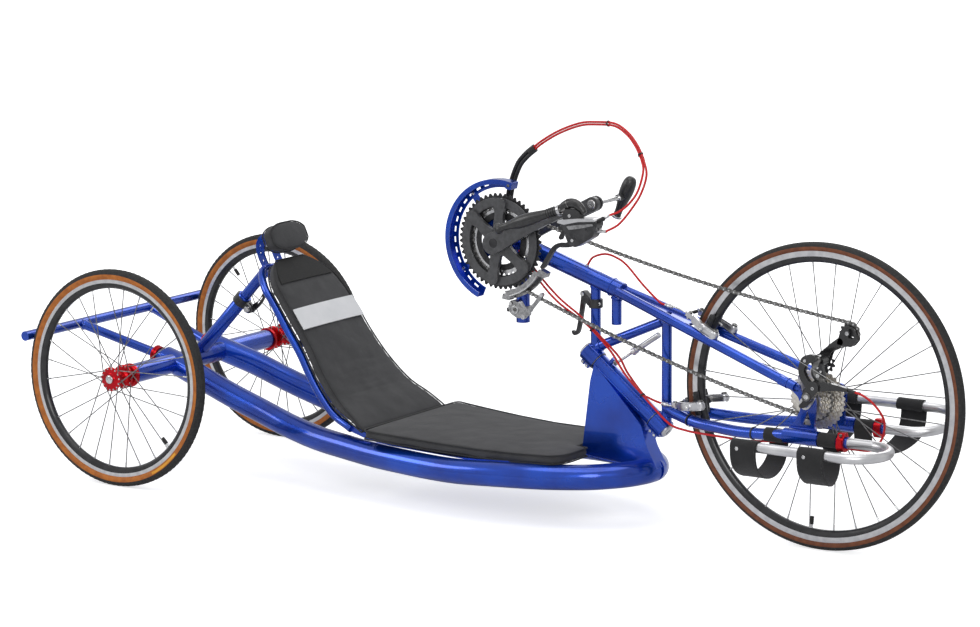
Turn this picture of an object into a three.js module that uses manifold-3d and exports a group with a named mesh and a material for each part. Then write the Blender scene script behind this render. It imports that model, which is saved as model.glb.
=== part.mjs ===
// A hand-driven racing tricycle: one driven and steered front wheel, two cambered rear wheels, a reclined
// seat between two bent main tubes, and cranks turned by hand above the rider's legs.
// Millimetres. x runs forward from the rear axle line, y to the rider's left, z up from the ground; the
// finished group is moved so that its origin is the middle of the footprint, on the ground.
import * as THREE from "three";
import { mergeVertices } from "three/addons/utils/BufferGeometryUtils.js";
import Module from "manifold-3d";

const wasm = await Module();
wasm.setup();

// General
const FIT_GAP = 0.3; // between fixed pieces that touch
const RUN_GAP = 0.5; // round a shaft that turns in its bearing
const OVERRUN = 4; // by which a cutter passes a face, or a hidden end enters its neighbour

// Layout of the axles
const WHEELBASE = 1683;
const TRACK = 643;
const CAMBER_DEGREES = 1.45;

// Front wheel, 622 mm rim with a 25 mm tyre
const FRONT_RIM_SEAT_RADIUS = 311;
const FRONT_TYRE_HEIGHT = 25;
const FRONT_TYRE_WIDTH = 25;
const FRONT_RIM_DEPTH = 24;
const FRONT_RIM_WIDTH = 20;
const FRONT_SPOKES = 32;
const FRONT_FACETS = 40;
const FRONT_FLANGE_RADIUS = 21;
const FRONT_HUB_RADIUS = 13;
const FRONT_LEFT_FLANGE_Y = 34;
const FRONT_RIGHT_FLANGE_Y = -19;
const FRONT_HUB_LEFT_END_Y = 60;
const FRONT_HUB_RIGHT_END_Y = -23;

// Rear wheels, 451 mm rims with 28 mm tyres
const REAR_RIM_SEAT_RADIUS = 225.5;
const REAR_TYRE_HEIGHT = 30;
const REAR_TYRE_WIDTH = 28;
const REAR_RIM_DEPTH = 19;
const REAR_RIM_WIDTH = 20;
const REAR_SPOKES = 28;
const REAR_FACETS = 32;
const REAR_FLANGE_RADIUS = 28;
const REAR_HUB_RADIUS = 14;
const REAR_OUTER_FLANGE_Y = 21;
const REAR_INNER_FLANGE_Y = -23;
const REAR_HUB_OUTER_END_Y = 25;
const REAR_HUB_INNER_END_Y = -34;

// Spokes and hub flanges
const SPOKE_RADIUS = 1;
const SPOKE_LEAN_DEGREES = 30;
const SPOKE_STAGGER = 1.2;
const FLANGE_THICKNESS = 3;
const AXLE_RADIUS = 6;

// Rear axle tube and the stub axles that carry the rear wheels
const AXLE_TUBE_RADIUS = 23;
const AXLE_TUBE_END_Y = 262;
const COLLAR_RADIUS = 28;
const COLLAR_LENGTH = 13;
const STUB_CAP_RADIUS = 10;
const STUB_CAP_LENGTH = 5;

// Main tubes, one each side of the seat
const MAIN_TUBE_RADIUS = 28;
const MAIN_TUBE_NOSE_BACK = 425;
const MAIN_TUBE_NOSE_X = WHEELBASE - MAIN_TUBE_NOSE_BACK;
const MAIN_TUBE_HALF_WIDTH = 175;
const MAIN_TUBE_REAR_Z = 254;
const MAIN_TUBE_LOW_Z = 107;
const SOCKET_RADIUS = 17;
const SOCKET_END_X = -60;
const SOCKET_RISE = 15;
const SOCKET_COLLAR_RADIUS = 20.5;
const SOCKET_COLLAR_LENGTH = 14;

// Rear guard
const GUARD_STAY_RADIUS = 11;
const GUARD_BAR_RADIUS = 11.5;
const GUARD_BAR_X = -258;
const GUARD_BAR_Z = 331;
const GUARD_BAR_HALF_LENGTH = 336;
const GUARD_BAR_JOIN_Y = 134;
const GUARD_STAY_INSERT = 28;

// Seat
const PAN_REAR_X = 604;
const PAN_THICKNESS = 3;
const PAN_INSET = 6;
const SEAT_CUSHION_HEIGHT = 22;
const SEAT_CROWN = 9;
const SEAT_REAR_HALF_WIDTH = 194;
const SEAT_FRONT_HALF_WIDTH = 158;
const SEAT_NOTCH_HALF_WIDTH = 34;
const SEAT_SIDE_PULL = 7;

// Backrest
const RECLINE_PIVOT_X = 597;
const RECLINE_PIVOT_Z = 151;
const HINGE_RADIUS = 6;
const HINGE_PIN_RADIUS = 3;
const HINGE_INNER_Y = 140;
const HINGE_THICKNESS = 4;
const BACK_FOOT_X = 612;
const BACK_FOOT_Z = 156;
const BACK_TUBE_RADIUS = 9;
const BACK_TOP_X = 262;
const BACK_TOP_Z = 522;
const BACK_FOOT_HALF_WIDTH = 168;
const BACK_WAIST_HALF_WIDTH = 125;
const BACK_CUSHION_THICKNESS = 24;
const BACK_CROWN = 8;
const BACK_SIDE_PULL = 6;
const BACK_TUBE_STANDOFF = 5.8;
const BACK_CROWN_RISE = 20;
const STRUT_EYE_CLEARANCE = 3.5;
const STRUT_PIN_RADIUS = 3;
const STRUT_EYE_HALF_WIDTH = 7;
const LUG_THICKNESS = 4;

// Backrest strut, welded to the axle tube, with a sliding inner tube
const STRUT_FOOT_X = 8;
const STRUT_FOOT_Z = 276;
const STRUT_TOP_X = 205;
const STRUT_TOP_Z = 484;
const STRUT_OUTER_RADIUS = 16;
const STRUT_WALL = 2.5;
const STRUT_INNER_RADIUS = 12.7;
const STRUT_OUTER_LENGTH = 190;
const STRUT_INSERT = 150;
const STRUT_SLOT_GAP = 0.6;
const STRUT_CLAMP_RADIUS = 20;
const STRUT_CLAMP_LENGTH = 20;
const STRUT_EAR_LENGTH = 24;
const STRUT_EAR_WIDTH = 20;
const LEVER_PIN_RADIUS = 4.5;
const LEVER_THICKNESS = 6;
const LEVER_LENGTH = 52;
const LEVER_WIDTH = 11;

// Headrest and its pair of drilled plates
const BRACKET_Y = 26;
const BRACKET_THICKNESS = 4;
const BRACKET_WIDTH = 26;
const BRACKET_HOLE_RADIUS = 2.6;
const BRACKET_HOLE_PITCH = 16;
const BRACKET_HOLES = 2;
const PAD_WIDTH = 150;
const PAD_HEIGHT = 68;
const PAD_THICKNESS = 34;
const PAD_X = 262;
const PAD_Z = 566;
const PAD_TILT_DEGREES = 24;
const PAD_ROUND_SHARE = 0.16;
const PAD_CROWN_SHARE = 0.42;
const PAD_SINK_SHARE = 0.06;

// Steering axis and head
const HEAD_UPPER_BACK = 579;
const HEAD_UPPER_X = WHEELBASE - HEAD_UPPER_BACK;
const HEAD_UPPER_Z = 368;
const HEAD_LOWER_BACK = 404;
const HEAD_LOWER_X = WHEELBASE - HEAD_LOWER_BACK;
const HEAD_LOWER_Z = 230;
const HEAD_TUBE_RADIUS = 20;
const STEERER_RADIUS = 14;
const KNUCKLE_RADIUS = 23;
const KNUCKLE_LENGTH = 38;
const BEARING_GAP = 1;
const STEERER_CAP_RADIUS = 12;
const STEERER_CAP_LENGTH = 6;
const HEAD_BOX_WIDTH = 44;
const HEAD_BOX_FOOT_BACK = 595;
const HEAD_BOX_FOOT_X = WHEELBASE - HEAD_BOX_FOOT_BACK;
const SEAT_FRONT_LAP = 30;
const SEAT_FRONT_X = HEAD_BOX_FOOT_X + SEAT_FRONT_LAP;
const PAN_FRONT_GAP = 4;
const PAN_FRONT_X = HEAD_BOX_FOOT_X - PAN_FRONT_GAP;
const HEAD_BOX_FOOT_Z = 150;
const HEAD_BOX_NOSE_BACK = 399;
const HEAD_BOX_NOSE_X = WHEELBASE - HEAD_BOX_NOSE_BACK;
const HEAD_BOX_NOSE_Z = 132;
const HEAD_BOX_SHOULDER_BACK = 572;
const HEAD_BOX_SHOULDER_X = WHEELBASE - HEAD_BOX_SHOULDER_BACK;
const HEAD_BOX_SHOULDER_Z = 314;
const HEAD_BOX_FRONT_BACK = 440;
const HEAD_BOX_FRONT_X = WHEELBASE - HEAD_BOX_FRONT_BACK;
const HEAD_BOX_FRONT_Z = 229;
const HEAD_BOX_SHIN_BACK = 428;
const HEAD_BOX_SHIN_X = WHEELBASE - HEAD_BOX_SHIN_BACK;
const HEAD_BOX_SHIN_Z = 181;

// Boom and the tubes under it
const CRANK_BACK = 794;
const CRANK_X = WHEELBASE - CRANK_BACK;
const CRANK_Z = 612;
const BOOM_END_BACK = 505;
const BOOM_END_X = WHEELBASE - BOOM_END_BACK;
const BOOM_END_Z = 519;
const BOOM_RADIUS = 19;
const FRAME_TUBE_RADIUS = 11.3;
const CLAMP_TUBE_BACK = 571;
const CLAMP_TUBE_X = WHEELBASE - CLAMP_TUBE_BACK;
const STUB_TUBE_BACK = 517;
const STUB_TUBE_X = WHEELBASE - STUB_TUBE_BACK;
const STUB_TUBE_END_Z = 443;
const POST_BACK = 388;
const POST_X = WHEELBASE - POST_BACK;
const CABLE_POST_AHEAD = 31;
const CABLE_POST_X = CRANK_X + CABLE_POST_AHEAD;
const CABLE_POST_END_Z = 425;
const CABLE_POST_RADIUS = 15.5;
const BRACKET_SHELL_RADIUS = 21;
const BRACKET_SHELL_LENGTH = 68;
const BRACE_REAR_Z = 386;
const BRACE_FRONT_Z = 466;
const EAR_LENGTH_SHARE = 0.66;
const EAR_WIDTH_SHARE = 0.85;
const EAR_HEIGHT_SHARE = 0.6;
const PARK_CLAMP_Z = 486;
const PARK_CLAMP_RADIUS = 16;
const PARK_CLAMP_HEIGHT = 20;

// Stays on each side of the front wheel
const UPPER_STAY_RADIUS = 11;
const UPPER_STAY_START_Y = 14;
const UPPER_STAY_END_BACK = 31;
const UPPER_STAY_END_X = WHEELBASE - UPPER_STAY_END_BACK;
const UPPER_STAY_END_Z = 365;
const UPPER_STAY_END_Y = 67;
const WEB_THICKNESS = 6;
const WEB_END_BACK = 327;
const WEB_END_X = WHEELBASE - WEB_END_BACK;
const LOWER_STAY_RADIUS = 12.5;
const LOWER_STAY_Z = 262;
const LOWER_STAY_Y = 84;
const LOWER_STAY_START_BACK = 385;
const LOWER_STAY_START_X = WHEELBASE - LOWER_STAY_START_BACK;
const LOWER_STAY_END_AHEAD = 107;
const LOWER_STAY_END_X = WHEELBASE + LOWER_STAY_END_AHEAD;
const FOOT_TUBE_RADIUS = 16.5;
const FOOT_TUBE_REAR_BACK = 46;
const FOOT_TUBE_REAR_X = WHEELBASE - FOOT_TUBE_REAR_BACK;
const FOOT_TUBE_FRONT_AHEAD = 37;
const FOOT_TUBE_FRONT_X = WHEELBASE + FOOT_TUBE_FRONT_AHEAD;
const HUB_SPACING = 130;
const DROPOUT_THICKNESS = 6;
const DROPOUT_WAIST = 18;
const DROPOUT_FOOT_RADIUS = 18;
const DROPOUT_FOOT_RISE = 8;
const DROPOUT_HEAD_RADIUS = 17;
const FRONT_AXLE_END = 9;

// Leg rests
const LEG_TUBE_RADIUS = 11;
const LEG_BEND_RADIUS = 71;
const LEG_BEND_AHEAD = 160;
const LEG_BEND_X = WHEELBASE + LEG_BEND_AHEAD;
const LEG_OUTER_END_BACK = 89;
const LEG_OUTER_END_X = WHEELBASE - LEG_OUTER_END_BACK;
const LEG_INSERT = 56;
const LEG_SPIGOT_RADIUS = 9;
const LEFT_LEG_RAISE_DEGREES = 11;
const LEG_CLAMP_AHEAD = 85;
const LEG_CLAMP_X = WHEELBASE + LEG_CLAMP_AHEAD;
const LEG_CLAMP_RADIUS = 18;
const LEG_CLAMP_LENGTH = 16;
const LEG_CLAMP_HEIGHT = 42;
const LEG_CLAMP_EAR_WIDTH = 15;
const LEG_BEND_STEPS = 10;
const SLING_THICKNESS = 2.5;
const SLING_GAP = 1.5;
const SLING_SINK = 0.8;
const SLING_STEPS = 9;
const SLING_SHAPE_POWER = 0.8;
const SLING_OUTER_WIDTH = 60;
const SLING_INNER_WIDTH = 42;
const SLING_DROP = 74;
const REAR_SLING_OUTER_BACK = 61;
const REAR_SLING_OUTER_X = WHEELBASE - REAR_SLING_OUTER_BACK;
const REAR_SLING_INNER_BACK = 71;
const REAR_SLING_INNER_X = WHEELBASE - REAR_SLING_INNER_BACK;
const FRONT_SLING_OUTER_AHEAD = 98;
const FRONT_SLING_OUTER_X = WHEELBASE + FRONT_SLING_OUTER_AHEAD;
const FRONT_SLING_INNER_AHEAD = 60;
const FRONT_SLING_INNER_X = WHEELBASE + FRONT_SLING_INNER_AHEAD;

// Drive
const CHAIN_STEP_DEGREES = 15;
const CHAIN_WIDTH = 7;
const CHAIN_HEIGHT = 8;
const CHAIN_PLATE = 1.3;
const RING_PITCH_RADIUS = 105.2;
const RING_FACETS = 32;
const RING_THICKNESS = 2.2;
const TOOTH_HEIGHT = 1.2;
const RING_BAND = 24;
const INNER_RING_RADIUS = 73;
const INNER_RING_BAND = 11;
const RING_SPACING = 7.5;
const SPIDER_ARMS = 4;
const SPIDER_REACH = 92;
const SPIDER_THICKNESS = 12;
const SPIDER_ARM_WIDTH = 26;
const SPIDER_HUB_RADIUS = 27;
const SPINDLE_RADIUS = 12;
const CRANK_LENGTH = 194;
const CRANK_ANGLE_DEGREES = 25.5;
const CRANK_INNER_Y = 60;
const CRANK_THICKNESS = 14;
const CRANK_BOSS_RADIUS = 19;
const CRANK_TIP_RADIUS = 14;
const COG_SHARES = [1, 0.88, 0.79, 0.715, 0.652, 0.58, 0.51, 0.44];
const COG_CHAIN_PLACE = 4;
const COG_FIRST_Y = -24.3;
const COG_FACETS = 14;
const COG_SPACING = 4.8;
const COG_THICKNESS = 1.8;
const COG_LARGE_RADIUS = 61;
const COG_BODY_RADIUS = 17;
const GUARD_OUTER_RADIUS = 141;
const GUARD_DEPTH = 22;
const GUARD_WIDTH = 26;
const GUARD_WALL = 2.5;
const GUARD_STEPS = 12;
const GUARD_START_DEGREES = 74;
const GUARD_END_DEGREES = 247;
const GUARD_ARM_WIDTH = 18;
const GUARD_ARM_THICKNESS = 3;
const GUARD_ARM_DEGREES = [128, 214];

// Derailleurs
const GUIDE_PULLEY_AHEAD = 27;
const GUIDE_PULLEY_X = WHEELBASE + GUIDE_PULLEY_AHEAD;
const GUIDE_PULLEY_Z = 419;
const TENSION_PULLEY_AHEAD = 81;
const TENSION_PULLEY_X = WHEELBASE + TENSION_PULLEY_AHEAD;
const TENSION_PULLEY_Z = 488;
const PULLEY_PITCH_RADIUS = 22.5;
const CAGE_WIDTH = 14;
const CAGE_PLATE_THICKNESS = 2;
const CAGE_PLATE_RADIUS = 13;
const PULLEY_PIN_RADIUS = 3.5;
const HANGER_AHEAD = 10;
const HANGER_X = WHEELBASE + HANGER_AHEAD;
const HANGER_Z = 356;
const HANGER_Y = -80;
const MECH_REAR_AHEAD = 91;
const MECH_REAR_X = WHEELBASE + MECH_REAR_AHEAD;
const MECH_REAR_Z = 372;
const MECH_KNUCKLE_RADIUS = 12;
const MECH_BODY_RADIUS = 9;
const FRONT_MECH_STEPS = 6;
const FRONT_MECH_HALF_WIDTH = 5.5;
const FRONT_MECH_BODY_DEGREES = -76;
const FRONT_MECH_INNER_RADIUS = 112;
const FRONT_MECH_OUTER_RADIUS = 127;
const FRONT_MECH_START_DEGREES = -86;
const FRONT_MECH_END_DEGREES = -30;
const FRONT_MECH_BAND_Z = 452;
const FRONT_MECH_BAND_HEIGHT = 14;
const FRONT_MECH_BAND_WALL = 2.5;

// Rim brakes
const UPPER_BRAKE_DEGREES = 154.3;
const UPPER_BRAKE_INSET = 39;
const UPPER_BRAKE_REACH = FRONT_RIM_SEAT_RADIUS - UPPER_BRAKE_INSET;
const UPPER_BRAKE_HALF_WIDTH = 42;
const LOWER_BRAKE_DEGREES = 188.3;
const LOWER_BRAKE_INSET = 36;
const LOWER_BRAKE_REACH = FRONT_RIM_SEAT_RADIUS - LOWER_BRAKE_INSET;
const LOWER_BRAKE_HALF_WIDTH = 53;
const BRAKE_ARM_LENGTH = 85;
const BRAKE_ARM_WIDTH = 13;
const BRAKE_ARM_THICKNESS = 8;
const BRAKE_BOSS_RADIUS = 8;
const BRAKE_PIN_RADIUS = 3.5;
const BRAKE_PAD_LENGTH = 52;
const BRAKE_PAD_HEIGHT = 11;
const BRAKE_PAD_THICKNESS = 9;
const BRAKE_PAD_GAP = 3.4;
const BRAKE_TRACK_INSET = 8;
const BRAKE_TIP_Y = 26;
const PLANK_TIP_SHARE = 0.7;

// Parking lever
const PARK_PIVOT_BACK = 600;
const PARK_PIVOT_X = WHEELBASE - PARK_PIVOT_BACK;
const PARK_PIVOT_Z = 505;
const PARK_LEVER_LENGTH = 92;
const PARK_LEVER_WIDTH = 11;
const PARK_LEVER_THICKNESS = 8;
const PARK_PIN_RADIUS = 3;
const PARK_EAR_THICKNESS = 3;

// Steering damper
const DAMPER_EYE_BACK = 518;
const DAMPER_EYE_X = WHEELBASE - DAMPER_EYE_BACK;
const DAMPER_EYE_Z = 355.7;
const DAMPER_END_BACK = 407;
const DAMPER_END_X = WHEELBASE - DAMPER_END_BACK;
const DAMPER_END_Z = 431;
const DAMPER_ROD_RADIUS = 3.2;
const DAMPER_BODY_RADIUS = 6.5;
const DAMPER_NUT_RADIUS = 9;
const DAMPER_NUT_LENGTH = 12;
const DAMPER_ROD_LENGTH = 56;
const DAMPER_EYE_RADIUS = 6;
const DAMPER_PIN_RADIUS = 3;
const DAMPER_STUD_RADIUS = 5;

// Hand grips and the control pod on the right one
const GRIP_Y = 200;
const GRIP_LENGTH = 150;
const GRIP_RADIUS = 16;
const GRIP_TIP_RADIUS = 12;
const GRIP_SOCKET_RADIUS = 13;
const PEDAL_PIN_RADIUS = 5;
const RIGHT_GRIP_DEGREES = 20;
const LEFT_GRIP_DEGREES = 66;
const HEAD_KNOB_AHEAD = 319;
const HEAD_KNOB_X = CRANK_X + HEAD_KNOB_AHEAD;
const HEAD_KNOB_Z = 728;
const POD_AHEAD = 283;
const POD_X = CRANK_X + POD_AHEAD;
const POD_Z = 684;
const POD_LENGTH = 72;
const POD_HEIGHT = 34;
const POD_WIDTH = 26;
const ADJUSTER_RADIUS = 4;
const BRAKE_LEVER_WIDTH = 11;
const BRAKE_LEVER_THICKNESS = 6;
const SHIFT_LEVER_WIDTH = 12;
const SHIFT_LEVER_THICKNESS = 5;

// Cables
const HOUSING_RADIUS = 2.6;
const BUNDLE_RADIUS = 4;
const HOUSING_STEP_DEGREES = 12;
const SLEEVE_RADIUS = 7.5;
const LOWER_TIE_STEPS = 3;

// Finishes, as colour, roughness and metalness
const FINISHES = {
  blue: [0x1c37a8, 0.25, 0.6],
  red: [0xb31322, 0.35, 0.8],
  silver: [0xb9bcc0, 0.3, 0.95],
  black: [0x17181a, 0.5, 0.2],
  tyre: [0x5a3421, 0.8, 0],
  fabric: [0x3a3a3c, 0.95, 0],
  webbing: [0x141415, 0.9, 0],
  carbon: [0x2a2b2d, 0.4, 0.4],
  steel: [0x55575a, 0.4, 0.9],
  housing: [0xc4161c, 0.4, 0],
};

// Triangles of a closed geometry as a solid for joining and cutting
function solidOf(geometry) {
  geometry.deleteAttribute("normal");
  geometry.deleteAttribute("uv");
  const merged = mergeVertices(geometry);
  return new wasm.Manifold(
    new wasm.Mesh({
      numProp: 3,
      vertProperties: merged.attributes.position.array,
      triVerts: new Uint32Array(merged.index.array),
    }),
  );
}

function geometryOf(solid) {
  const mesh = solid.getMesh();
  const geometry = new THREE.BufferGeometry();
  geometry.setAttribute("position", new THREE.BufferAttribute(mesh.vertProperties, mesh.numProp));
  geometry.setIndex(new THREE.BufferAttribute(mesh.triVerts, 1));
  geometry.computeVertexNormals();
  return geometry;
}

const join = (first, ...others) => others.reduce((whole, piece) => whole.add(piece), first);
const cut = (first, ...others) => others.reduce((whole, piece) => whole.subtract(piece), first);
const at = (x, y, z) => new THREE.Vector3(x, y, z);
const radians = (degrees) => THREE.MathUtils.degToRad(degrees);

// Straight round bar between two points, its end radius different where it tapers
function bar(from, to, radius, sides = 12, endRadius = radius) {
  const along = to.clone().sub(from);
  const geometry = new THREE.CylinderGeometry(endRadius, radius, along.length(), sides);
  geometry.applyQuaternion(new THREE.Quaternion().setFromUnitVectors(at(0, 1, 0), along.normalize()));
  const middle = from.clone().add(to).divideScalar(2);
  geometry.translate(middle.x, middle.y, middle.z);
  return solidOf(geometry);
}

// Round outline of a tube, as a shape for sweeping or extruding
function circle(radius, sides) {
  const points = [];
  for (let i = 0; i < sides; i++) {
    const turn = (2 * Math.PI * (i + 0.5)) / sides;
    points.push(new THREE.Vector2(radius * Math.cos(turn), radius * Math.sin(turn)));
  }
  return new THREE.Shape(points);
}

// Bent round tube through points, with a step wherever its line has turned by a few degrees
const TURN_SAMPLES = 400;
function bentTube(points, radius, sides, turnDegrees) {
  const path = new THREE.CatmullRomCurve3(points);
  const stops = [0];
  for (let i = 1; i < TURN_SAMPLES; i++) {
    const turned = path.getTangent(i / TURN_SAMPLES).angleTo(path.getTangent(stops.at(-1)));
    if (turned > radians(turnDegrees)) stops.push(i / TURN_SAMPLES);
  }
  stops.push(1);
  const steps = stops.length - 1;
  path.getUtoTmapping = (share) => stops[Math.round(share * steps)];
  return solidOf(new THREE.ExtrudeGeometry(circle(radius, sides), { steps, extrudePath: path, bevelEnabled: false }));
}

// Block of a size round a centre, turned about the y axis
function block(length, width, height, centre, turn = 0) {
  const geometry = new THREE.BoxGeometry(length, width, height);
  geometry.rotateY(turn);
  geometry.translate(centre.x, centre.y, centre.z);
  return solidOf(geometry);
}

// Flat plate: an outline in x and z, given a thickness from one y to another
function sidePlate(outline, fromY, toY) {
  const shape = new THREE.Shape(outline.map(([x, z]) => new THREE.Vector2(x, z)));
  const geometry = new THREE.ExtrudeGeometry(shape, { depth: Math.abs(toY - fromY), bevelEnabled: false });
  geometry.rotateX(Math.PI / 2);
  geometry.translate(0, Math.max(fromY, toY), 0);
  return solidOf(geometry);
}

// Flat tapering bar between two points of a plane of constant z
function taperedPlank(from, to, width, thickness) {
  const along = to.clone().sub(from).normalize();
  const beside = at(-along.y, along.x, 0).multiplyScalar(width / 2);
  const corners = [
    from.clone().sub(beside), to.clone().addScaledVector(beside, -PLANK_TIP_SHARE),
    to.clone().addScaledVector(beside, PLANK_TIP_SHARE), from.clone().add(beside),
  ];
  const shape = new THREE.Shape(corners.map((p) => new THREE.Vector2(p.x, p.y)));
  const geometry = new THREE.ExtrudeGeometry(shape, { depth: thickness, bevelEnabled: false });
  geometry.translate(0, 0, -thickness / 2);
  return solidOf(geometry);
}

// Body turned about an axis along y: a closed outline of radius and y, with a flat foot at the bottom
function turned(outline, facets, x = 0, z = 0) {
  const points = outline.map(([radius, y]) => new THREE.Vector2(radius, y));
  if (THREE.ShapeUtils.isClockWise(points)) points.reverse();
  const onAxis = points.some((p) => p.x === 0);
  if (!onAxis) points.push(points[0].clone());
  const geometry = new THREE.LatheGeometry(points, facets, Math.PI / facets);
  geometry.translate(x, 0, z);
  return solidOf(geometry);
}

// Solid disc or boss on a y axis
function boss(x, z, radius, fromY, toY, sides = 16) {
  return bar(at(x, Math.min(fromY, toY), z), at(x, Math.max(fromY, toY), z), radius, sides);
}

// Bar of flat section that tapers between two round ends, lying in a plane of constant y
function flatArm(from, to, startRadius, endRadius, fromY, toY, sides = 6) {
  const [x0, z0] = from;
  const [x1, z1] = to;
  const lean = Math.atan2(z1 - z0, x1 - x0);
  const outline = [];
  for (let i = 0; i <= sides; i++) {
    const turn = lean + Math.PI / 2 + (Math.PI * i) / sides;
    outline.push([x0 + startRadius * Math.cos(turn), z0 + startRadius * Math.sin(turn)]);
  }
  for (let i = 0; i <= sides; i++) {
    const turn = lean - Math.PI / 2 + (Math.PI * i) / sides;
    outline.push([x1 + endRadius * Math.cos(turn), z1 + endRadius * Math.sin(turn)]);
  }
  return sidePlate(outline, fromY, toY);
}

const handcycle = new THREE.Group();
handcycle.name = "handcycle";

const SLIVER = 0.08;
function add(name, solid, finish, parent = handcycle) {
  const [color, roughness, metalness] = FINISHES[finish];
  const material = new THREE.MeshStandardMaterial({ color, roughness, metalness });
  const mesh = new THREE.Mesh(geometryOf(solid.asOriginal().simplify(SLIVER)), material);
  mesh.name = name;
  parent.add(mesh);
}

// Tyre and laced wheel, built round a y axis through the origin
const TYRE_HEIGHT_SHARES = [0, 0.36, 0.8, 1];
const TYRE_WIDTH_SHARES = [0.66, 1, 0.74, 0];

function tyreSolid(seatRadius, height, width, facets) {
  const upper = TYRE_HEIGHT_SHARES.map((share, i) => [seatRadius + share * height, (TYRE_WIDTH_SHARES[i] * width) / 2]);
  const lower = upper.slice(0, -1).reverse().map(([radius, y]) => [radius, -y]);
  return turned([...upper, ...lower], facets);
}

const RIM_TRACK_SHARE = 0.55;
const RIM_BED_SHARE = 0.4;

function wheelSolid(wheel, side) {
  const seat = wheel.seatRadius - FIT_GAP;
  const track = seat - wheel.rimDepth * RIM_TRACK_SHARE;
  const bed = seat - wheel.rimDepth;
  const halfRim = wheel.rimWidth / 2;
  const rim = turned(
    [[seat, -halfRim], [seat, halfRim], [track, halfRim], [bed, halfRim * RIM_BED_SHARE],
      [bed, -halfRim * RIM_BED_SHARE], [track, -halfRim]],
    wheel.facets,
  );
  const flange = (y) => boss(0, 0, wheel.flangeRadius, side * (y - FLANGE_THICKNESS / 2), side * (y + FLANGE_THICKNESS / 2), 12);
  const shell = boss(0, 0, wheel.hubRadius, side * wheel.ends[0], side * wheel.ends[1], 12);
  const bore = boss(
    0, 0, AXLE_RADIUS + RUN_GAP,
    Math.min(...wheel.ends.map((y) => side * y)) - OVERRUN,
    Math.max(...wheel.ends.map((y) => side * y)) + OVERRUN, 12,
  );
  const spokes = [];
  for (let i = 0; i < wheel.spokes; i++) {
    const rimTurn = (2 * Math.PI * i) / wheel.spokes;
    const way = Math.floor(i / 2) % 2 === 0 ? 1 : -1;
    const lean = way * radians(SPOKE_LEAN_DEGREES);
    const flangeY = side * wheel.flanges[i % 2] + way * SPOKE_STAGGER;
    const reach = wheel.flangeRadius - FLANGE_THICKNESS;
    const hubEnd = at(reach * Math.cos(rimTurn + lean), flangeY, reach * Math.sin(rimTurn + lean));
    const rimEnd = at((bed + OVERRUN) * Math.cos(rimTurn), 0, (bed + OVERRUN) * Math.sin(rimTurn));
    spokes.push(bar(hubEnd, rimEnd, SPOKE_RADIUS, 3));
  }
  return cut(join(rim, shell, ...wheel.flanges.map(flange), ...spokes), bore);
}

const frontWheel = {
  seatRadius: FRONT_RIM_SEAT_RADIUS, rimDepth: FRONT_RIM_DEPTH, rimWidth: FRONT_RIM_WIDTH,
  facets: FRONT_FACETS, spokes: FRONT_SPOKES, flangeRadius: FRONT_FLANGE_RADIUS, hubRadius: FRONT_HUB_RADIUS,
  flanges: [FRONT_LEFT_FLANGE_Y, FRONT_RIGHT_FLANGE_Y], ends: [FRONT_HUB_RIGHT_END_Y, FRONT_HUB_LEFT_END_Y],
};
const rearWheel = {
  seatRadius: REAR_RIM_SEAT_RADIUS, rimDepth: REAR_RIM_DEPTH, rimWidth: REAR_RIM_WIDTH,
  facets: REAR_FACETS, spokes: REAR_SPOKES, flangeRadius: REAR_FLANGE_RADIUS, hubRadius: REAR_HUB_RADIUS,
  flanges: [REAR_OUTER_FLANGE_Y, REAR_INNER_FLANGE_Y], ends: [REAR_HUB_INNER_END_Y, REAR_HUB_OUTER_END_Y],
};

// Height of an axle whose tyre just stands on the ground, read from the tyre itself
function axleHeight(tyre, lean) {
  const geometry = geometryOf(tyre);
  geometry.rotateX(lean);
  geometry.computeBoundingBox();
  return -geometry.boundingBox.min.z;
}

const camber = radians(CAMBER_DEGREES);
const frontTyre = tyreSolid(FRONT_RIM_SEAT_RADIUS, FRONT_TYRE_HEIGHT, FRONT_TYRE_WIDTH, FRONT_FACETS);
const rearTyre = tyreSolid(REAR_RIM_SEAT_RADIUS, REAR_TYRE_HEIGHT, REAR_TYRE_WIDTH, REAR_FACETS);
const FRONT_AXLE_Z = axleHeight(frontTyre, 0);
const REAR_AXLE_Z = axleHeight(rearTyre, camber);
const rearWheelY = TRACK / 2 - REAR_AXLE_Z * Math.tan(camber);

const frontGroup = new THREE.Group();
frontGroup.position.set(WHEELBASE, 0, FRONT_AXLE_Z);
handcycle.add(frontGroup);
add("front_tyre", frontTyre, "tyre", frontGroup);
add("front_wheel", wheelSolid(frontWheel, 1), "silver", frontGroup);

for (const [name, side] of [["left", 1], ["right", -1]]) {
  const group = new THREE.Group();
  group.position.set(0, side * rearWheelY, REAR_AXLE_Z);
  group.rotation.x = side * camber;
  handcycle.add(group);
  add(`${name}_rear_tyre`, rearTyre, "tyre", group);
  add(`${name}_rear_wheel`, wheelSolid(rearWheel, side), "red", group);
  const tubeEnd = side * (AXLE_TUBE_END_Y + FIT_GAP + COLLAR_RADIUS * Math.sin(camber) - rearWheelY);
  const collarEnd = tubeEnd + side * COLLAR_LENGTH;
  const capStart = side * (REAR_HUB_OUTER_END_Y + RUN_GAP);
  const stub = join(
    boss(0, 0, COLLAR_RADIUS, tubeEnd, collarEnd, 18),
    boss(0, 0, AXLE_RADIUS, tubeEnd, capStart + side * STUB_CAP_LENGTH, 12),
    boss(0, 0, STUB_CAP_RADIUS, capStart, capStart + side * STUB_CAP_LENGTH, 14),
  );
  add(`${name}_stub_axle`, stub, "silver", group);
}

// Rear axle tube, across the machine
const axleTube = boss(0, REAR_AXLE_Z, AXLE_TUBE_RADIUS, -AXLE_TUBE_END_Y, AXLE_TUBE_END_Y, 18);

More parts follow.
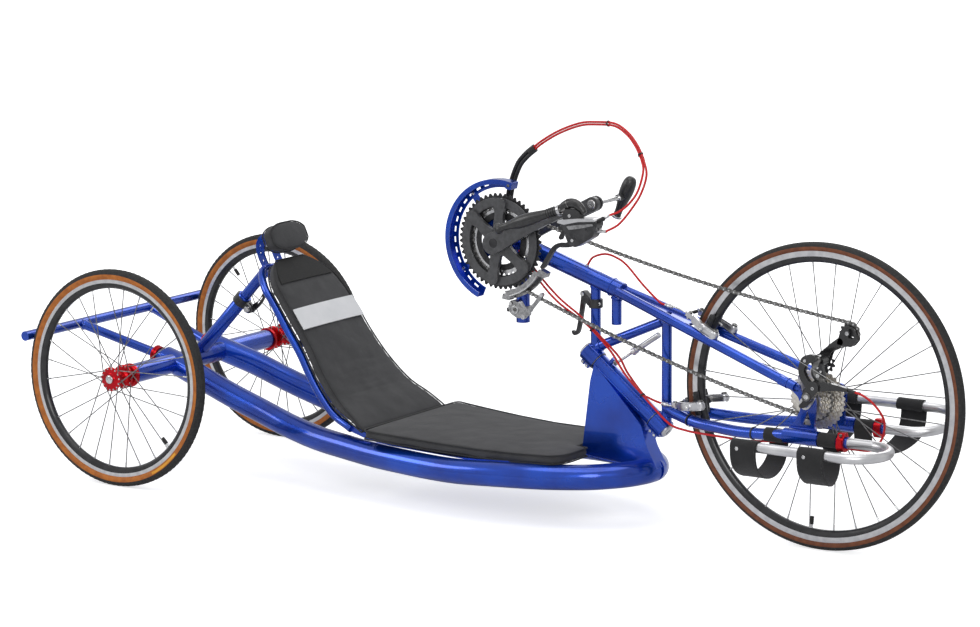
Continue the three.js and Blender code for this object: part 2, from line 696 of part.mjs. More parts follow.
// Main tubes: shares of the way to the nose, of the half width and of the fall from the rear end
const MAIN_TUBE_ROUTE_SHARES = [
  [-0.024, 0.53, -0.02], [0.032, 0.571, 0.08], [0.082, 0.6, 0.22], [0.143, 0.629, 0.39], [0.211, 0.651, 0.57],
  [0.281, 0.697, 0.74], [0.351, 0.754, 0.857], [0.42, 0.811, 0.918], [0.487, 0.869, 0.966], [0.554, 0.926, 0.986],
  [0.62, 0.971, 1], [0.69, 1, 1], [0.769, 0.983, 0.966], [0.849, 0.886, 0.94], [0.912, 0.703, 0.918],
  [0.952, 0.51, 0.9], [0.98, 0.31, 0.885], [0.996, 0.12, 0.877], [0.999, -0.12, 0.877],
];

function mainTubePoint([alongShare, wideShare, fallShare], side) {
  const x = alongShare * MAIN_TUBE_NOSE_X;
  const y = side * wideShare * MAIN_TUBE_HALF_WIDTH;
  const z = MAIN_TUBE_REAR_Z - fallShare * (MAIN_TUBE_REAR_Z - MAIN_TUBE_LOW_Z);
  return at(x, y, z);
}

// The point of a line, given as points along x, at one x
const ROUTE_SAMPLES = 160;
function pointAt(points, x) {
  const next = Math.max(1, points.findIndex((p) => p.x > x));
  const share = (x - points[next - 1].x) / (points[next].x - points[next - 1].x);
  return points[next - 1].clone().lerp(points[next], share);
}
const leftTubeLine = new THREE.CatmullRomCurve3(
  MAIN_TUBE_ROUTE_SHARES.map((shares) => mainTubePoint(shares, 1)),
).getSpacedPoints(ROUTE_SAMPLES);
const mainTubeAt = (x) => pointAt(leftTubeLine, x);

const socketRear = (side) => {
  const root = mainTubePoint(MAIN_TUBE_ROUTE_SHARES[0], side);
  return at(SOCKET_END_X, root.y, root.z + SOCKET_RISE);
};
const socketRoot = (side) => mainTubePoint(MAIN_TUBE_ROUTE_SHARES[1], side);
const alongSocket = (side) => socketRear(side).sub(socketRoot(side)).normalize();

function mainTubeSolid(side, gap = 0) {
  const route = MAIN_TUBE_ROUTE_SHARES.map((shares) => mainTubePoint(shares, side));
  return bentTube(route, MAIN_TUBE_RADIUS + gap, 14, 9);
}

const mainTubes = {};
for (const [name, side] of [["left", 1], ["right", -1]]) {
  const rear = socketRear(side);
  const root = socketRoot(side);
  const back = alongSocket(side);
  const collarStart = rear.clone().addScaledVector(back, -SOCKET_COLLAR_LENGTH);
  const insideEnd = rear.clone().addScaledVector(back, -GUARD_STAY_INSERT - OVERRUN);
  const past = rear.clone().addScaledVector(back, OVERRUN);
  const whole = join(
    mainTubeSolid(side),
    bar(root, rear, SOCKET_RADIUS, 14),
    bar(collarStart, rear, SOCKET_COLLAR_RADIUS, 14),
  );
  const otherSide = block(
    WHEELBASE, MAIN_TUBE_HALF_WIDTH, WHEELBASE,
    at(WHEELBASE / 2, side * (FIT_GAP - MAIN_TUBE_HALF_WIDTH) / 2, 0),
  );
  const bore = bar(insideEnd, past, GUARD_STAY_RADIUS + RUN_GAP, 14);
  mainTubes[name] = cut(whole, bore, otherSide, boss(0, REAR_AXLE_Z, AXLE_TUBE_RADIUS + FIT_GAP, -AXLE_TUBE_END_Y, AXLE_TUBE_END_Y, 18));
  add(`${name}_main_tube`, mainTubes[name], "blue");
}
add("rear_axle_tube", axleTube, "blue");

// Rear guard: a cross bar on two stays that slide in the main tubes' sockets
const guardStays = [1, -1].map((side) => {
  const inside = socketRear(side).addScaledVector(alongSocket(side), -GUARD_STAY_INSERT);
  return join(
    bar(inside, socketRear(side).addScaledVector(alongSocket(side), OVERRUN), GUARD_STAY_RADIUS),
    bar(socketRear(side).addScaledVector(alongSocket(side), OVERRUN / 2), at(GUARD_BAR_X, side * GUARD_BAR_JOIN_Y, GUARD_BAR_Z), GUARD_STAY_RADIUS),
  );
});
const guardBar = bar(at(GUARD_BAR_X, -GUARD_BAR_HALF_LENGTH, GUARD_BAR_Z), at(GUARD_BAR_X, GUARD_BAR_HALF_LENGTH, GUARD_BAR_Z), GUARD_BAR_RADIUS);
add("rear_guard", join(guardBar, ...guardStays), "blue");

// Steering axis, and points along it counted from the upper bearing
const headUpper = at(HEAD_UPPER_X, 0, HEAD_UPPER_Z);
const headLower = at(HEAD_LOWER_X, 0, HEAD_LOWER_Z);
const headAxis = headLower.clone().sub(headUpper).normalize();
const onHead = (start, reach) => start.clone().addScaledVector(headAxis, reach);
const headTubeStart = onHead(headUpper, KNUCKLE_LENGTH / 2 + BEARING_GAP);
const headTubeEnd = onHead(headLower, -KNUCKLE_LENGTH / 2 - BEARING_GAP);

// Head box: a hollow welded gusset that carries the head tube on the nose of the main tubes
const headBoxOutline = [
  [headTubeStart.x, headTubeStart.z], [HEAD_BOX_SHOULDER_X, HEAD_BOX_SHOULDER_Z], [HEAD_BOX_FOOT_X, HEAD_BOX_FOOT_Z],
  [HEAD_BOX_NOSE_X, HEAD_BOX_NOSE_Z], [HEAD_BOX_SHIN_X, HEAD_BOX_SHIN_Z], [HEAD_BOX_FRONT_X, HEAD_BOX_FRONT_Z],
  [headTubeEnd.x, headTubeEnd.z],
];
const damperEye = at(DAMPER_EYE_X, 0, DAMPER_EYE_Z);
const damperStud = onHead(damperEye, -DAMPER_EYE_RADIUS / 2 - RUN_GAP - DAMPER_STUD_RADIUS);
const damperFoot = onHead(headUpper, damperStud.clone().sub(headUpper).dot(headAxis));
const damperUp = damperStud.clone().sub(damperFoot).normalize();
const headBox = cut(
  join(
    sidePlate(headBoxOutline, -HEAD_BOX_WIDTH / 2, HEAD_BOX_WIDTH / 2),
    bar(headTubeStart, headTubeEnd, HEAD_TUBE_RADIUS, 18),
    bar(damperFoot, damperStud.clone().addScaledVector(damperUp, DAMPER_STUD_RADIUS), DAMPER_STUD_RADIUS, 10),
    bar(damperStud, onHead(damperEye, DAMPER_EYE_RADIUS / 2 + RUN_GAP), DAMPER_PIN_RADIUS, 8),
  ),
  bar(onHead(headTubeStart, -OVERRUN), onHead(headTubeEnd, OVERRUN), STEERER_RADIUS + RUN_GAP, 18),
  mainTubeSolid(1, FIT_GAP),
  mainTubeSolid(-1, FIT_GAP),
);

// Seat pan, curved to lie on the main tubes, and notched round the head box
function panTop(x) {
  return mainTubeAt(x).z + MAIN_TUBE_RADIUS + FIT_GAP + PAN_THICKNESS;
}
const PAN_STEPS = 8;
const panSteps = Array.from({ length: PAN_STEPS + 1 }, (_, i) => PAN_REAR_X + ((PAN_FRONT_X - PAN_REAR_X) * i) / PAN_STEPS);

function panSolid() {
  const upper = panSteps.map((x) => [x, panTop(x)]);
  const lower = panSteps.map((x) => [x, panTop(x) - PAN_THICKNESS]).reverse();
  const strip = sidePlate([...upper, ...lower], -MAIN_TUBE_HALF_WIDTH, MAIN_TUBE_HALF_WIDTH);
  const edge = panSteps.map((x) => new THREE.Vector2(x, mainTubeAt(x).y - PAN_INSET));
  const mirrored = edge.map((p) => new THREE.Vector2(p.x, -p.y)).reverse();
  const plan = new THREE.ExtrudeGeometry(new THREE.Shape([...edge, ...mirrored]), { depth: WHEELBASE, bevelEnabled: false });
  return strip.intersect(solidOf(plan));
}
add("head_box", headBox, "blue");
const panEar = (side) => {
  const faces = [side * HINGE_INNER_Y, side * (HINGE_INNER_Y + HINGE_THICKNESS)];
  const floor = panTop(PAN_REAR_X) - PAN_THICKNESS / 2;
  return flatArm([RECLINE_PIVOT_X, RECLINE_PIVOT_Z], [PAN_REAR_X, floor], HINGE_RADIUS, PAN_THICKNESS / 2, ...faces, 6);
};
const hingeBore = boss(
  RECLINE_PIVOT_X, RECLINE_PIVOT_Z, HINGE_PIN_RADIUS + RUN_GAP, -MAIN_TUBE_HALF_WIDTH, MAIN_TUBE_HALF_WIDTH, 8,
);
const seatPan = cut(
  join(panSolid(), panEar(1), panEar(-1)),
  mainTubeSolid(1, FIT_GAP), mainTubeSolid(-1, FIT_GAP), hingeBore,
);
add("seat_pan", seatPan, "blue");

// Closed cushion from a grid: each row runs across, and the crown fades to nothing at the edges
function cushionSolid(rows, columns, place) {
  const vertices = [];
  const faces = [];
  const index = (layer, row, column) => (layer * (rows + 1) + row) * (columns + 1) + column;
  for (const layer of [0, 1]) {
    for (let row = 0; row <= rows; row++) {
      for (let column = 0; column <= columns; column++) {
        const point = place(row / rows, column / columns, layer);
        vertices.push(point.x, point.y, point.z);
      }
    }
  }
  const quad = (a, b, c, d) => faces.push(a, b, c, a, c, d);
  for (let row = 0; row < rows; row++) {
    for (let column = 0; column < columns; column++) {
      quad(index(1, row, column), index(1, row + 1, column), index(1, row + 1, column + 1), index(1, row, column + 1));
      quad(index(0, row, column), index(0, row, column + 1), index(0, row + 1, column + 1), index(0, row + 1, column));
    }
    quad(index(0, row, 0), index(0, row + 1, 0), index(1, row + 1, 0), index(1, row, 0));
    quad(index(0, row, columns), index(1, row, columns), index(1, row + 1, columns), index(0, row + 1, columns));
  }
  for (let column = 0; column < columns; column++) {
    quad(index(0, 0, column), index(1, 0, column), index(1, 0, column + 1), index(0, 0, column + 1));
    quad(index(0, rows, column), index(0, rows, column + 1), index(1, rows, column + 1), index(1, rows, column));
  }
  const geometry = new THREE.BufferGeometry();
  geometry.setAttribute("position", new THREE.Float32BufferAttribute(vertices, 3));
  geometry.setIndex(faces);
  return solidOf(geometry);
}

const CROWN_POWER = 0.5;
const crownAt = (u, v) => (16 * u * (1 - u) * v * (1 - v)) ** CROWN_POWER;
const bowAt = (u) => 4 * u * (1 - u);

// Seat cushion, resting on the pan
const seatRearX = PAN_REAR_X + HINGE_RADIUS;
const SEAT_ROWS = 12;
const SEAT_COLUMNS = 10;
const seatCushion = cut(
  cushionSolid(SEAT_ROWS, SEAT_COLUMNS, (u, v, layer) => {
    const x = seatRearX + u * (SEAT_FRONT_X - seatRearX);
    const corner = SEAT_REAR_HALF_WIDTH + u * (SEAT_FRONT_HALF_WIDTH - SEAT_REAR_HALF_WIDTH);
    const halfWidth = corner - bowAt(u) * SEAT_SIDE_PULL;
    const base = panTop(Math.min(x, PAN_FRONT_X)) + RUN_GAP;
    const height = layer === 0 ? 0 : SEAT_CUSHION_HEIGHT + crownAt(u, v) * SEAT_CROWN;
    return at(x, -halfWidth + 2 * halfWidth * v, base + height);
  }),
  block(
    2 * (SEAT_FRONT_X - HEAD_BOX_FOOT_X + FIT_GAP + OVERRUN), 2 * SEAT_NOTCH_HALF_WIDTH, WHEELBASE,
    at(SEAT_FRONT_X, 0, 0),
  ),
);
add("seat_cushion", seatCushion, "fabric");

// Backrest line, from the seat up to the top of the back, as shares of its run and rise
const BACK_LINE_SHARES = [[0, 0], [0.16, 0.11], [0.3, 0.2], [0.44, 0.34], [0.56, 0.5], [0.68, 0.66], [0.82, 0.83], [1, 1]];
const BACK_WIDTH_SHARES = [1, 0.82, 0.55, 0.3, 0.05, 0, -0.2, -0.62];

const backLine = new THREE.CatmullRomCurve3(
  BACK_LINE_SHARES.map(([runShare, riseShare], i) => at(
    BACK_FOOT_X + runShare * (BACK_TOP_X - BACK_FOOT_X),
    BACK_WAIST_HALF_WIDTH + BACK_WIDTH_SHARES[i] * (BACK_FOOT_HALF_WIDTH - BACK_WAIST_HALF_WIDTH),
    BACK_FOOT_Z + riseShare * (BACK_TOP_Z - BACK_FOOT_Z),
  )),
);

const FOOT_DEPTH_SHARE = 0.15;
const FULL_DEPTH_SHARE = 0.25;

// A point on the line of the back's front face, pushed behind it
function backPoint(u, y, push) {
  const point = backLine.getPoint(u);
  const along = backLine.getTangent(u);
  const behind = at(-along.z, 0, along.x).normalize();
  return at(point.x, y, point.z).addScaledVector(behind, push);
}
const backHalfWidth = (u) => backLine.getPoint(u).y;
const backDepth = (u) => FOOT_DEPTH_SHARE + (1 - FOOT_DEPTH_SHARE) * Math.min(1, u / FULL_DEPTH_SHARE);

const CUSHION_START_SHARE = 0.05;
const CUSHION_END_SHARE = 0.985;
const TOP_ROUND_SHARE = 0.86;

const BACK_ROWS = 15;
const BACK_COLUMNS = 10;
const backCushion = cushionSolid(BACK_ROWS, BACK_COLUMNS, (share, v, layer) => {
  const u = CUSHION_START_SHARE + share * (CUSHION_END_SHARE - CUSHION_START_SHARE);
  const past = Math.max(0, (share - TOP_ROUND_SHARE) / (1 - TOP_ROUND_SHARE));
  const halfWidth = backHalfWidth(u) * Math.sqrt(1 - (past * TOP_ROUND_SHARE) ** 2) - bowAt(share) * BACK_SIDE_PULL;
  const y = halfWidth - 2 * halfWidth * v;
  const push = layer === 0 ? (BACK_CUSHION_THICKNESS - FIT_GAP) * backDepth(u) : -crownAt(share, v) * BACK_CROWN;
  return backPoint(u, y, push);
});

// Back frame: one tube bent round behind the cushion, with two cross members
const backTubeDepth = (u) => BACK_CUSHION_THICKNESS * backDepth(u) + BACK_TUBE_STANDOFF + BACK_TUBE_RADIUS;
const BACK_FRAME_SHARES = [0.112, 0.14, 0.17, 0.22, 0.28, 0.35, 0.42, 0.49, 0.56, 0.63, 0.7, 0.77, 0.84, 0.92];
const BACK_CROSS_SHARES = [0.3, 0.62];
const sideRail = (side) => BACK_FRAME_SHARES.map((u) => backPoint(u, side * (backHalfWidth(u) - BACK_TUBE_RADIUS), backTubeDepth(u)));
const BACK_CROWN_SHARES = [-0.5, 0, 0.5];
const crownUp = backLine.getTangent(1).setY(0).normalize();
const crownPoint = (share) => backPoint(1, share * BACK_WAIST_HALF_WIDTH, backTubeDepth(1))
  .addScaledVector(crownUp, BACK_CROWN_RISE * (1 - share * share));
const backTube = (gap = 0) => bentTube(
  [...sideRail(-1), ...BACK_CROWN_SHARES.map(crownPoint), ...sideRail(1).reverse()], BACK_TUBE_RADIUS + gap, 8, 9,
);
const strutTop = at(STRUT_TOP_X, 0, STRUT_TOP_Z);
const lugInner = STRUT_EYE_HALF_WIDTH + STRUT_EYE_CLEARANCE;
const strutLug = (side) => flatArm(
  [crownPoint(0).x, crownPoint(0).z], [strutTop.x, strutTop.z], BACK_TUBE_RADIUS, BACK_TUBE_RADIUS,
  side * lugInner, side * (lugInner + LUG_THICKNESS),
);
const railFoot = sideRail(1)[0];
const hingeOuter = HINGE_INNER_Y + HINGE_THICKNESS + RUN_GAP;
const hingeArm = (side) => join(
  flatArm(
    [RECLINE_PIVOT_X, RECLINE_PIVOT_Z], [railFoot.x, railFoot.z], HINGE_RADIUS, HINGE_RADIUS,
    side * hingeOuter, side * (railFoot.y - BACK_TUBE_RADIUS / 2), 6,
  ),
  boss(
    RECLINE_PIVOT_X, RECLINE_PIVOT_Z, HINGE_PIN_RADIUS,
    side * (HINGE_INNER_Y - HINGE_THICKNESS), side * (hingeOuter + HINGE_THICKNESS), 8,
  ),
);
const backFrame = cut(join(
  backTube(),
  hingeArm(1),
  hingeArm(-1),
  strutLug(1),
  strutLug(-1),
  boss(strutTop.x, strutTop.z, STRUT_PIN_RADIUS, -lugInner - LUG_THICKNESS, lugInner + LUG_THICKNESS, 10),
  ...BACK_CROSS_SHARES.map((u) => {
    const reach = backHalfWidth(u) - BACK_TUBE_RADIUS;
    return bar(backPoint(u, -reach, backTubeDepth(u)), backPoint(u, reach, backTubeDepth(u)), BACK_TUBE_RADIUS, 8);
  }),
), mainTubeSolid(1, FIT_GAP), mainTubeSolid(-1, FIT_GAP));
add("back_frame", backFrame, "blue");
add("back_cushion", backCushion, "fabric");

// Strut: outer tube, clamp band with its ears, sliding inner tube and cam lever
const strutFoot = at(STRUT_FOOT_X, 0, STRUT_FOOT_Z);
const strutAxis = strutTop.clone().sub(strutFoot).normalize();
const strutSide = at(strutAxis.z, 0, -strutAxis.x);
const onStrut = (reach) => strutFoot.clone().addScaledVector(strutAxis, reach);
const strutLength = strutTop.distanceTo(strutFoot);
const strutBore = STRUT_INNER_RADIUS + STRUT_SLOT_GAP;
const strutTube = cut(
  bar(onStrut(0), onStrut(STRUT_OUTER_LENGTH), STRUT_OUTER_RADIUS, 16),
  bar(onStrut(STRUT_OUTER_LENGTH - STRUT_INSERT - OVERRUN), onStrut(STRUT_OUTER_LENGTH + OVERRUN), strutBore, 16),
  boss(0, REAR_AXLE_Z, AXLE_TUBE_RADIUS + FIT_GAP, -AXLE_TUBE_END_Y, AXLE_TUBE_END_Y, 18),
);
const clampMiddle = onStrut(STRUT_OUTER_LENGTH - STRUT_CLAMP_LENGTH / 2 - OVERRUN);
const clampStart = clampMiddle.clone().addScaledVector(strutAxis, -STRUT_CLAMP_LENGTH / 2);
const clampEnd = clampMiddle.clone().addScaledVector(strutAxis, STRUT_CLAMP_LENGTH / 2);
const earCentre = clampMiddle.clone().addScaledVector(strutSide, STRUT_CLAMP_RADIUS + STRUT_EAR_LENGTH / 2 - OVERRUN / 2);
const strutTurn = -Math.atan2(strutAxis.z, strutAxis.x);
const strutClamp = cut(
  join(
    bar(clampStart, clampEnd, STRUT_CLAMP_RADIUS, 16),
    block(STRUT_CLAMP_LENGTH, STRUT_EAR_WIDTH, STRUT_EAR_LENGTH + OVERRUN, earCentre, strutTurn),
  ),
  bar(clampStart.clone().addScaledVector(strutAxis, -OVERRUN), clampEnd.clone().addScaledVector(strutAxis, OVERRUN), STRUT_OUTER_RADIUS + FIT_GAP, 16),
  boss(earCentre.x, earCentre.z, LEVER_PIN_RADIUS + RUN_GAP, -STRUT_EAR_WIDTH, STRUT_EAR_WIDTH, 12),
);
const leverY = STRUT_EAR_WIDTH / 2 + FIT_GAP;
const leverTip = earCentre.clone().addScaledVector(strutAxis, LEVER_LENGTH);
const strutLever = join(
  flatArm([earCentre.x, earCentre.z], [leverTip.x, leverTip.z], LEVER_WIDTH / 2 + LEVER_PIN_RADIUS / 2, LEVER_WIDTH / 2, leverY, leverY + LEVER_THICKNESS),
  boss(earCentre.x, earCentre.z, LEVER_PIN_RADIUS, -leverY - LEVER_THICKNESS, leverY + LEVER_THICKNESS / 2, 12),
  boss(earCentre.x, earCentre.z, LEVER_WIDTH / 2 + LEVER_PIN_RADIUS / 2, -leverY - LEVER_THICKNESS, -leverY, 12),
);
const strutInner = cut(
  join(
    bar(onStrut(STRUT_OUTER_LENGTH - STRUT_INSERT), onStrut(strutLength - STRUT_INNER_RADIUS), STRUT_INNER_RADIUS, 16),
    bar(onStrut(strutLength - 2 * STRUT_INNER_RADIUS), onStrut(strutLength), STRUT_EYE_HALF_WIDTH, 12),
    boss(strutTop.x, strutTop.z, STRUT_INNER_RADIUS, -STRUT_EYE_HALF_WIDTH, STRUT_EYE_HALF_WIDTH, 16),
  ),
  boss(strutTop.x, strutTop.z, STRUT_PIN_RADIUS + STRUT_EYE_CLEARANCE, -STRUT_INNER_RADIUS, STRUT_INNER_RADIUS, 14),
);
add("strut_tube", strutTube, "blue");
add("strut_clamp", strutClamp, "black");
add("strut_inner_tube", strutInner, "blue");
add("strut_lever", strutLever, "black");

// Headrest bracket: two drilled plates across the top of the back frame, joined behind the pad
const padTilt = radians(PAD_TILT_DEGREES);
const padNormal = at(Math.cos(padTilt), 0, Math.sin(padTilt));
const padCentre = at(PAD_X, 0, PAD_Z);
const padBack = padCentre.clone().addScaledVector(padNormal, -PAD_THICKNESS / 2 - FIT_GAP);
const PLATE_LOW_SHARES = [0.22, -0.65];
const PLATE_BEND_SHARES = [-0.25, 0.32];
const besideCrown = ([alongShare, riseShare]) => [
  crownPoint(0).x + alongShare * PAD_HEIGHT, crownPoint(0).z + riseShare * PAD_HEIGHT,
];
const plateLine = [
  besideCrown(PLATE_LOW_SHARES),
  besideCrown(PLATE_BEND_SHARES),
  [padBack.x - BRACKET_WIDTH * 0.5 * padNormal.x, padBack.z - BRACKET_WIDTH * 0.5 * padNormal.z],
];
const halfPlate = BRACKET_WIDTH / 2;
const bracketPlates = [1, -1].flatMap((side) => plateLine.slice(1).map((end, i) => flatArm(
  plateLine[i], end, halfPlate, halfPlate, side * BRACKET_Y, side * (BRACKET_Y + BRACKET_THICKNESS),
)));
const holeDirection = at(plateLine[0][0] - plateLine[1][0], 0, plateLine[0][1] - plateLine[1][1]).normalize();
const bracketHoles = Array.from({ length: BRACKET_HOLES }, (_, i) => {
  const reach = (i + 0.5) * BRACKET_HOLE_PITCH;
  const x = plateLine[0][0] - reach * holeDirection.x;
  const z = plateLine[0][1] - reach * holeDirection.z;
  return boss(x, z, BRACKET_HOLE_RADIUS, -2 * BRACKET_Y, 2 * BRACKET_Y, 8);
});
const crossPlateCentre = padBack.clone().addScaledVector(padNormal, -BRACKET_THICKNESS / 2);
const crossPlate = block(
  BRACKET_THICKNESS, 2 * (BRACKET_Y + BRACKET_THICKNESS), BRACKET_WIDTH, crossPlateCentre, -padTilt,
);
const inFrontOfPad = block(
  2 * PAD_THICKNESS, PAD_WIDTH, 2 * PAD_HEIGHT,
  padBack.clone().addScaledVector(padNormal, PAD_THICKNESS), -padTilt,
);
add("headrest_bracket", cut(join(...bracketPlates, crossPlate), ...bracketHoles, backTube(FIT_GAP), inFrontOfPad), "silver");

// Headrest pad, a small crowned cushion
const padUp = at(-padNormal.z, 0, padNormal.x);
const headrestPad = cushionSolid(6, 8, (u, v, layer) => {
  const rounding = 1 - PAD_ROUND_SHARE * (2 * v - 1) ** 6;
  const high = (u - 0.5) * PAD_HEIGHT * rounding;
  const wide = (0.5 - v) * PAD_WIDTH * (1 - PAD_ROUND_SHARE * (2 * u - 1) ** 6);
  const thick = layer === 0 ? -PAD_THICKNESS / 2 : PAD_THICKNESS * (crownAt(u, v) * PAD_CROWN_SHARE - PAD_SINK_SHARE);
  return padCentre.clone().addScaledVector(padUp, high).addScaledVector(padNormal, thick).setY(wide);
});
add("headrest_pad", headrestPad, "fabric");

// Steerer, turning in the head tube, with a cap at each end
const capStart = KNUCKLE_LENGTH / 2 + FIT_GAP;
const steerer = join(
  bar(onHead(headUpper, -capStart), onHead(headLower, capStart), STEERER_RADIUS, 16),
  bar(onHead(headUpper, -capStart - STEERER_CAP_LENGTH), onHead(headUpper, -capStart), STEERER_CAP_RADIUS + STEERER_CAP_LENGTH, 16),
  bar(onHead(headLower, capStart), onHead(headLower, capStart + STEERER_CAP_LENGTH), STEERER_CAP_RADIUS + STEERER_CAP_LENGTH, 16),
);
add("steerer", steerer, "silver");

const knuckle = (middle, gap = 0) => bar(
  onHead(middle, -KNUCKLE_LENGTH / 2 - gap), onHead(middle, KNUCKLE_LENGTH / 2 + gap), KNUCKLE_RADIUS + gap, 18,
);
const knuckleBore = (middle) => bar(
  onHead(middle, -KNUCKLE_LENGTH), onHead(middle, KNUCKLE_LENGTH), STEERER_RADIUS + FIT_GAP, 18,
);
const headAcross = at(-headAxis.z, 0, headAxis.x);
const knuckleEars = (middle, direction) => block(
  KNUCKLE_LENGTH * EAR_LENGTH_SHARE, KNUCKLE_RADIUS * EAR_WIDTH_SHARE, KNUCKLE_RADIUS * EAR_HEIGHT_SHARE,
  middle.clone().addScaledVector(headAcross, direction * KNUCKLE_RADIUS),
  Math.atan2(-headAxis.z, headAxis.x),
);

// Boom: crank bearing shell, round tube, the tubes welded under it and the web between the stays
const crankCentre = at(CRANK_X, 0, CRANK_Z);
const boomEnd = at(BOOM_END_X, 0, BOOM_END_Z);
const boomSlope = (BOOM_END_Z - CRANK_Z) / (BOOM_END_X - CRANK_X);
const boomZ = (x) => CRANK_Z + boomSlope * (x - CRANK_X);
const boomPoint = (x) => at(x, 0, boomZ(x));
const stayPoint = (x, side) => {
  const share = (x - BOOM_END_X) / (UPPER_STAY_END_X - BOOM_END_X);
  const y = UPPER_STAY_START_Y + share * (UPPER_STAY_END_Y - UPPER_STAY_START_Y);
  return at(x, side * y, BOOM_END_Z + share * (UPPER_STAY_END_Z - BOOM_END_Z));
};
const stayBar = (side, gap = 0) => {
  const rear = gap > 0 ? BOOM_END_X - 2 * OVERRUN : BOOM_END_X - OVERRUN;
  return bar(stayPoint(rear, side), stayPoint(UPPER_STAY_END_X, side), UPPER_STAY_RADIUS + gap, 12);
};
const upperStayLine = (side) => Array.from({ length: ROUTE_SAMPLES + 1 }, (_, i) => stayPoint(
  BOOM_END_X + ((UPPER_STAY_END_X - BOOM_END_X) * i) / ROUTE_SAMPLES, side,
));
const boomTube = (gap = 0) => join(
  bar(crankCentre, boomEnd, BOOM_RADIUS + gap, 18),
  bar(boomPoint(BOOM_END_X - WEB_THICKNESS - BOOM_RADIUS), boomEnd, BOOM_RADIUS + WEB_THICKNESS / 2 + gap, 18),
);

function crownWeb(gap = 0) {
  const from = boomPoint(BOOM_END_X - BOOM_RADIUS);
  const to = stayPoint(WEB_END_X, 0);
  const half = WEB_THICKNESS / 2 + gap;
  const strip = sidePlate(
    [[from.x, from.z - half], [to.x + gap, to.z - half], [to.x + gap, to.z + half], [from.x, from.z + half]],
    -UPPER_STAY_END_Y, UPPER_STAY_END_Y,
  );
  const edge = [new THREE.Vector2(from.x, UPPER_STAY_START_Y), new THREE.Vector2(to.x + gap, stayPoint(WEB_END_X, 1).y + gap)];
  const mirrored = edge.map((p) => new THREE.Vector2(p.x, -p.y)).reverse();
  const plan = new THREE.ExtrudeGeometry(new THREE.Shape([...edge, ...mirrored]), { depth: WHEELBASE, bevelEnabled: false });
  return strip.intersect(solidOf(plan));
}

const clampTubeFoot = at(CLAMP_TUBE_X, 0, headUpper.z + boomSlope * OVERRUN);
// Parking lever, hooked at its lower end, and the clamp that carries it on the tube
const parkPivot = [PARK_PIVOT_X, PARK_PIVOT_Z];
const parkKnee = [PARK_PIVOT_X - PARK_LEVER_WIDTH, PARK_PIVOT_Z - PARK_LEVER_LENGTH / 2];
const parkFoot = [parkKnee[0] - PARK_LEVER_WIDTH / 2, PARK_PIVOT_Z - PARK_LEVER_LENGTH];
const parkToe = [parkFoot[0] - PARK_LEVER_WIDTH, parkFoot[1] + PARK_LEVER_WIDTH / 3];
const parkHalf = PARK_LEVER_THICKNESS / 2;
const parkArm = (from, to, start, end) => flatArm(from, to, start, end, -parkHalf, parkHalf, 6);
const parkingLever = join(
  parkArm(parkPivot, parkKnee, PARK_LEVER_WIDTH / 2 + PARK_PIN_RADIUS, PARK_LEVER_WIDTH / 2),
  parkArm(parkKnee, parkFoot, PARK_LEVER_WIDTH / 2, PARK_LEVER_WIDTH / 2),
  parkArm(parkFoot, parkToe, PARK_LEVER_WIDTH / 2, PARK_LEVER_WIDTH / 3),
  boss(...parkPivot, PARK_PIN_RADIUS, -parkHalf - PARK_EAR_THICKNESS, parkHalf + PARK_EAR_THICKNESS, 10),
);
add("parking_lever", parkingLever, "black");
const parkEar = (side) => flatArm(
  parkPivot, [CLAMP_TUBE_X, PARK_CLAMP_Z], PARK_PIN_RADIUS + PARK_EAR_THICKNESS, PARK_CLAMP_HEIGHT / 2,
  side * (parkHalf + RUN_GAP), side * (parkHalf + RUN_GAP + PARK_EAR_THICKNESS),
);
const parkClamp = cut(
  join(
    bar(
      at(CLAMP_TUBE_X, 0, PARK_CLAMP_Z - PARK_CLAMP_HEIGHT / 2),
      at(CLAMP_TUBE_X, 0, PARK_CLAMP_Z + PARK_CLAMP_HEIGHT / 2), PARK_CLAMP_RADIUS, 16,
    ),
    parkEar(1), parkEar(-1),
  ),
  boss(...parkPivot, PARK_PIN_RADIUS + RUN_GAP, -PARK_CLAMP_RADIUS, PARK_CLAMP_RADIUS, 12),
);

const boom = cut(
  join(
    boomTube(),
    boss(CRANK_X, CRANK_Z, BRACKET_SHELL_RADIUS, -BRACKET_SHELL_LENGTH / 2, BRACKET_SHELL_LENGTH / 2, 20),
    bar(clampTubeFoot, boomPoint(CLAMP_TUBE_X), FRAME_TUBE_RADIUS, 14),
    bar(at(STUB_TUBE_X, 0, STUB_TUBE_END_Z), boomPoint(STUB_TUBE_X), FRAME_TUBE_RADIUS, 14),
    bar(at(CABLE_POST_X, 0, CABLE_POST_END_Z), boomPoint(CABLE_POST_X), CABLE_POST_RADIUS, 14),
    cut(crownWeb(), stayBar(1, FIT_GAP), stayBar(-1, FIT_GAP)),
    knuckle(headUpper),
    knuckleEars(headUpper, -1),
    parkClamp,
  ),
  knuckleBore(headUpper),
  boss(CRANK_X, CRANK_Z, SPINDLE_RADIUS + RUN_GAP, -BRACKET_SHELL_LENGTH, BRACKET_SHELL_LENGTH, 20),
);
add("boom", boom, "blue");

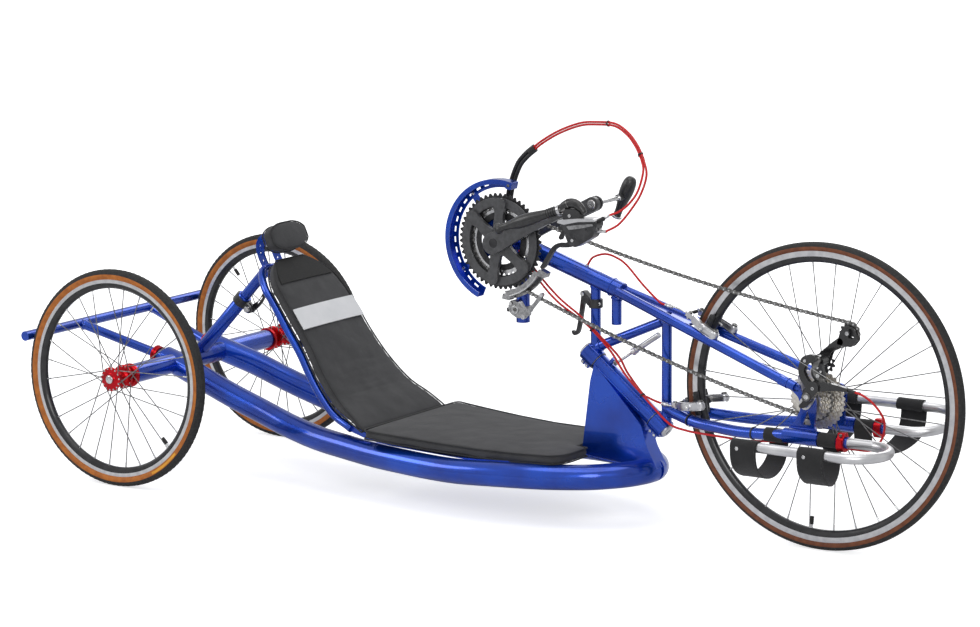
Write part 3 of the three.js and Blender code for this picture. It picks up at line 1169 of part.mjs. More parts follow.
// Rim brake planes, counted from the front hub: the pivot's bearing, its reach and how far it stands off
const frontHub = at(WHEELBASE, 0, FRONT_AXLE_Z);
function brakeFrame(bearingDegrees, reach, halfWidth) {
  const turn = radians(bearingDegrees);
  const outward = at(Math.cos(turn), 0, Math.sin(turn));
  const upward = at(Math.sin(turn), 0, -Math.cos(turn));
  return { outward, upward, reach, halfWidth, pivot: frontHub.clone().addScaledVector(outward, reach) };
}
const upperBrake = brakeFrame(UPPER_BRAKE_DEGREES, UPPER_BRAKE_REACH, UPPER_BRAKE_HALF_WIDTH);
const lowerBrake = brakeFrame(LOWER_BRAKE_DEGREES, LOWER_BRAKE_REACH, LOWER_BRAKE_HALF_WIDTH);
const brakeStud = (brake, side, stayLine) => {
  const pivot = brake.pivot.clone().setY(side * brake.halfWidth);
  const fromPivot = stayLine.map((p) => p.clone().sub(pivot));
  const misses = fromPivot.map((p) => p.clone().cross(brake.upward).length());
  const nearest = fromPivot[misses.indexOf(Math.min(...misses))];
  const root = pivot.clone().addScaledVector(brake.upward, nearest.dot(brake.upward));
  const shoulder = pivot.clone().addScaledVector(brake.upward, -BRAKE_ARM_THICKNESS / 2 - RUN_GAP);
  const top = pivot.clone().addScaledVector(brake.upward, BRAKE_ARM_THICKNESS / 2);
  return join(bar(root, shoulder, BRAKE_BOSS_RADIUS, 10), bar(root, top, BRAKE_PIN_RADIUS, 10));
};

// Dropout plate, from the lower tube up to the hub, with a window and a head that clears the axle
const dropoutFoot = [(FOOT_TUBE_REAR_X + FOOT_TUBE_FRONT_X) / 2, LOWER_STAY_Z + DROPOUT_FOOT_RISE];
const dropoutShoulder = [UPPER_STAY_END_X, UPPER_STAY_END_Z];
function dropout(side, gap = 0) {
  const inner = side * (HUB_SPACING / 2 - gap);
  const outer = side * (HUB_SPACING / 2 + DROPOUT_THICKNESS + gap);
  const axle = [frontHub.x, frontHub.z];
  return join(
    flatArm(dropoutFoot, axle, DROPOUT_FOOT_RADIUS + gap, DROPOUT_HEAD_RADIUS + gap, inner, outer),
    flatArm(axle, dropoutShoulder, DROPOUT_HEAD_RADIUS + gap, DROPOUT_WAIST / 2 + gap, inner, outer),
  );
}
const dropoutWindow = (side) => {
  const middle = [dropoutFoot[0] + (frontHub.x - dropoutFoot[0]) / 2, (dropoutFoot[1] + frontHub.z) / 2];
  const high = [middle[0] + DROPOUT_WAIST / 6, middle[1] + DROPOUT_WAIST / 3];
  return flatArm(middle, high, DROPOUT_WAIST / 4, DROPOUT_WAIST / 6, 0, side * HUB_SPACING);
};

// Lower stays: shares of the run to the foot tube, and of the width there for the width and the height
const LOWER_STAY_SHARES = [
  [0, 0.1, 0.02], [0.059, 0.24, 0], [0.292, 0.595, -0.06], [0.472, 0.714, -0.095], [0.655, 0.833, -0.107],
  [0.85, 0.94, -0.05], [1, 1, 0],
];
const footPoint = (x, side) => at(x, side * LOWER_STAY_Y, LOWER_STAY_Z);
const lowerStayRoute = (side) => [
  ...LOWER_STAY_SHARES.map(([alongShare, wideShare, riseShare]) => at(
    LOWER_STAY_START_X + alongShare * (FOOT_TUBE_REAR_X - LOWER_STAY_START_X),
    side * wideShare * LOWER_STAY_Y,
    LOWER_STAY_Z + riseShare * LOWER_STAY_Y,
  )),
  footPoint(FOOT_TUBE_FRONT_X, side),
];
const lowerStayLine = (side) => new THREE.CatmullRomCurve3(lowerStayRoute(side)).getSpacedPoints(ROUTE_SAMPLES);

// Post between the knuckles and the crown, with the brace back to the upper knuckle
const post = (gap = 0) => bar(at(POST_X, 0, headLower.z + KNUCKLE_RADIUS / 2), at(POST_X, 0, boomZ(POST_X + FRAME_TUBE_RADIUS)), FRAME_TUBE_RADIUS + gap, 14);
const brace = bar(at(CLAMP_TUBE_X, 0, BRACE_REAR_Z), at(POST_X, 0, BRACE_FRONT_Z), UPPER_STAY_RADIUS, 12);
const frontPost = cut(
  join(post(), brace, knuckle(headLower), knuckleEars(headLower, -1)),
  knuckleBore(headLower),
  knuckle(headUpper, FIT_GAP),
  bar(clampTubeFoot, boomPoint(CLAMP_TUBE_X), FRAME_TUBE_RADIUS + FIT_GAP, 14),
  stayBar(1, FIT_GAP),
  stayBar(-1, FIT_GAP),
  crownWeb(FIT_GAP),
);
add("front_post", frontPost, "blue");

for (const [name, side] of [["left", 1], ["right", -1]]) {
  const upper = cut(
    join(stayBar(side), brakeStud(upperBrake, side, upperStayLine(side))),
    boomTube(FIT_GAP),
    dropout(side, FIT_GAP),
  );
  add(`${name}_upper_stay`, upper, "blue");
  const axleHole = boss(frontHub.x, frontHub.z, AXLE_RADIUS + FIT_GAP, 0, side * HUB_SPACING, 14);
  const lower = cut(
    join(
      bentTube(lowerStayRoute(side), LOWER_STAY_RADIUS, 10, 7),
      bar(footPoint(FOOT_TUBE_REAR_X, side), footPoint(FOOT_TUBE_FRONT_X, side), FOOT_TUBE_RADIUS, 14),
      bar(footPoint(FOOT_TUBE_FRONT_X - OVERRUN, side), footPoint(LOWER_STAY_END_X, side), LOWER_STAY_RADIUS, 14),
      dropout(side),
      brakeStud(lowerBrake, side, lowerStayLine(side)),
    ),
    bar(footPoint(LOWER_STAY_END_X - LEG_INSERT - OVERRUN, side), footPoint(LOWER_STAY_END_X + OVERRUN, side), LEG_SPIGOT_RADIUS + RUN_GAP, 12),
    axleHole,
    dropoutWindow(side),
    knuckle(headLower, FIT_GAP),
    post(FIT_GAP),
    block(2 * WHEELBASE, LOWER_STAY_Y, WHEELBASE, at(WHEELBASE, side * (FIT_GAP - LOWER_STAY_Y) / 2, 0)),
  );
  add(`${name}_lower_stay`, lower, "blue");

  // Leg tube: inner run in the stay, bend in front, outer run back beside the foot
  const raise = side === 1 ? radians(LEFT_LEG_RAISE_DEGREES) : 0;
  const legPoint = (x, reach) => at(
    x, side * (LOWER_STAY_Y + reach * Math.cos(raise)), LOWER_STAY_Z + reach * Math.sin(raise),
  );
  const bend = Array.from({ length: LEG_BEND_STEPS + 1 }, (_, i) => {
    const turn = (Math.PI * i) / LEG_BEND_STEPS;
    return legPoint(LEG_BEND_X + LEG_BEND_RADIUS * Math.sin(turn), LEG_BEND_RADIUS * (1 - Math.cos(turn)));
  });
  const outerRun = 2 * LEG_BEND_RADIUS;
  const bentLeg = bentTube([
    legPoint(LOWER_STAY_END_X + FIT_GAP, 0), legPoint(LEG_BEND_X - LEG_TUBE_RADIUS, 0), ...bend,
    legPoint(LEG_BEND_X - LEG_TUBE_RADIUS, outerRun), legPoint(LEG_OUTER_END_X, outerRun),
  ], LEG_TUBE_RADIUS, 12, 12);
  const spigot = bar(
    legPoint(LOWER_STAY_END_X - LEG_INSERT, 0), legPoint(LOWER_STAY_END_X + LEG_TUBE_RADIUS, 0), LEG_SPIGOT_RADIUS, 10,
  );
  add(`${name}_leg_tube`, join(bentLeg, spigot), "silver");

  // Clamp that pinches the stay's end on the leg tube, with a slit ear above and below
  const clampX = [LEG_CLAMP_X, LEG_CLAMP_X + LEG_CLAMP_LENGTH];
  const clampMid = footPoint((clampX[0] + clampX[1]) / 2, side);
  const legClamp = cut(
    join(
      bar(footPoint(clampX[0], side), footPoint(clampX[1], side), LEG_CLAMP_RADIUS, 16),
      block(LEG_CLAMP_LENGTH, LEG_CLAMP_EAR_WIDTH, LEG_CLAMP_HEIGHT, clampMid),
    ),
    bar(footPoint(clampX[0] - OVERRUN, side), footPoint(clampX[1] + OVERRUN, side), LOWER_STAY_RADIUS + FIT_GAP, 14),
    block(
      LEG_CLAMP_LENGTH + OVERRUN, FIT_GAP * OVERRUN, LEG_CLAMP_HEIGHT,
      clampMid.clone().setZ(clampMid.z + LEG_CLAMP_HEIGHT / 2),
    ),
  );
  add(`${name}_leg_clamp`, legClamp, "red");

  // Calf slings: a loop round each tube and a strap hanging between them
  for (const [place, outerX, innerX] of [
    ["rear", REAR_SLING_OUTER_X, REAR_SLING_INNER_X], ["front", FRONT_SLING_OUTER_X, FRONT_SLING_INNER_X],
  ]) {
    const innerRadius = LOWER_STAY_RADIUS + SLING_GAP;
    const outerRadius = LEG_TUBE_RADIUS + SLING_GAP;
    const outerCentre = legPoint(outerX, outerRun);
    const onStay = (x) => (x > FOOT_TUBE_REAR_X ? footPoint(x, side) : pointAt(lowerStayLine(side), x));
    const onLeg = (x) => legPoint(x, outerRun);
    const stayHere = onStay(innerX);
    const loop = (line, x, width, radius) => bar(line(x - width / 2), line(x + width / 2), radius, 12);
    const rings = [
      loop(onStay, innerX, SLING_INNER_WIDTH, innerRadius + SLING_THICKNESS),
      loop(onLeg, outerX, SLING_OUTER_WIDTH, outerRadius + SLING_THICKNESS),
    ];
    const holes = [
      loop(onStay, innerX, SLING_INNER_WIDTH + RUN_GAP, innerRadius),
      loop(onLeg, outerX, SLING_OUTER_WIDTH + RUN_GAP, outerRadius),
    ];
    const strap = cushionSolid(1, SLING_STEPS, (u, v, layer) => {
      const wide = SLING_OUTER_WIDTH + v * (SLING_INNER_WIDTH - SLING_OUTER_WIDTH);
      const x = outerCentre.x + v * (stayHere.x - outerCentre.x) + (u - 0.5) * wide;
      const reachOut = outerCentre.y + side * (outerRadius - SLING_SINK);
      const reachIn = stayHere.y + side * (innerRadius + SLING_THICKNESS - SLING_SINK);
      const middle = (reachOut + reachIn) / 2;
      const half = (reachOut - reachIn) / 2 + side * (layer === 0 ? 0 : SLING_THICKNESS);
      const turn = Math.PI * v;
      const level = outerCentre.z + v * (stayHere.z - outerCentre.z);
      const sag = (SLING_DROP + (layer === 0 ? 0 : SLING_THICKNESS)) * Math.sin(turn) ** SLING_SHAPE_POWER;
      const y = middle + half * Math.cos(turn);
      return side === 1 ? at(x, y, level - sag) : at(2 * (outerCentre.x + v * (stayHere.x - outerCentre.x)) - x, y, level - sag);
    });
    add(`${name}_${place}_sling`, cut(join(strap, ...rings), ...holes), "webbing");
  }
}

// Front axle with its spacers, end nuts outside the dropouts
const axleEnd = HUB_SPACING / 2 + DROPOUT_THICKNESS + FIT_GAP;
const hubFace = HUB_SPACING / 2 - FIT_GAP;
const cassetteOuterY = COG_FIRST_Y - (COG_SHARES.length - 1) * COG_SPACING - COG_SPACING / 2;
const frontAxle = join(
  boss(frontHub.x, frontHub.z, AXLE_RADIUS, -axleEnd - FRONT_AXLE_END, axleEnd + FRONT_AXLE_END, 14),
  boss(frontHub.x, frontHub.z, STUB_CAP_RADIUS, axleEnd, axleEnd + FRONT_AXLE_END / 2, 12),
  boss(frontHub.x, frontHub.z, STUB_CAP_RADIUS, -axleEnd, -axleEnd - FRONT_AXLE_END / 2, 12),
  boss(frontHub.x, frontHub.z, STUB_CAP_RADIUS, FRONT_HUB_LEFT_END_Y + RUN_GAP, hubFace, 12),
  boss(frontHub.x, frontHub.z, STUB_CAP_RADIUS, cassetteOuterY - RUN_GAP, -hubFace, 12),
);
add("front_axle", frontAxle, "steel");

// Cassette: toothed cogs on one body, the chain running on the one in the chain's plane
const cogRadius = (share) => share * COG_LARGE_RADIUS;
const cassette = cut(
  join(
    boss(frontHub.x, frontHub.z, COG_BODY_RADIUS, FRONT_HUB_RIGHT_END_Y - RUN_GAP, cassetteOuterY, 12),
    ...COG_SHARES.map((share, i) => {
      const y = COG_FIRST_Y - i * COG_SPACING;
      return boss(frontHub.x, frontHub.z, cogRadius(share), y - COG_THICKNESS / 2, y + COG_THICKNESS / 2, COG_FACETS);
    }),
  ),
  boss(frontHub.x, frontHub.z, AXLE_RADIUS + RUN_GAP, 0, -HUB_SPACING, 14),
);
add("cassette", cassette, "silver");

// Chain: one closed band of channel section on the ring, the cog and the two pulleys
const chainCogRadius = cogRadius(COG_SHARES[COG_CHAIN_PLACE]) - TOOTH_HEIGHT;
const chainY = COG_FIRST_Y - COG_CHAIN_PLACE * COG_SPACING;
const chainWheels = [
  { x: CRANK_X, z: CRANK_Z, radius: RING_PITCH_RADIUS, sense: 1 },
  { x: frontHub.x, z: frontHub.z, radius: chainCogRadius, sense: 1 },
  { x: GUIDE_PULLEY_X, z: GUIDE_PULLEY_Z, radius: PULLEY_PITCH_RADIUS, sense: -1 },
  { x: TENSION_PULLEY_X, z: TENSION_PULLEY_Z, radius: PULLEY_PITCH_RADIUS, sense: 1 },
];

function runDirection(from, to) {
  const dx = to.x - from.x;
  const dz = to.z - from.z;
  return Math.atan2(dz, dx) + Math.asin((from.sense * from.radius - to.sense * to.radius) / Math.hypot(dx, dz));
}

function chainRoute() {
  const route = [];
  chainWheels.forEach((wheel, i) => {
    const before = chainWheels[(i + chainWheels.length - 1) % chainWheels.length];
    const after = chainWheels[(i + 1) % chainWheels.length];
    const enter = runDirection(before, wheel);
    let leave = runDirection(wheel, after);
    while (wheel.sense * (leave - enter) < 0) leave += wheel.sense * 2 * Math.PI;
    const steps = Math.max(2, Math.ceil(Math.abs(leave - enter) / radians(CHAIN_STEP_DEGREES)));
    for (let step = 0; step <= steps; step++) {
      const heading = enter + ((leave - enter) * step) / steps;
      const side = at(Math.sin(heading), 0, -Math.cos(heading));
      const place = at(wheel.x, 0, wheel.z).addScaledVector(side, wheel.sense * wheel.radius);
      route.push({ place, side });
    }
  });
  return route;
}

function chainSolid() {
  const half = CHAIN_HEIGHT / 2;
  const wide = CHAIN_WIDTH / 2;
  const section = [
    [-half, -wide], [half, -wide], [half, wide], [-half, wide],
    [-half, wide - CHAIN_PLATE], [half - CHAIN_PLATE, wide - CHAIN_PLATE],
    [half - CHAIN_PLATE, CHAIN_PLATE - wide], [-half, CHAIN_PLATE - wide],
  ];
  const route = chainRoute();
  const vertices = [];
  const faces = [];
  route.forEach(({ place, side }, i) => {
    const next = ((i + 1) % route.length) * section.length;
    section.forEach(([out, across], j) => {
      const point = place.clone().addScaledVector(side, out);
      vertices.push(point.x, chainY + across, point.z);
      const here = i * section.length;
      const other = (j + 1) % section.length;
      faces.push(here + j, next + other, next + j, here + j, here + other, next + other);
    });
  });
  const geometry = new THREE.BufferGeometry();
  geometry.setAttribute("position", new THREE.Float32BufferAttribute(vertices, 3));
  geometry.setIndex(faces);
  return solidOf(geometry);
}
add("chain", chainSolid(), "steel");

// Right crank with its spider, both rings, the spindle and the grip's pin
const crankTurn = radians(CRANK_ANGLE_DEGREES);
const crankTip = [CRANK_X + CRANK_LENGTH * Math.cos(crankTurn), CRANK_Z + CRANK_LENGTH * Math.sin(crankTurn)];
const crankAt = [CRANK_X, CRANK_Z];
const ringPlate = (radius, band, y, sides) => cut(
  boss(CRANK_X, CRANK_Z, radius, y - RING_THICKNESS / 2, y + RING_THICKNESS / 2, sides),
  boss(CRANK_X, CRANK_Z, radius - band, y - RING_THICKNESS, y + RING_THICKNESS, sides / 2),
);
const spiderY = [chainY + RING_SPACING, chainY - SPIDER_THICKNESS / 2];
const spiderArms = Array.from({ length: SPIDER_ARMS }, (_, i) => {
  const turn = crankTurn + (2 * Math.PI * (i + 0.5)) / SPIDER_ARMS;
  const end = [CRANK_X + SPIDER_REACH * Math.cos(turn), CRANK_Z + SPIDER_REACH * Math.sin(turn)];
  return flatArm(crankAt, end, SPIDER_ARM_WIDTH / 2, SPIDER_ARM_WIDTH / 4, ...spiderY, 4);
});
const crankArm = (side) => flatArm(
  crankAt, crankTip, CRANK_BOSS_RADIUS, CRANK_TIP_RADIUS, side * CRANK_INNER_Y, side * (CRANK_INNER_Y + CRANK_THICKNESS),
);
const gripPin = (side) => boss(...crankTip, PEDAL_PIN_RADIUS, side * CRANK_INNER_Y, side * (GRIP_Y + PEDAL_PIN_RADIUS), 10);
const spindleStart = -CRANK_INNER_Y;
const crankset = join(
  ringPlate(RING_PITCH_RADIUS + TOOTH_HEIGHT, RING_BAND, chainY, RING_FACETS),
  ringPlate(INNER_RING_RADIUS, INNER_RING_BAND, chainY + RING_SPACING, RING_FACETS / 2),
  boss(CRANK_X, CRANK_Z, SPIDER_HUB_RADIUS, -BRACKET_SHELL_LENGTH / 2 - RUN_GAP, spindleStart - CRANK_THICKNESS / 2, 18),
  boss(CRANK_X, CRANK_Z, SPINDLE_RADIUS, spindleStart, CRANK_INNER_Y + CRANK_THICKNESS / 2, 16),
  ...spiderArms,
  crankArm(-1),
  gripPin(-1),
);
add("crankset", crankset, "carbon");
const leftCrank = cut(
  join(crankArm(1), gripPin(1), boss(CRANK_X, CRANK_Z, CRANK_BOSS_RADIUS, BRACKET_SHELL_LENGTH / 2 + RUN_GAP, CRANK_INNER_Y + OVERRUN, 16)),
  boss(CRANK_X, CRANK_Z, SPINDLE_RADIUS + FIT_GAP, 0, CRANK_INNER_Y + CRANK_THICKNESS / 2 + FIT_GAP, 16),
);
add("left_crank", leftCrank, "carbon");

// Chain guard: a channel bent round the rear of the ring, held on the bearing shell by two flat arms
const guardMiddle = chainY;
const guardFaces = [guardMiddle + GUARD_WIDTH / 2, guardMiddle - GUARD_WIDTH / 2];
const guardTurns = Array.from({ length: GUARD_STEPS + 1 }, (_, i) => radians(GUARD_START_DEGREES + ((GUARD_END_DEGREES - GUARD_START_DEGREES) * i) / GUARD_STEPS));
const onRing = (turn, radius) => [CRANK_X + radius * Math.cos(turn), CRANK_Z + radius * Math.sin(turn)];
const arcBand = (turns, inner, outer, fromY, toY) => sidePlate(
  [...turns.map((turn) => onRing(turn, outer)), ...turns.map((turn) => onRing(turn, inner)).reverse()], fromY, toY,
);
const guardInner = GUARD_OUTER_RADIUS - GUARD_DEPTH;
const guardFlange = (face, inward) => arcBand(guardTurns, guardInner, GUARD_OUTER_RADIUS, face, face + inward * GUARD_WALL);
const guardArms = GUARD_ARM_DEGREES.map((degrees) => flatArm(
  crankAt, onRing(radians(degrees), guardInner + GUARD_WALL), GUARD_ARM_WIDTH / 2 + GUARD_WALL, GUARD_ARM_WIDTH / 2,
  guardFaces[0], guardFaces[0] - GUARD_WALL, 4,
));
const chainGuard = cut(
  join(
    arcBand(guardTurns, GUARD_OUTER_RADIUS - GUARD_WALL, GUARD_OUTER_RADIUS, ...guardFaces),
    guardFlange(guardFaces[0], -1),
    guardFlange(guardFaces[1], 1),
    boss(CRANK_X, CRANK_Z, BRACKET_SHELL_RADIUS + GUARD_ARM_WIDTH / 3, guardFaces[0], guardFaces[0] - GUARD_WALL, 20),
    ...guardArms,
  ),
  boss(CRANK_X, CRANK_Z, BRACKET_SHELL_RADIUS + FIT_GAP, 0, -BRACKET_SHELL_LENGTH, 20),
);
add("chain_guard", chainGuard, "blue");

// Rear derailleur: hanger arm, body, and a cage that carries the two pulleys
const guidePulley = [GUIDE_PULLEY_X, GUIDE_PULLEY_Z];
const tensionPulley = [TENSION_PULLEY_X, TENSION_PULLEY_Z];
const cageFace = (direction) => chainY + direction * (CAGE_WIDTH / 2);
const cagePlate = (direction) => flatArm(
  guidePulley, tensionPulley, CAGE_PLATE_RADIUS, CAGE_PLATE_RADIUS,
  cageFace(direction), cageFace(direction) + direction * CAGE_PLATE_THICKNESS,
);
const pulleyRadius = PULLEY_PITCH_RADIUS - CHAIN_HEIGHT / 2 - FIT_GAP - RUN_GAP;
const pulleys = [guidePulley, tensionPulley].flatMap((centre) => [
  boss(...centre, pulleyRadius, chainY - CHAIN_PLATE, chainY + CHAIN_PLATE, 14),
  boss(...centre, PULLEY_PIN_RADIUS, cageFace(-1) - CAGE_PLATE_THICKNESS, cageFace(1) + CAGE_PLATE_THICKNESS, 10),
]);
const mechY = HANGER_Y - MECH_KNUCKLE_RADIUS / 2;
const mechRear = at(MECH_REAR_X, mechY, MECH_REAR_Z);
const rearDerailleur = join(
  cagePlate(1), cagePlate(-1), ...pulleys,
  boss(HANGER_X, HANGER_Z, MECH_KNUCKLE_RADIUS, HANGER_Y, HANGER_Y - MECH_KNUCKLE_RADIUS, 14),
  boss(HANGER_X, HANGER_Z, MECH_BODY_RADIUS, -HUB_SPACING / 2 - DROPOUT_THICKNESS - FIT_GAP, HANGER_Y, 12),
  bar(at(HANGER_X, mechY, HANGER_Z), mechRear, MECH_BODY_RADIUS, 8),
  bar(mechRear, at(GUIDE_PULLEY_X, HANGER_Y + MECH_BODY_RADIUS, GUIDE_PULLEY_Z), MECH_BODY_RADIUS, 8),
  boss(...guidePulley, MECH_KNUCKLE_RADIUS, cageFace(-1), HANGER_Y, 14),
);
add("rear_derailleur", rearDerailleur, "black");

// Front derailleur: band on the cable post, body, and a cage round the chain
const cageTurns = Array.from({ length: FRONT_MECH_STEPS + 1 }, (_, i) => radians(FRONT_MECH_START_DEGREES + ((FRONT_MECH_END_DEGREES - FRONT_MECH_START_DEGREES) * i) / FRONT_MECH_STEPS));
const mechPlate = (direction) => arcBand(
  cageTurns, FRONT_MECH_INNER_RADIUS, FRONT_MECH_OUTER_RADIUS,
  chainY + direction * FRONT_MECH_HALF_WIDTH, chainY + direction * (FRONT_MECH_HALF_WIDTH + CAGE_PLATE_THICKNESS),
);
const mechBridge = arcBand(
  cageTurns.slice(-3), FRONT_MECH_OUTER_RADIUS - CAGE_PLATE_THICKNESS, FRONT_MECH_OUTER_RADIUS,
  chainY - FRONT_MECH_HALF_WIDTH, chainY + FRONT_MECH_HALF_WIDTH,
);
const bandLow = at(CABLE_POST_X, 0, FRONT_MECH_BAND_Z - FRONT_MECH_BAND_HEIGHT / 2);
const bandHigh = at(CABLE_POST_X, 0, FRONT_MECH_BAND_Z + FRONT_MECH_BAND_HEIGHT / 2);
const mechRoot = onRing(radians(FRONT_MECH_BODY_DEGREES), FRONT_MECH_OUTER_RADIUS - FRONT_MECH_BAND_WALL);
const mechInnerY = chainY + FRONT_MECH_HALF_WIDTH;
const frontDerailleur = cut(
  join(
    mechPlate(1), mechPlate(-1), mechBridge,
    bar(bandLow, bandHigh, CABLE_POST_RADIUS + FRONT_MECH_BAND_WALL, 16),
    bar(at(CABLE_POST_X, -CABLE_POST_RADIUS, FRONT_MECH_BAND_Z), at(mechRoot[0], mechInnerY + FRONT_MECH_BAND_HEIGHT / 2, mechRoot[1]), FRONT_MECH_BAND_HEIGHT / 2, 10),
  ),
  bar(bandLow.clone().setZ(CABLE_POST_END_Z), bandHigh.clone().setZ(CRANK_Z), CABLE_POST_RADIUS + FIT_GAP, 14),
);
add("front_derailleur", frontDerailleur, "silver");

// Brake arms, each in its own frame: x outward from the hub, y across, z along the pivot
for (const [place, brake] of [["upper", upperBrake], ["lower", lowerBrake]]) {
  for (const [name, side] of [["left", 1], ["right", -1]]) {
    const group = new THREE.Group();
    const across = at(0, 1, 0);
    const basis = new THREE.Matrix4().makeBasis(brake.outward, across, brake.upward.clone().negate());
    group.quaternion.setFromRotationMatrix(basis);
    group.position.set(brake.pivot.x, side * brake.halfWidth, brake.pivot.z);
    handcycle.add(group);
    const padReach = FRONT_RIM_SEAT_RADIUS - BRAKE_TRACK_INSET - brake.reach;
    const tipY = side * (BRAKE_TIP_Y - brake.halfWidth);
    const padInner = side * (FRONT_RIM_WIDTH / 2 + BRAKE_PAD_GAP - brake.halfWidth);
    const padOuter = padInner + side * BRAKE_PAD_THICKNESS;
    const thick = BRAKE_ARM_THICKNESS / 2;
    const arm = cut(
      join(
        bar(at(0, 0, -thick), at(0, 0, thick), BRAKE_BOSS_RADIUS, 14),
        taperedPlank(at(0, 0, 0), at(BRAKE_ARM_LENGTH, tipY, 0), BRAKE_ARM_WIDTH, BRAKE_ARM_THICKNESS),
        bar(at(padReach, 0, 0), at(padReach, padInner + side * thick, 0), BRAKE_PIN_RADIUS, 8),
        block(BRAKE_PAD_HEIGHT, BRAKE_PAD_THICKNESS, BRAKE_PAD_LENGTH, at(padReach, (padInner + padOuter) / 2, 0)),
      ),
      bar(at(0, 0, -BRAKE_ARM_THICKNESS), at(0, 0, BRAKE_ARM_THICKNESS), BRAKE_PIN_RADIUS + RUN_GAP, 10),
    );
    add(`${place}_${name}_brake_arm`, arm, "silver", group);
  }
}

// Steering damper: an eye on a pin ahead of the head tube, and a rod into its cylinder
const damperEnd = at(DAMPER_END_X, 0, DAMPER_END_Z);
const damperAxis = damperEnd.clone().sub(damperEye).normalize();
const onDamper = (reach) => damperEye.clone().addScaledVector(damperAxis, reach);
const damper = cut(
  join(
    bar(onHead(damperEye, -DAMPER_EYE_RADIUS / 2), onHead(damperEye, DAMPER_EYE_RADIUS / 2), DAMPER_EYE_RADIUS, 12),
    bar(onDamper(DAMPER_EYE_RADIUS / 2), onDamper(DAMPER_ROD_LENGTH), DAMPER_ROD_RADIUS, 8),
    bar(onDamper(DAMPER_ROD_LENGTH - DAMPER_NUT_LENGTH), onDamper(DAMPER_ROD_LENGTH), DAMPER_NUT_RADIUS, 6),
    bar(onDamper(DAMPER_ROD_LENGTH - OVERRUN / 2), damperEnd, DAMPER_BODY_RADIUS, 12),
  ),
  bar(onHead(damperEye, -DAMPER_EYE_RADIUS), onHead(damperEye, DAMPER_EYE_RADIUS), DAMPER_PIN_RADIUS + RUN_GAP, 10),
);
add("steering_damper", damper, "silver");

// Left grip, upright on its pin
const gripAt = at(crankTip[0], 0, crankTip[1]);
const gripLine = (degrees) => at(Math.cos(radians(degrees)), 0, Math.sin(radians(degrees)));
const onGrip = (degrees, reach, side) => gripAt.clone().addScaledVector(gripLine(degrees), reach).setY(side * GRIP_Y);
function gripBody(degrees, side, lengthShares, radii) {
  const outline = lengthShares.map((share, i) => new THREE.Vector2(radii[i], share * GRIP_LENGTH));
  const geometry = new THREE.LatheGeometry(outline, 12);
  geometry.applyQuaternion(new THREE.Quaternion().setFromUnitVectors(at(0, 1, 0), gripLine(degrees)));
  const middle = onGrip(degrees, 0, side);
  geometry.translate(middle.x, middle.y, middle.z);
  return solidOf(geometry);
}
const gripBoss = (side) => boss(...crankTip, GRIP_SOCKET_RADIUS, side * (GRIP_Y - GRIP_RADIUS - GRIP_TIP_RADIUS), side * GRIP_Y, 12);
const gripBore = (side) => boss(...crankTip, PEDAL_PIN_RADIUS + RUN_GAP, 0, side * (GRIP_Y + PEDAL_PIN_RADIUS + RUN_GAP), 12);
const leftGrip = cut(
  join(
    gripBody(
      LEFT_GRIP_DEGREES, 1, [-0.36, -0.36, -0.33, -0.33, -0.1, 0.1, 0.3, 0.34, 0.34],
      [0, GRIP_RADIUS, GRIP_RADIUS, GRIP_TIP_RADIUS, GRIP_SOCKET_RADIUS, GRIP_RADIUS, GRIP_TIP_RADIUS, GRIP_TIP_RADIUS / 2, 0],
    ),
    gripBoss(1),
  ),
  gripBore(1),
);
add("left_grip", leftGrip, "webbing");

// Right grip, long and low, with a head that carries the controls
const gripHead = (gap = 0) => bar(
  onGrip(RIGHT_GRIP_DEGREES, 0.6 * GRIP_LENGTH, -1), at(HEAD_KNOB_X, -GRIP_Y, HEAD_KNOB_Z), GRIP_RADIUS + gap, 14, GRIP_SOCKET_RADIUS + gap,
);
const rightGrip = cut(
  join(
    gripBody(
      RIGHT_GRIP_DEGREES, -1, [-0.58, -0.58, -0.46, -0.1, 0.3, 0.62, 0.62],
      [0, GRIP_TIP_RADIUS / 2, GRIP_SOCKET_RADIUS, GRIP_RADIUS, GRIP_RADIUS, GRIP_TIP_RADIUS, 0],
    ),
    gripHead(),
    gripBoss(-1),
  ),
  gripBore(-1),
);
add("right_grip", rightGrip, "webbing");

// Control pod under the grip's head: shifter body with the brake lever's fork
const podPoint = (alongShare, riseShare) => [POD_X + alongShare * POD_LENGTH, POD_Z + riseShare * POD_HEIGHT];
const podFaces = [-GRIP_Y + POD_WIDTH / 2, -GRIP_Y - POD_WIDTH / 2];
const leverPivot = podPoint(0.16, -0.55);
const leverFaces = [-GRIP_Y + BRAKE_LEVER_THICKNESS / 2, -GRIP_Y - BRAKE_LEVER_THICKNESS / 2];
const leverSlot = block(
  POD_LENGTH / 2, BRAKE_LEVER_THICKNESS + 2 * RUN_GAP, POD_HEIGHT * 0.9,
  at(leverPivot[0] - POD_LENGTH / 4 + BRAKE_LEVER_WIDTH, -GRIP_Y, leverPivot[1]),
);
const POD_OUTLINE_SHARES = [[-0.1, 0.62], [1, 0.85], [1.06, 0.1], [0.36, -0.9], [0.05, -0.75]];
const ADJUSTER_SHARES = [[[0.9, 0.6], [1.34, 1]], [[0.9, 0.2], [1.2, 0.05]]];
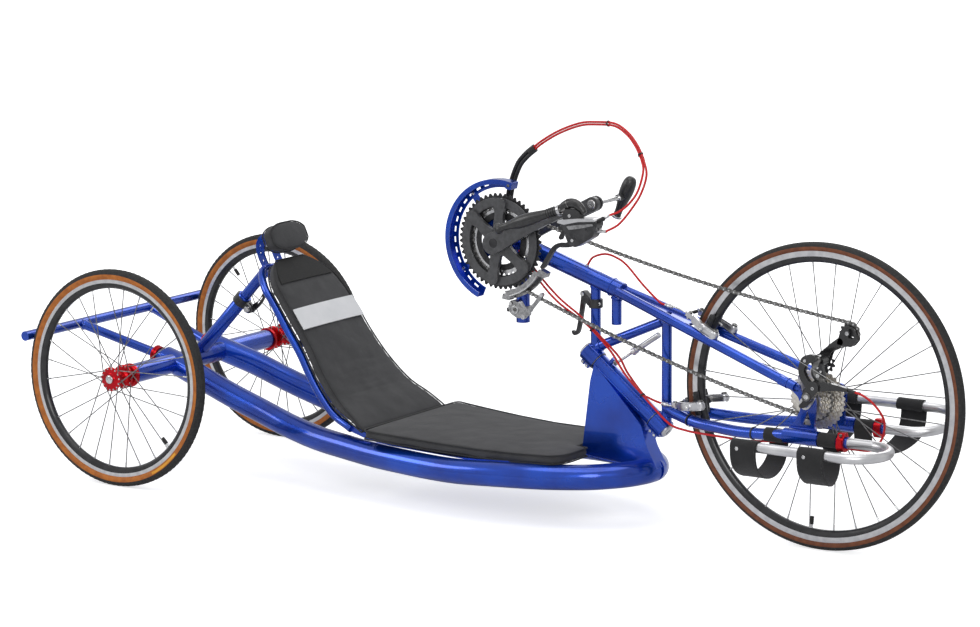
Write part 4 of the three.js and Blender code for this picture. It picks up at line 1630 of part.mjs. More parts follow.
const shifterPod = cut(
  join(
    sidePlate(POD_OUTLINE_SHARES.map((share) => podPoint(...share)), ...podFaces),
    block(POD_LENGTH / 3, POD_WIDTH * 0.8, POD_HEIGHT, at(POD_X + POD_LENGTH / 3, -GRIP_Y, POD_Z + POD_HEIGHT * 0.75)),
    ...ADJUSTER_SHARES.map(([from, to]) => bar(
      at(podPoint(...from)[0], -GRIP_Y, podPoint(...from)[1]), at(podPoint(...to)[0], -GRIP_Y, podPoint(...to)[1]), ADJUSTER_RADIUS, 8,
    )),
  ),
  gripHead(FIT_GAP),
  leverSlot,
  boss(...leverPivot, LEVER_PIN_RADIUS / 2 + RUN_GAP, podFaces[0] + OVERRUN, podFaces[1] - OVERRUN, 10),
);
add("shifter_pod", shifterPod, "black");
const leverKnee = podPoint(-0.45, -0.85);
const leverTipAt = podPoint(-0.95, -2.55);
const brakeLever = join(
  flatArm(leverPivot, leverKnee, BRAKE_LEVER_WIDTH / 2, BRAKE_LEVER_WIDTH / 2, ...leverFaces),
  flatArm(leverKnee, leverTipAt, BRAKE_LEVER_WIDTH / 2, BRAKE_LEVER_WIDTH / 2, ...leverFaces),
  boss(...leverPivot, LEVER_PIN_RADIUS / 2, podFaces[0], podFaces[1], 10),
);
add("brake_lever", brakeLever, "black");
const shiftPivot = podPoint(0.35, 0);
const shiftTip = podPoint(-0.55, -0.25);
const shiftFace = podFaces[0] + RUN_GAP;
const shiftLever = flatArm(shiftPivot, shiftTip, SHIFT_LEVER_WIDTH / 2, SHIFT_LEVER_WIDTH / 3, shiftFace, shiftFace + SHIFT_LEVER_THICKNESS);
add("shift_lever", shiftLever, "black");

// Cables: routes as shares of the boom's length, of the grips' spread and of the crank's height
const cableSpan = BOOM_END_X - CRANK_X;
const cablePoint = ([alongShare, wideShare, riseShare]) => at(
  CRANK_X + alongShare * cableSpan, wideShare * GRIP_Y, riseShare * CRANK_Z,
);
const SLEEVE_SHARES = [
  [-0.01, 0, 1.047], [-0.017, 0, 1.127], [0.003, 0, 1.193], [0.069, 0, 1.271], [0.142, 0, 1.312],
  [0.225, 0, 1.343],
];
const HAND_CABLE_SHARES = [
  [0.176, 0, 1.325], [0.291, -0.025, 1.364], [0.484, -0.1, 1.412], [0.72, -0.2, 1.451],
  [0.927, -0.325, 1.466], [1.135, -0.45, 1.471], [1.287, -0.55, 1.448], [1.405, -0.65, 1.413],
  [1.488, -0.725, 1.373], [1.533, -0.8, 1.333], [1.526, -0.9, 1.268], [1.467, -0.95, 1.222],
  [1.401, -0.99, 1.194], [1.329, -1, 1.176],
];
const HAND_BRANCH_SHARES = [
  [1.488, -0.725, 1.373], [1.547, -0.825, 1.307], [1.509, -0.94, 1.234], [1.408, -0.99, 1.17],
  [1.288, -1, 1.1198],
];
const UPPER_CABLE_SHARES = [
  [0.697, 0, 0.9304], [0.747, 0, 0.961], [0.855, 0, 0.977], [0.952, 0, 0.969], [1.048, 0, 0.944],
  [1.204, -0.02, 0.879], [1.356, -0.055, 0.828], [1.415, -0.075, 0.82], [1.484, -0.095, 0.817],
  [1.554, -0.115, 0.815],
];
const MECH_CABLE_SHARES = [
  [0.125, -0.115, 0.967], [0.211, -0.125, 0.92], [0.356, -0.14, 0.846], [0.502, -0.15, 0.791],
  [0.682, -0.155, 0.743], [0.806, -0.16, 0.706], [0.979, -0.17, 0.634], [1.111, -0.175, 0.556],
  [1.242, -0.18, 0.5], [1.367, -0.2, 0.453], [1.529, -0.23, 0.399], [1.692, -0.275, 0.387],
  [1.824, -0.3, 0.386], [2.01, -0.33, 0.386], [2.253, -0.35, 0.386], [2.547, -0.34, 0.397],
  [2.882, -0.335, 0.402], [3.031, -0.33, 0.402], [3.142, -0.33, 0.4], [3.27, -0.32, 0.405],
  [3.349, -0.31, 0.448], [3.391, -0.37, 0.503], [3.381, -0.42, 0.542], [3.311, -0.435, 0.58],
  [3.225, -0.425, 0.601], [3.128, -0.42, 0.611],
];
const LOWER_BRAKE_CABLE_SHARES = [
  [0.17, -0.102, 0.961], [0.218, -0.108, 0.928], [0.367, -0.12, 0.858], [0.512, -0.13, 0.802],
  [0.668, -0.135, 0.757], [0.768, -0.14, 0.721], [0.865, -0.15, 0.688], [1.038, -0.145, 0.618],
  [1.114, -0.135, 0.56], [1.235, -0.11, 0.49], [1.294, -0.105, 0.475], [1.37, -0.11, 0.466],
  [1.439, -0.12, 0.461],
];
const housing = (shares, radius) => bentTube(shares.map(cablePoint), radius, 8, HOUSING_STEP_DEGREES);

add("hand_cables", join(
  housing(SLEEVE_SHARES, SLEEVE_RADIUS),
  housing(HAND_CABLE_SHARES, BUNDLE_RADIUS),
  housing(HAND_BRANCH_SHARES, HOUSING_RADIUS),
), "housing");
add("upper_brake_cable", housing(UPPER_CABLE_SHARES, HOUSING_RADIUS), "housing");
const tie = bar(cablePoint(MECH_CABLE_SHARES[LOWER_TIE_STEPS]), cablePoint(LOWER_BRAKE_CABLE_SHARES[LOWER_TIE_STEPS]), HOUSING_RADIUS, 6);
add("lower_cables", join(housing(MECH_CABLE_SHARES, HOUSING_RADIUS), housing(LOWER_BRAKE_CABLE_SHARES, HOUSING_RADIUS), tie), "housing");

const bounds = new THREE.Box3().setFromObject(handcycle, true);
handcycle.position.set(-(bounds.min.x + bounds.max.x) / 2, 0, -bounds.min.z);

export default handcycle;
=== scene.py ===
import math
import bmesh
import bpy
from mathutils import Matrix, Vector, kdtree, noise


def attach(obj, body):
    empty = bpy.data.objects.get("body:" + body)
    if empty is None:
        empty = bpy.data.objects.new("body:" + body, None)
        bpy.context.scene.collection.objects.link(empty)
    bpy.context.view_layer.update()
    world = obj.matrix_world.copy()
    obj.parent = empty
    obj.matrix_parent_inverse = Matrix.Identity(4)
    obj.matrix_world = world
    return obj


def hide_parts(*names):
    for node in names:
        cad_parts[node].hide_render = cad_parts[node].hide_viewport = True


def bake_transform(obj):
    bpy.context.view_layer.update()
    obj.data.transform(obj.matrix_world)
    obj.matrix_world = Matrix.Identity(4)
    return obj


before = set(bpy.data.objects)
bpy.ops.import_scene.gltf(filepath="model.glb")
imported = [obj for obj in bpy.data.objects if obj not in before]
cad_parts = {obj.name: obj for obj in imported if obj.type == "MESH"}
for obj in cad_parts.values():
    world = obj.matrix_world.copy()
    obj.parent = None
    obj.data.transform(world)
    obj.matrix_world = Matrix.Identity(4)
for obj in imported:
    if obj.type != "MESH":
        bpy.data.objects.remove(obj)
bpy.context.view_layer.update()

# Camera, on the machine's right front side and a little above it, with a long lens.
# Places are in millimetres ahead of the rear axle, left of the middle and above the ground.
REAR_AXLE_FROM_MIDDLE = 874.232


def at(x, y, z):
    return Vector(((x - REAR_AXLE_FROM_MIDDLE) / 1000, y / 1000, z / 1000))


camera_yaw = math.radians(123.466)
camera_pitch = math.radians(-10.224)
camera_roll = math.radians(-0.355)
forward = Vector((
    math.cos(camera_pitch) * math.cos(camera_yaw),
    math.cos(camera_pitch) * math.sin(camera_yaw),
    math.sin(camera_pitch),
))
level_right = Vector((math.sin(camera_yaw), -math.cos(camera_yaw), 0))
level_up = level_right.cross(forward)
camera_right = level_right * math.cos(camera_roll) + level_up * math.sin(camera_roll)
camera_up = camera_right.cross(forward)
camera_data = bpy.data.cameras.new("camera")
camera_data.sensor_fit = "HORIZONTAL"
camera_data.sensor_width = 36
camera_data.lens = 134.45
camera_data.clip_end = 100
camera = bpy.data.objects.new("camera", camera_data)
bpy.context.scene.collection.objects.link(camera)
turn = Matrix((camera_right, camera_up, -forward)).transposed().to_4x4()
camera.matrix_world = Matrix.Translation(at(5318.5, -6788.9, 1903.7)) @ turn
bpy.context.scene.camera = camera
bpy.context.scene.view_settings.view_transform = "Standard"

# Floor and light: a plain pale floor under soft lamps, with a white room behind it.
# The camera and the gloss see white where the room is, and the floor keeps the shadow.
def node(tree, kind, inputs=None, **settings):
    """A new shader node, with its settings and the constant values of its sockets."""
    made = tree.nodes.new("ShaderNode" + kind)
    for key, value in settings.items():
        setattr(made, key, value)
    for key, value in (inputs or {}).items():
        made.inputs[key].default_value = value
    return made


def wire_up(tree, *pairs):
    for out_socket, in_socket in pairs:
        tree.links.new(out_socket, in_socket)


ROOM_LIGHT, ROOM_GLOSS = 0.37, 0.55
world = bpy.data.worlds.new("room")
world.use_nodes = True
bpy.context.scene.world = world
room = world.node_tree
room.nodes.clear()
room_out = node(room, "OutputWorld")
room_mix = node(room, "MixShader")
room_light = node(room, "Background", {"Color": (0.93, 0.95, 1, 1), "Strength": ROOM_LIGHT})
room_seen = node(room, "Background", {"Color": (1, 1, 1, 1), "Strength": 1})
room_path = node(room, "LightPath")
room_either = node(room, "Math", operation="MAXIMUM")
room_gloss = node(room, "Math", {1: ROOM_GLOSS}, operation="MULTIPLY")
wire_up(
    room, (room_path.outputs["Is Glossy Ray"], room_gloss.inputs[0]),
    (room_path.outputs["Is Camera Ray"], room_either.inputs[0]),
    (room_gloss.outputs[0], room_either.inputs[1]), (room_either.outputs[0], room_mix.inputs[0]),
    (room_light.outputs[0], room_mix.inputs[1]), (room_seen.outputs[0], room_mix.inputs[2]),
    (room_mix.outputs[0], room_out.inputs["Surface"]),
)

FLOOR_GLOW_NEAR, FLOOR_GLOW_FAR = 0.62, 1.0
floor_material = bpy.data.materials.new("pale_floor")
floor_material.use_nodes = True
floor_tree = floor_material.node_tree
floor_shade = floor_tree.nodes["Principled BSDF"]
floor_shade.inputs["Base Color"].default_value = (0.9, 0.9, 0.9, 1)
floor_shade.inputs["Roughness"].default_value = 0.85
floor_shade.inputs["Specular IOR Level"].default_value = 0.1
floor_glow = node(floor_tree, "Emission", {"Color": (1, 1, 1, 1)})
floor_path = node(floor_tree, "LightPath")
floor_place = node(floor_tree, "TexCoord")
floor_far = node(floor_tree, "VectorMath", operation="LENGTH")
floor_fade = node(
    floor_tree, "MapRange",
    {"From Min": 1.3, "From Max": 3.2, "To Min": FLOOR_GLOW_NEAR, "To Max": FLOOR_GLOW_FAR},
    interpolation_type="SMOOTHSTEP",
)
floor_lift = node(floor_tree, "Math", operation="MULTIPLY")
floor_sum = node(floor_tree, "AddShader")
floor_out = floor_tree.nodes["Material Output"]
wire_up(
    floor_tree, (floor_place.outputs["Object"], floor_far.inputs[0]),
    (floor_far.outputs["Value"], floor_fade.inputs["Value"]),
    (floor_fade.outputs["Result"], floor_lift.inputs[1]),
    (floor_path.outputs["Is Camera Ray"], floor_lift.inputs[0]),
    (floor_lift.outputs[0], floor_glow.inputs["Strength"]), (floor_shade.outputs[0], floor_sum.inputs[0]),
    (floor_glow.outputs[0], floor_sum.inputs[1]), (floor_sum.outputs[0], floor_out.inputs["Surface"]),
)
floor_mesh = bpy.data.meshes.new("floor")
floor_mesh.from_pydata([(-60, -60, 0), (60, -60, 0), (60, 60, 0), (-60, 60, 0)], [], [(0, 1, 2, 3)])
floor_mesh.materials.append(floor_material)
floor = bpy.data.objects.new("floor", floor_mesh)
bpy.context.scene.collection.objects.link(floor)


def lamp(name, place, aim, size, power):
    data = bpy.data.lights.new(name, "AREA")
    data.shape = "DISK"
    data.size = size
    data.energy = power
    made = bpy.data.objects.new(name, data)
    made.location = place
    made.rotation_euler = (Vector(aim) - Vector(place)).to_track_quat("-Z", "Y").to_euler()
    bpy.context.scene.collection.objects.link(made)
    return made


lamp("overhead_lamp", (0.3, -0.6, 3.6), (0, 0, 0.2), 3.2, 40)
lamp("front_lamp", (2.6, -4.2, 2.4), (0.2, 0, 0.4), 2.4, 62)
lamp("rear_lamp", (-3.4, -2.6, 2.6), (-0.4, 0, 0.4), 2.0, 38)
lamp("far_lamp", (-0.5, 3.6, 2.6), (0, 0, 0.3), 2.4, 30)


# Frame paint: candy blue lacquer over metal, clear and glossy, on all the welded tubes.
# Also the first place where a finish is made, so the general finish is here too.
def finish(
    name, dark, light, rough, metallic=0.0, patch=60, grain=900, bump=0.0002, coat=0.0, sheen=0.0,
    spread=(0.35, 0.65),
):
    """A finish whose colour wanders between two tones, with a fine grain in its roughness and surface."""
    material = bpy.data.materials.new(name)
    material.use_nodes = True
    tree = material.node_tree
    shade = tree.nodes["Principled BSDF"]
    place = node(tree, "TexCoord")
    patches = node(tree, "TexNoise", {"Scale": patch, "Detail": 4})
    colours = node(tree, "ValToRGB")
    for element, colour, position in zip(colours.color_ramp.elements, (dark, light), spread):
        element.color = (*colour, 1)
        element.position = position
    grains = node(tree, "TexNoise", {"Scale": grain, "Detail": 3})
    roughness = node(tree, "MapRange", {"To Min": rough[0], "To Max": rough[1]})
    raised = node(tree, "Bump", {"Distance": bump, "Strength": 0.35})
    wire_up(
        tree, (place.outputs["Object"], patches.inputs["Vector"]),
        (patches.outputs["Fac"], colours.inputs["Fac"]),
        (colours.outputs["Color"], shade.inputs["Base Color"]),
        (place.outputs["Object"], grains.inputs["Vector"]),
        (grains.outputs["Fac"], roughness.inputs["Value"]),
        (roughness.outputs["Result"], shade.inputs["Roughness"]),
        (grains.outputs["Fac"], raised.inputs["Height"]), (raised.outputs["Normal"], shade.inputs["Normal"]),
    )
    shade.inputs["Metallic"].default_value = metallic
    shade.inputs["Coat Weight"].default_value = coat
    shade.inputs["Coat Roughness"].default_value = 0.06
    shade.inputs["Sheen Weight"].default_value = sheen
    return material


blue_lacquer = finish(
    "blue_lacquer", (0.0012, 0.036, 0.33), (0.003, 0.07, 0.54), (0.2, 0.3), metallic=0.68, patch=9,
    grain=2400, bump=0.00006, coat=0.75,
)

# Main tubes: two bent aluminium tubes, one each side, that sweep low under the seat and meet at the nose.
# Each has a red collar at its rear end, where a stay of the rear guard slides in.
def new_piece(name, vertices, faces, materials, face_slots=None, smooth=True, crease=38):
    mesh = bpy.data.meshes.new(name)
    mesh.from_pydata([tuple(v) for v in vertices], [], faces)
    for material in materials if isinstance(materials, (list, tuple)) else [materials]:
        mesh.materials.append(material)
    if face_slots:
        mesh.polygons.foreach_set("material_index", face_slots)
    tidy = bmesh.new()
    tidy.from_mesh(mesh)
    bmesh.ops.recalc_face_normals(tidy, faces=tidy.faces)
    tidy.to_mesh(mesh)
    tidy.free()
    if smooth:
        mesh.polygons.foreach_set("use_smooth", [True] * len(mesh.polygons))
        mesh.set_sharp_from_angle(angle=math.radians(crease))
    piece = bpy.data.objects.new(name, mesh)
    bpy.context.scene.collection.objects.link(piece)
    return piece


def spline(points, steps):
    """Points along a smooth line through the given ones, evenly spaced by their share of each stretch."""
    line = []
    ends = [points[0] * 2 - points[1], *points, points[-1] * 2 - points[-2]]
    for i in range(1, len(ends) - 2):
        a, b, c, d = ends[i - 1:i + 3]
        for j in range(steps):
            t = j / steps
            bend, twist = 2 * a - 5 * b + 4 * c - d, 3 * b - a - 3 * c + d
            line.append(0.5 * (2 * b + (c - a) * t + bend * t * t + twist * t ** 3))
    line.append(points[-1].copy())
    return line


def sweep(name, line, radius, material, sides=28, flat=1.0, up=None):
    """A round tube along a line of points; radius may be one size or one for each point."""
    radii = radius if isinstance(radius, (list, tuple)) else [radius] * len(line)
    ahead = (line[1] - line[0]).normalized()
    across = up if up is not None else Vector((0, 0, 1)) if abs(ahead.z) < 0.9 else Vector((1, 0, 0))
    across = (across - ahead * across.dot(ahead)).normalized()
    vertices, faces = [], []
    for i, point in enumerate(line):
        now = (line[min(i + 1, len(line) - 1)] - line[max(i - 1, 0)]).normalized()
        across = (ahead.rotation_difference(now) @ across).normalized()
        across = (across - now * across.dot(now)).normalized()
        ahead = now
        beside = now.cross(across)
        for j in range(sides):
            turned = 2 * math.pi * j / sides
            vertices.append(
                point + across * (radii[i] * math.cos(turned)) + beside * (radii[i] * flat * math.sin(turned))
            )
    for i in range(len(line) - 1):
        for j in range(sides):
            k = (j + 1) % sides
            faces.append((i * sides + j, i * sides + k, (i + 1) * sides + k, (i + 1) * sides + j))
    faces.append(tuple(range(sides)))
    faces.append(tuple((len(line) - 1) * sides + j for j in range(sides)))
    return new_piece(name, vertices, faces, material)


def rod(name, start, end, radius, material, edge=0.0008, sides=28, end_radius=None):
    along = (end - start).normalized()
    length = (end - start).length
    low, high = radius, end_radius if end_radius is not None else radius
    edge = min(edge, low * 0.45, high * 0.45, length * 0.3)
    line, radii = [], []
    for step in range(4):
        turned = math.radians(30 * step)
        line.append(start + along * (edge * (1 - math.sin(turned))))
        radii.append(low - edge * (1 - math.sin(math.radians(90) - turned)) if step < 3 else low)
    for step in range(4):
        turned = math.radians(30 * (3 - step))
        line.append(end - along * (edge * (1 - math.sin(turned))))
        radii.append(high - edge * (1 - math.sin(math.radians(90) - turned)) if step > 0 else high)
    return sweep(name, line, radii, material, sides)


def under(parent, *children):
    """The children go with the parent piece, as what is welded or bolted to it."""
    for child in children:
        child.parent = parent
    return parent


def merged(name, *pieces):
    """One piece out of several, which keep their finishes."""
    slots, vertices, faces, face_slots = [], [], [], []
    for piece in pieces:
        base = len(vertices)
        own = []
        for material in piece.data.materials:
            if material not in slots:
                slots.append(material)
            own.append(slots.index(material))
        vertices += [v.co.copy() for v in piece.data.vertices]
        for polygon in piece.data.polygons:
            faces.append(tuple(base + i for i in polygon.vertices))
            face_slots.append(own[polygon.material_index] if own else 0)
        old = piece.data
        bpy.data.objects.remove(piece)
        bpy.data.meshes.remove(old)
    return new_piece(name, vertices, faces, slots, face_slots)


def fit(piece, body, slot, *nodes):
    """The piece moves with the body and stands for those CAD nodes, which it hides; the slot is not used."""
    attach(piece, body)
    if nodes:
        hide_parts(*nodes)
    return piece


SIDES = (("left", 1), ("right", -1))
# Places along the left tube; the right one is its mirror image
main_tube_route = [
    (-30, 94, 262), (0, 95, 254), (40, 100, 242), (92, 106, 226), (180, 110, 196), (266, 114, 170),
    (354, 122, 145), (441, 132, 128), (528, 142, 119), (613, 152, 112), (697, 162, 109), (779, 170, 107),
    (858, 175, 107.5), (968, 172, 113), (1068, 155, 116), (1157, 122, 119), (1200, 92, 121), (1232, 60, 123),
    (1252, 25, 125), (1258, 0, 126),
]
for name, side in SIDES:
    tube = sweep(
        f"{name}_bent_main_tube", spline([at(x, side * y, z) for x, y, z in main_tube_route], 6), 0.0285,
        blue_lacquer, 36,
    )
    fit(tube, "frame", "frame_paint", f"{name}_main_tube")


# Wheels: a tall spoked wheel in front and two small ones behind, set on cambered stub axles.
# Each is a black rim with a bright brake track, thin steel spokes in a hub, and a tyre with brown sides.
def lathe(name, rings, place, materials, steps=128, closed=True):
    """A turned piece; rings holds (along the axle, radius, finish number, rise of every other step)."""
    vertices, faces, slots = [], [], []
    for ring in rings:
        along, radius, rise = ring[0], ring[1], ring[3] if len(ring) > 3 else 0.0
        for j in range(steps):
            turned = 2 * math.pi * j / steps
            wide = radius + (rise if j % 2 else 0.0)
            vertices.append(place @ Vector((wide * math.cos(turned), along, wide * math.sin(turned))))
    count = len(rings)
    for i in range(count if closed else count - 1):
        for j in range(steps):
            k, n = (j + 1) % steps, (i + 1) % count
            faces.append((i * steps + j, i * steps + k, n * steps + k, n * steps + j))
            slots.append(rings[i][2])
    if not closed:
        faces += [tuple(range(steps)), tuple((count - 1) * steps + j for j in range(steps))]
        slots += [rings[0][2], rings[-1][2]]
    return new_piece(name, vertices, faces, materials, slots)


def rods(name, ends, radius, material, sides=8):
    """Many thin straight bars as one piece; ends holds the two ends of each."""
    vertices, faces = [], []
    for start, end in ends:
        along = (end - start).normalized()
        across = along.orthogonal().normalized()
        beside = along.cross(across)
        base = len(vertices)
        for point in (start, end):
            for j in range(sides):
                turned = 2 * math.pi * j / sides
                vertices.append(
                    point + across * (radius * math.cos(turned)) + beside * (radius * math.sin(turned))
                )
        faces += [
            (base + j, base + (j + 1) % sides, base + sides + (j + 1) % sides, base + sides + j)
            for j in range(sides)
        ]
        faces += [tuple(base + j for j in range(sides)), tuple(base + sides + j for j in range(sides))]
    return new_piece(name, vertices, faces, material)


red_anodised = finish(
    "red_anodised", (0.42, 0.006, 0.012), (0.62, 0.012, 0.02), (0.2, 0.34), metallic=0.85, patch=40,
)
polished_steel = finish(
    "polished_steel", (0.5, 0.5, 0.51), (0.72, 0.72, 0.72), (0.16, 0.32), metallic=1.0, patch=90,
)
tread_rubber = finish(
    "tread_rubber", (0.012, 0.012, 0.012), (0.028, 0.027, 0.026), (0.7, 0.9), patch=200, bump=0.0006,
)
spoke_steel = finish(
    "spoke_steel", (0.13, 0.13, 0.13), (0.26, 0.26, 0.265), (0.28, 0.42), metallic=0.9, patch=200,
)
brake_track = finish(
    "brake_track", (0.56, 0.56, 0.58), (0.7, 0.7, 0.71), (0.3, 0.46), metallic=1.0, patch=60, grain=3000,
)
rim_black = finish(
    "rim_black", (0.012, 0.012, 0.013), (0.026, 0.026, 0.028), (0.28, 0.42), metallic=0.4, patch=50, coat=0.4,
)
brown_sidewall = finish(
    "brown_sidewall", (0.13, 0.035, 0.012), (0.2, 0.06, 0.02), (0.55, 0.75), patch=70, bump=0.0005,
)
tan_sidewall = finish(
    "tan_sidewall", (0.36, 0.1, 0.01), (0.52, 0.16, 0.018), (0.5, 0.72), patch=70, bump=0.0005,
)
label_orange = finish("label_orange", (0.72, 0.3, 0.02), (0.85, 0.4, 0.03), (0.45, 0.6), patch=60)

HUB_X, HUB_Z = 1683, 334.964
# Millimetres, with places along the axle counted outward; valve and label are angles in degrees
WHEELS = {
    "front": {
        "place": Matrix.Translation(at(HUB_X, 0, HUB_Z)), "side": 1, "body": "front_wheel",
        "tyre": "front_tyre", "wheel": "front_wheel", "seat": 311, "track": 6.0, "tyre_out": 335,
        "tyre_wide": 12.5, "rim_deep": 20, "flanges": (34, -19), "flange": 21, "hub": 11, "ends": (60, -23),
        "spokes": 32, "valve": -95, "sidewall": brown_sidewall, "knobs": 0.0, "hub_finish": rim_black,
        "label": None,
    }
}
REAR_HUB_Y, REAR_HUB_Z, CAMBER = 315.066, 254.188, 1.45
REAR_WHEEL = {
    "seat": 225.5, "track": 2.6, "tyre_out": 254.2, "tyre_wide": 14, "rim_deep": 16, "flanges": (21, -23),
    "flange": 28, "hub": 13, "ends": (25, -34), "spokes": 28, "sidewall": tan_sidewall, "knobs": 0.0007,
    "hub_finish": red_anodised,
}
for name, side, valve, label in (
    ("left_rear", 1, 130, (121, 137)), ("right_rear", -1, -43.4, (-61.8, -40.6)),
):
    camber = Matrix.Rotation(math.radians(side * CAMBER), 4, "X")
    WHEELS[name] = {
        **REAR_WHEEL, "place": Matrix.Translation(at(0, side * REAR_HUB_Y, REAR_HUB_Z)) @ camber,
        "side": side, "body": f"{name}_wheel", "tyre": f"{name}_tyre", "wheel": f"{name}_wheel",
        "valve": valve, "label": label,
    }
for name, wheel in WHEELS.items():
    place, side = wheel["place"], wheel["side"]
    seat, out, wide, knobs = wheel["seat"], wheel["tyre_out"], wheel["tyre_wide"], wheel["knobs"]
    tall = out - seat
    # Along the axle and radius, from the bead to the crown, with finish 0 for the tread and 1 for the side
    half = [
        (8.2, seat + 1.0, 1, 0), (9.4, seat + 5.6, 1, 0), (wide * 0.93, seat + tall * 0.34, 1, 0),
        (wide, seat + tall * 0.5, 1, 0), (wide * 0.97, seat + tall * 0.62, 1, 0),
        (wide * 0.9, seat + tall * 0.735, 0, 0), (wide * 0.87, seat + tall * 0.77, 0, knobs),
        (wide * 0.74, seat + tall * 0.88, 0, knobs), (wide * 0.68, seat + tall * 0.895, 0, 0),
        (wide * 0.46, seat + tall * 0.965, 0, knobs), (wide * 0.36, seat + tall * 0.97, 0, 0),
        (wide * 0.16, seat + tall * 0.995, 0, knobs * 0.7), (0.0, seat + tall - knobs * 700, 0, 0),
    ]
    rings = [(y / 1000, r / 1000, m, k) for y, r, m, k in half]
    back = [(-y / 1000, r / 1000, m, k) for y, r, m, k in half[:-1]]
    mirrored = []
    for i, (y, r, _, k) in enumerate(reversed(back)):
        mirrored.append((y, r, 0 if i < 7 else 1, k))
    mirrored[-1] = (*mirrored[-1][:2], 0, 0)
    tyre = lathe(
        f"{name}_tyre_tread_and_walls", rings + mirrored, place, [tread_rubber, wheel["sidewall"]], 224,
    )
    fit(tyre, wheel["body"], "tyre", wheel["tyre"])
    if wheel["label"]:
        # The label on the outer wall is a thin raised orange panel, left bare
        first, last = (math.radians(turned) for turned in wheel["label"])
        panel_points, panel_faces = [], []
        steps = 16
        for layer, lift in enumerate((-0.0004, 0.00035)):
            for i in range(steps + 1):
                turned = first + (last - first) * i / steps
                for share in (0.36, 0.56):
                    radius = (seat + tall * share) / 1000
                    along = side * (wide * (1.0 if share > 0.5 else 0.955) / 1000 + lift)
                    panel_points.append(
                        place @ Vector((radius * math.cos(turned), along, radius * math.sin(turned)))
                    )
        span = 2 * (steps + 1)
        for i in range(steps):
            a = 2 * i
            panel_faces += [(a, a + 1, a + 3, a + 2), (span + a, span + a + 2, span + a + 3, span + a + 1)]
            panel_faces += [(a, a + 2, span + a + 2, span + a), (a + 1, span + a + 1, span + a + 3, a + 3)]
        panel_faces += [(0, span, span + 1, 1), (span - 2, span - 1, 2 * span - 1, 2 * span - 2)]
        fit(
            new_piece(f"{name}_bare_label_panel", panel_points, panel_faces, label_orange), wheel["body"],
            "tyre",
        )
    # Rim: an edge beside the tyre, a flat brake track, then a black inner wall that narrows to the spoke bed
    bed = seat - wheel["rim_deep"]
    rim = []
    for y, r, m in (
        (8.0, seat - 1.5, 0), (8.0, seat + 5.2, 0), (8.8, seat + 6.0, 0), (9.9, seat + 5.6, 0),
        (10.0, seat - wheel["track"], 0), (9.8, seat - wheel["track"] - 1.2, 1), (8.6, seat - 11.0, 1),
        (6.4, bed + 3.0, 1), (4.0, bed + 0.6, 1), (0.0, bed, 1),
    ):
        rim.append((y / 1000, r / 1000, m))
    other = [(-y, r, 1 if i < 4 else 0) for i, (y, r, _) in enumerate(reversed(rim[:-1]))]
    hoop = lathe(f"{name}_rim", rim + other, place, [brake_track, rim_black], 160)
    fit(hoop, wheel["body"], "wheel_metal", wheel["wheel"])
    # Spokes leave the hub at a slant, pass their neighbour and end in a nipple in the rim
    lines, nipples, heads = [], [], []
    for i in range(wheel["spokes"]):
        turned = 2 * math.pi * (i + 0.5) / wheel["spokes"]
        way = 1 if (i // 2) % 2 == 0 else -1
        lean = turned + way * math.radians(52)
        y = side * wheel["flanges"][i % 2]
        ring = (wheel["flange"] - 3) / 1000
        hub_end = Vector((ring * math.cos(lean), (y + way * 1.8) / 1000, ring * math.sin(lean)))
        rim_y = side * (1.5 if i % 2 == 0 else -1.5) / 1000
        rim_end = Vector(((bed + 1) / 1000 * math.cos(turned), rim_y, (bed + 1) / 1000 * math.sin(turned)))
        toward = (rim_end - hub_end).normalized()
        lines.append((place @ hub_end, place @ rim_end))
        nipples.append((place @ (rim_end - toward * 0.012), place @ rim_end))
        heads.append(
            (
                place @ Vector((hub_end.x, (y - way * 2.4) / 1000, hub_end.z)),
                place @ Vector((hub_end.x, (y + way * 2.6) / 1000, hub_end.z)),
            )
        )
    fit(rods(f"{name}_spokes", lines, 0.0012, spoke_steel), wheel["body"], "bare_metal")
    fit(rods(f"{name}_spoke_nipples", nipples, 0.0019, polished_steel, 10), wheel["body"], "bare_metal")
    fit(rods(f"{name}_spoke_heads", heads, 0.0021, polished_steel, 10), wheel["body"], "bare_metal")
    # Hub: two flanges on a waisted shell
    outer, inner = wheel["flanges"]
    hub_rings = []
    big, small = wheel["flange"], wheel["hub"]
    for y, r in (
        (wheel["ends"][0], 7), (wheel["ends"][0], small - 1), (wheel["ends"][0] - 1, small),
        (outer + 2.4, small + 1), (outer + 1.8, big - 1.2), (outer + 1.2, big), (outer - 1.2, big),
        (outer - 1.8, big - 1.2), (outer - 2.6, small + 4), (outer - 7, small), (inner + 7, small),
        (inner + 2.6, small + 4), (inner + 1.8, big - 1.2), (inner + 1.2, big), (inner - 1.2, big),
        (inner - 1.8, big - 1.2), (inner - 2.4, small + 1), (wheel["ends"][1] + 1, small),
        (wheel["ends"][1], small - 1), (wheel["ends"][1], 7),
    ):
        hub_rings.append((side * y / 1000, r / 1000, 0))
    fit(
        lathe(f"{name}_hub", hub_rings, place, wheel["hub_finish"], 56), wheel["body"],
        "red_anodised" if name != "front" else "wheel_metal",
    )
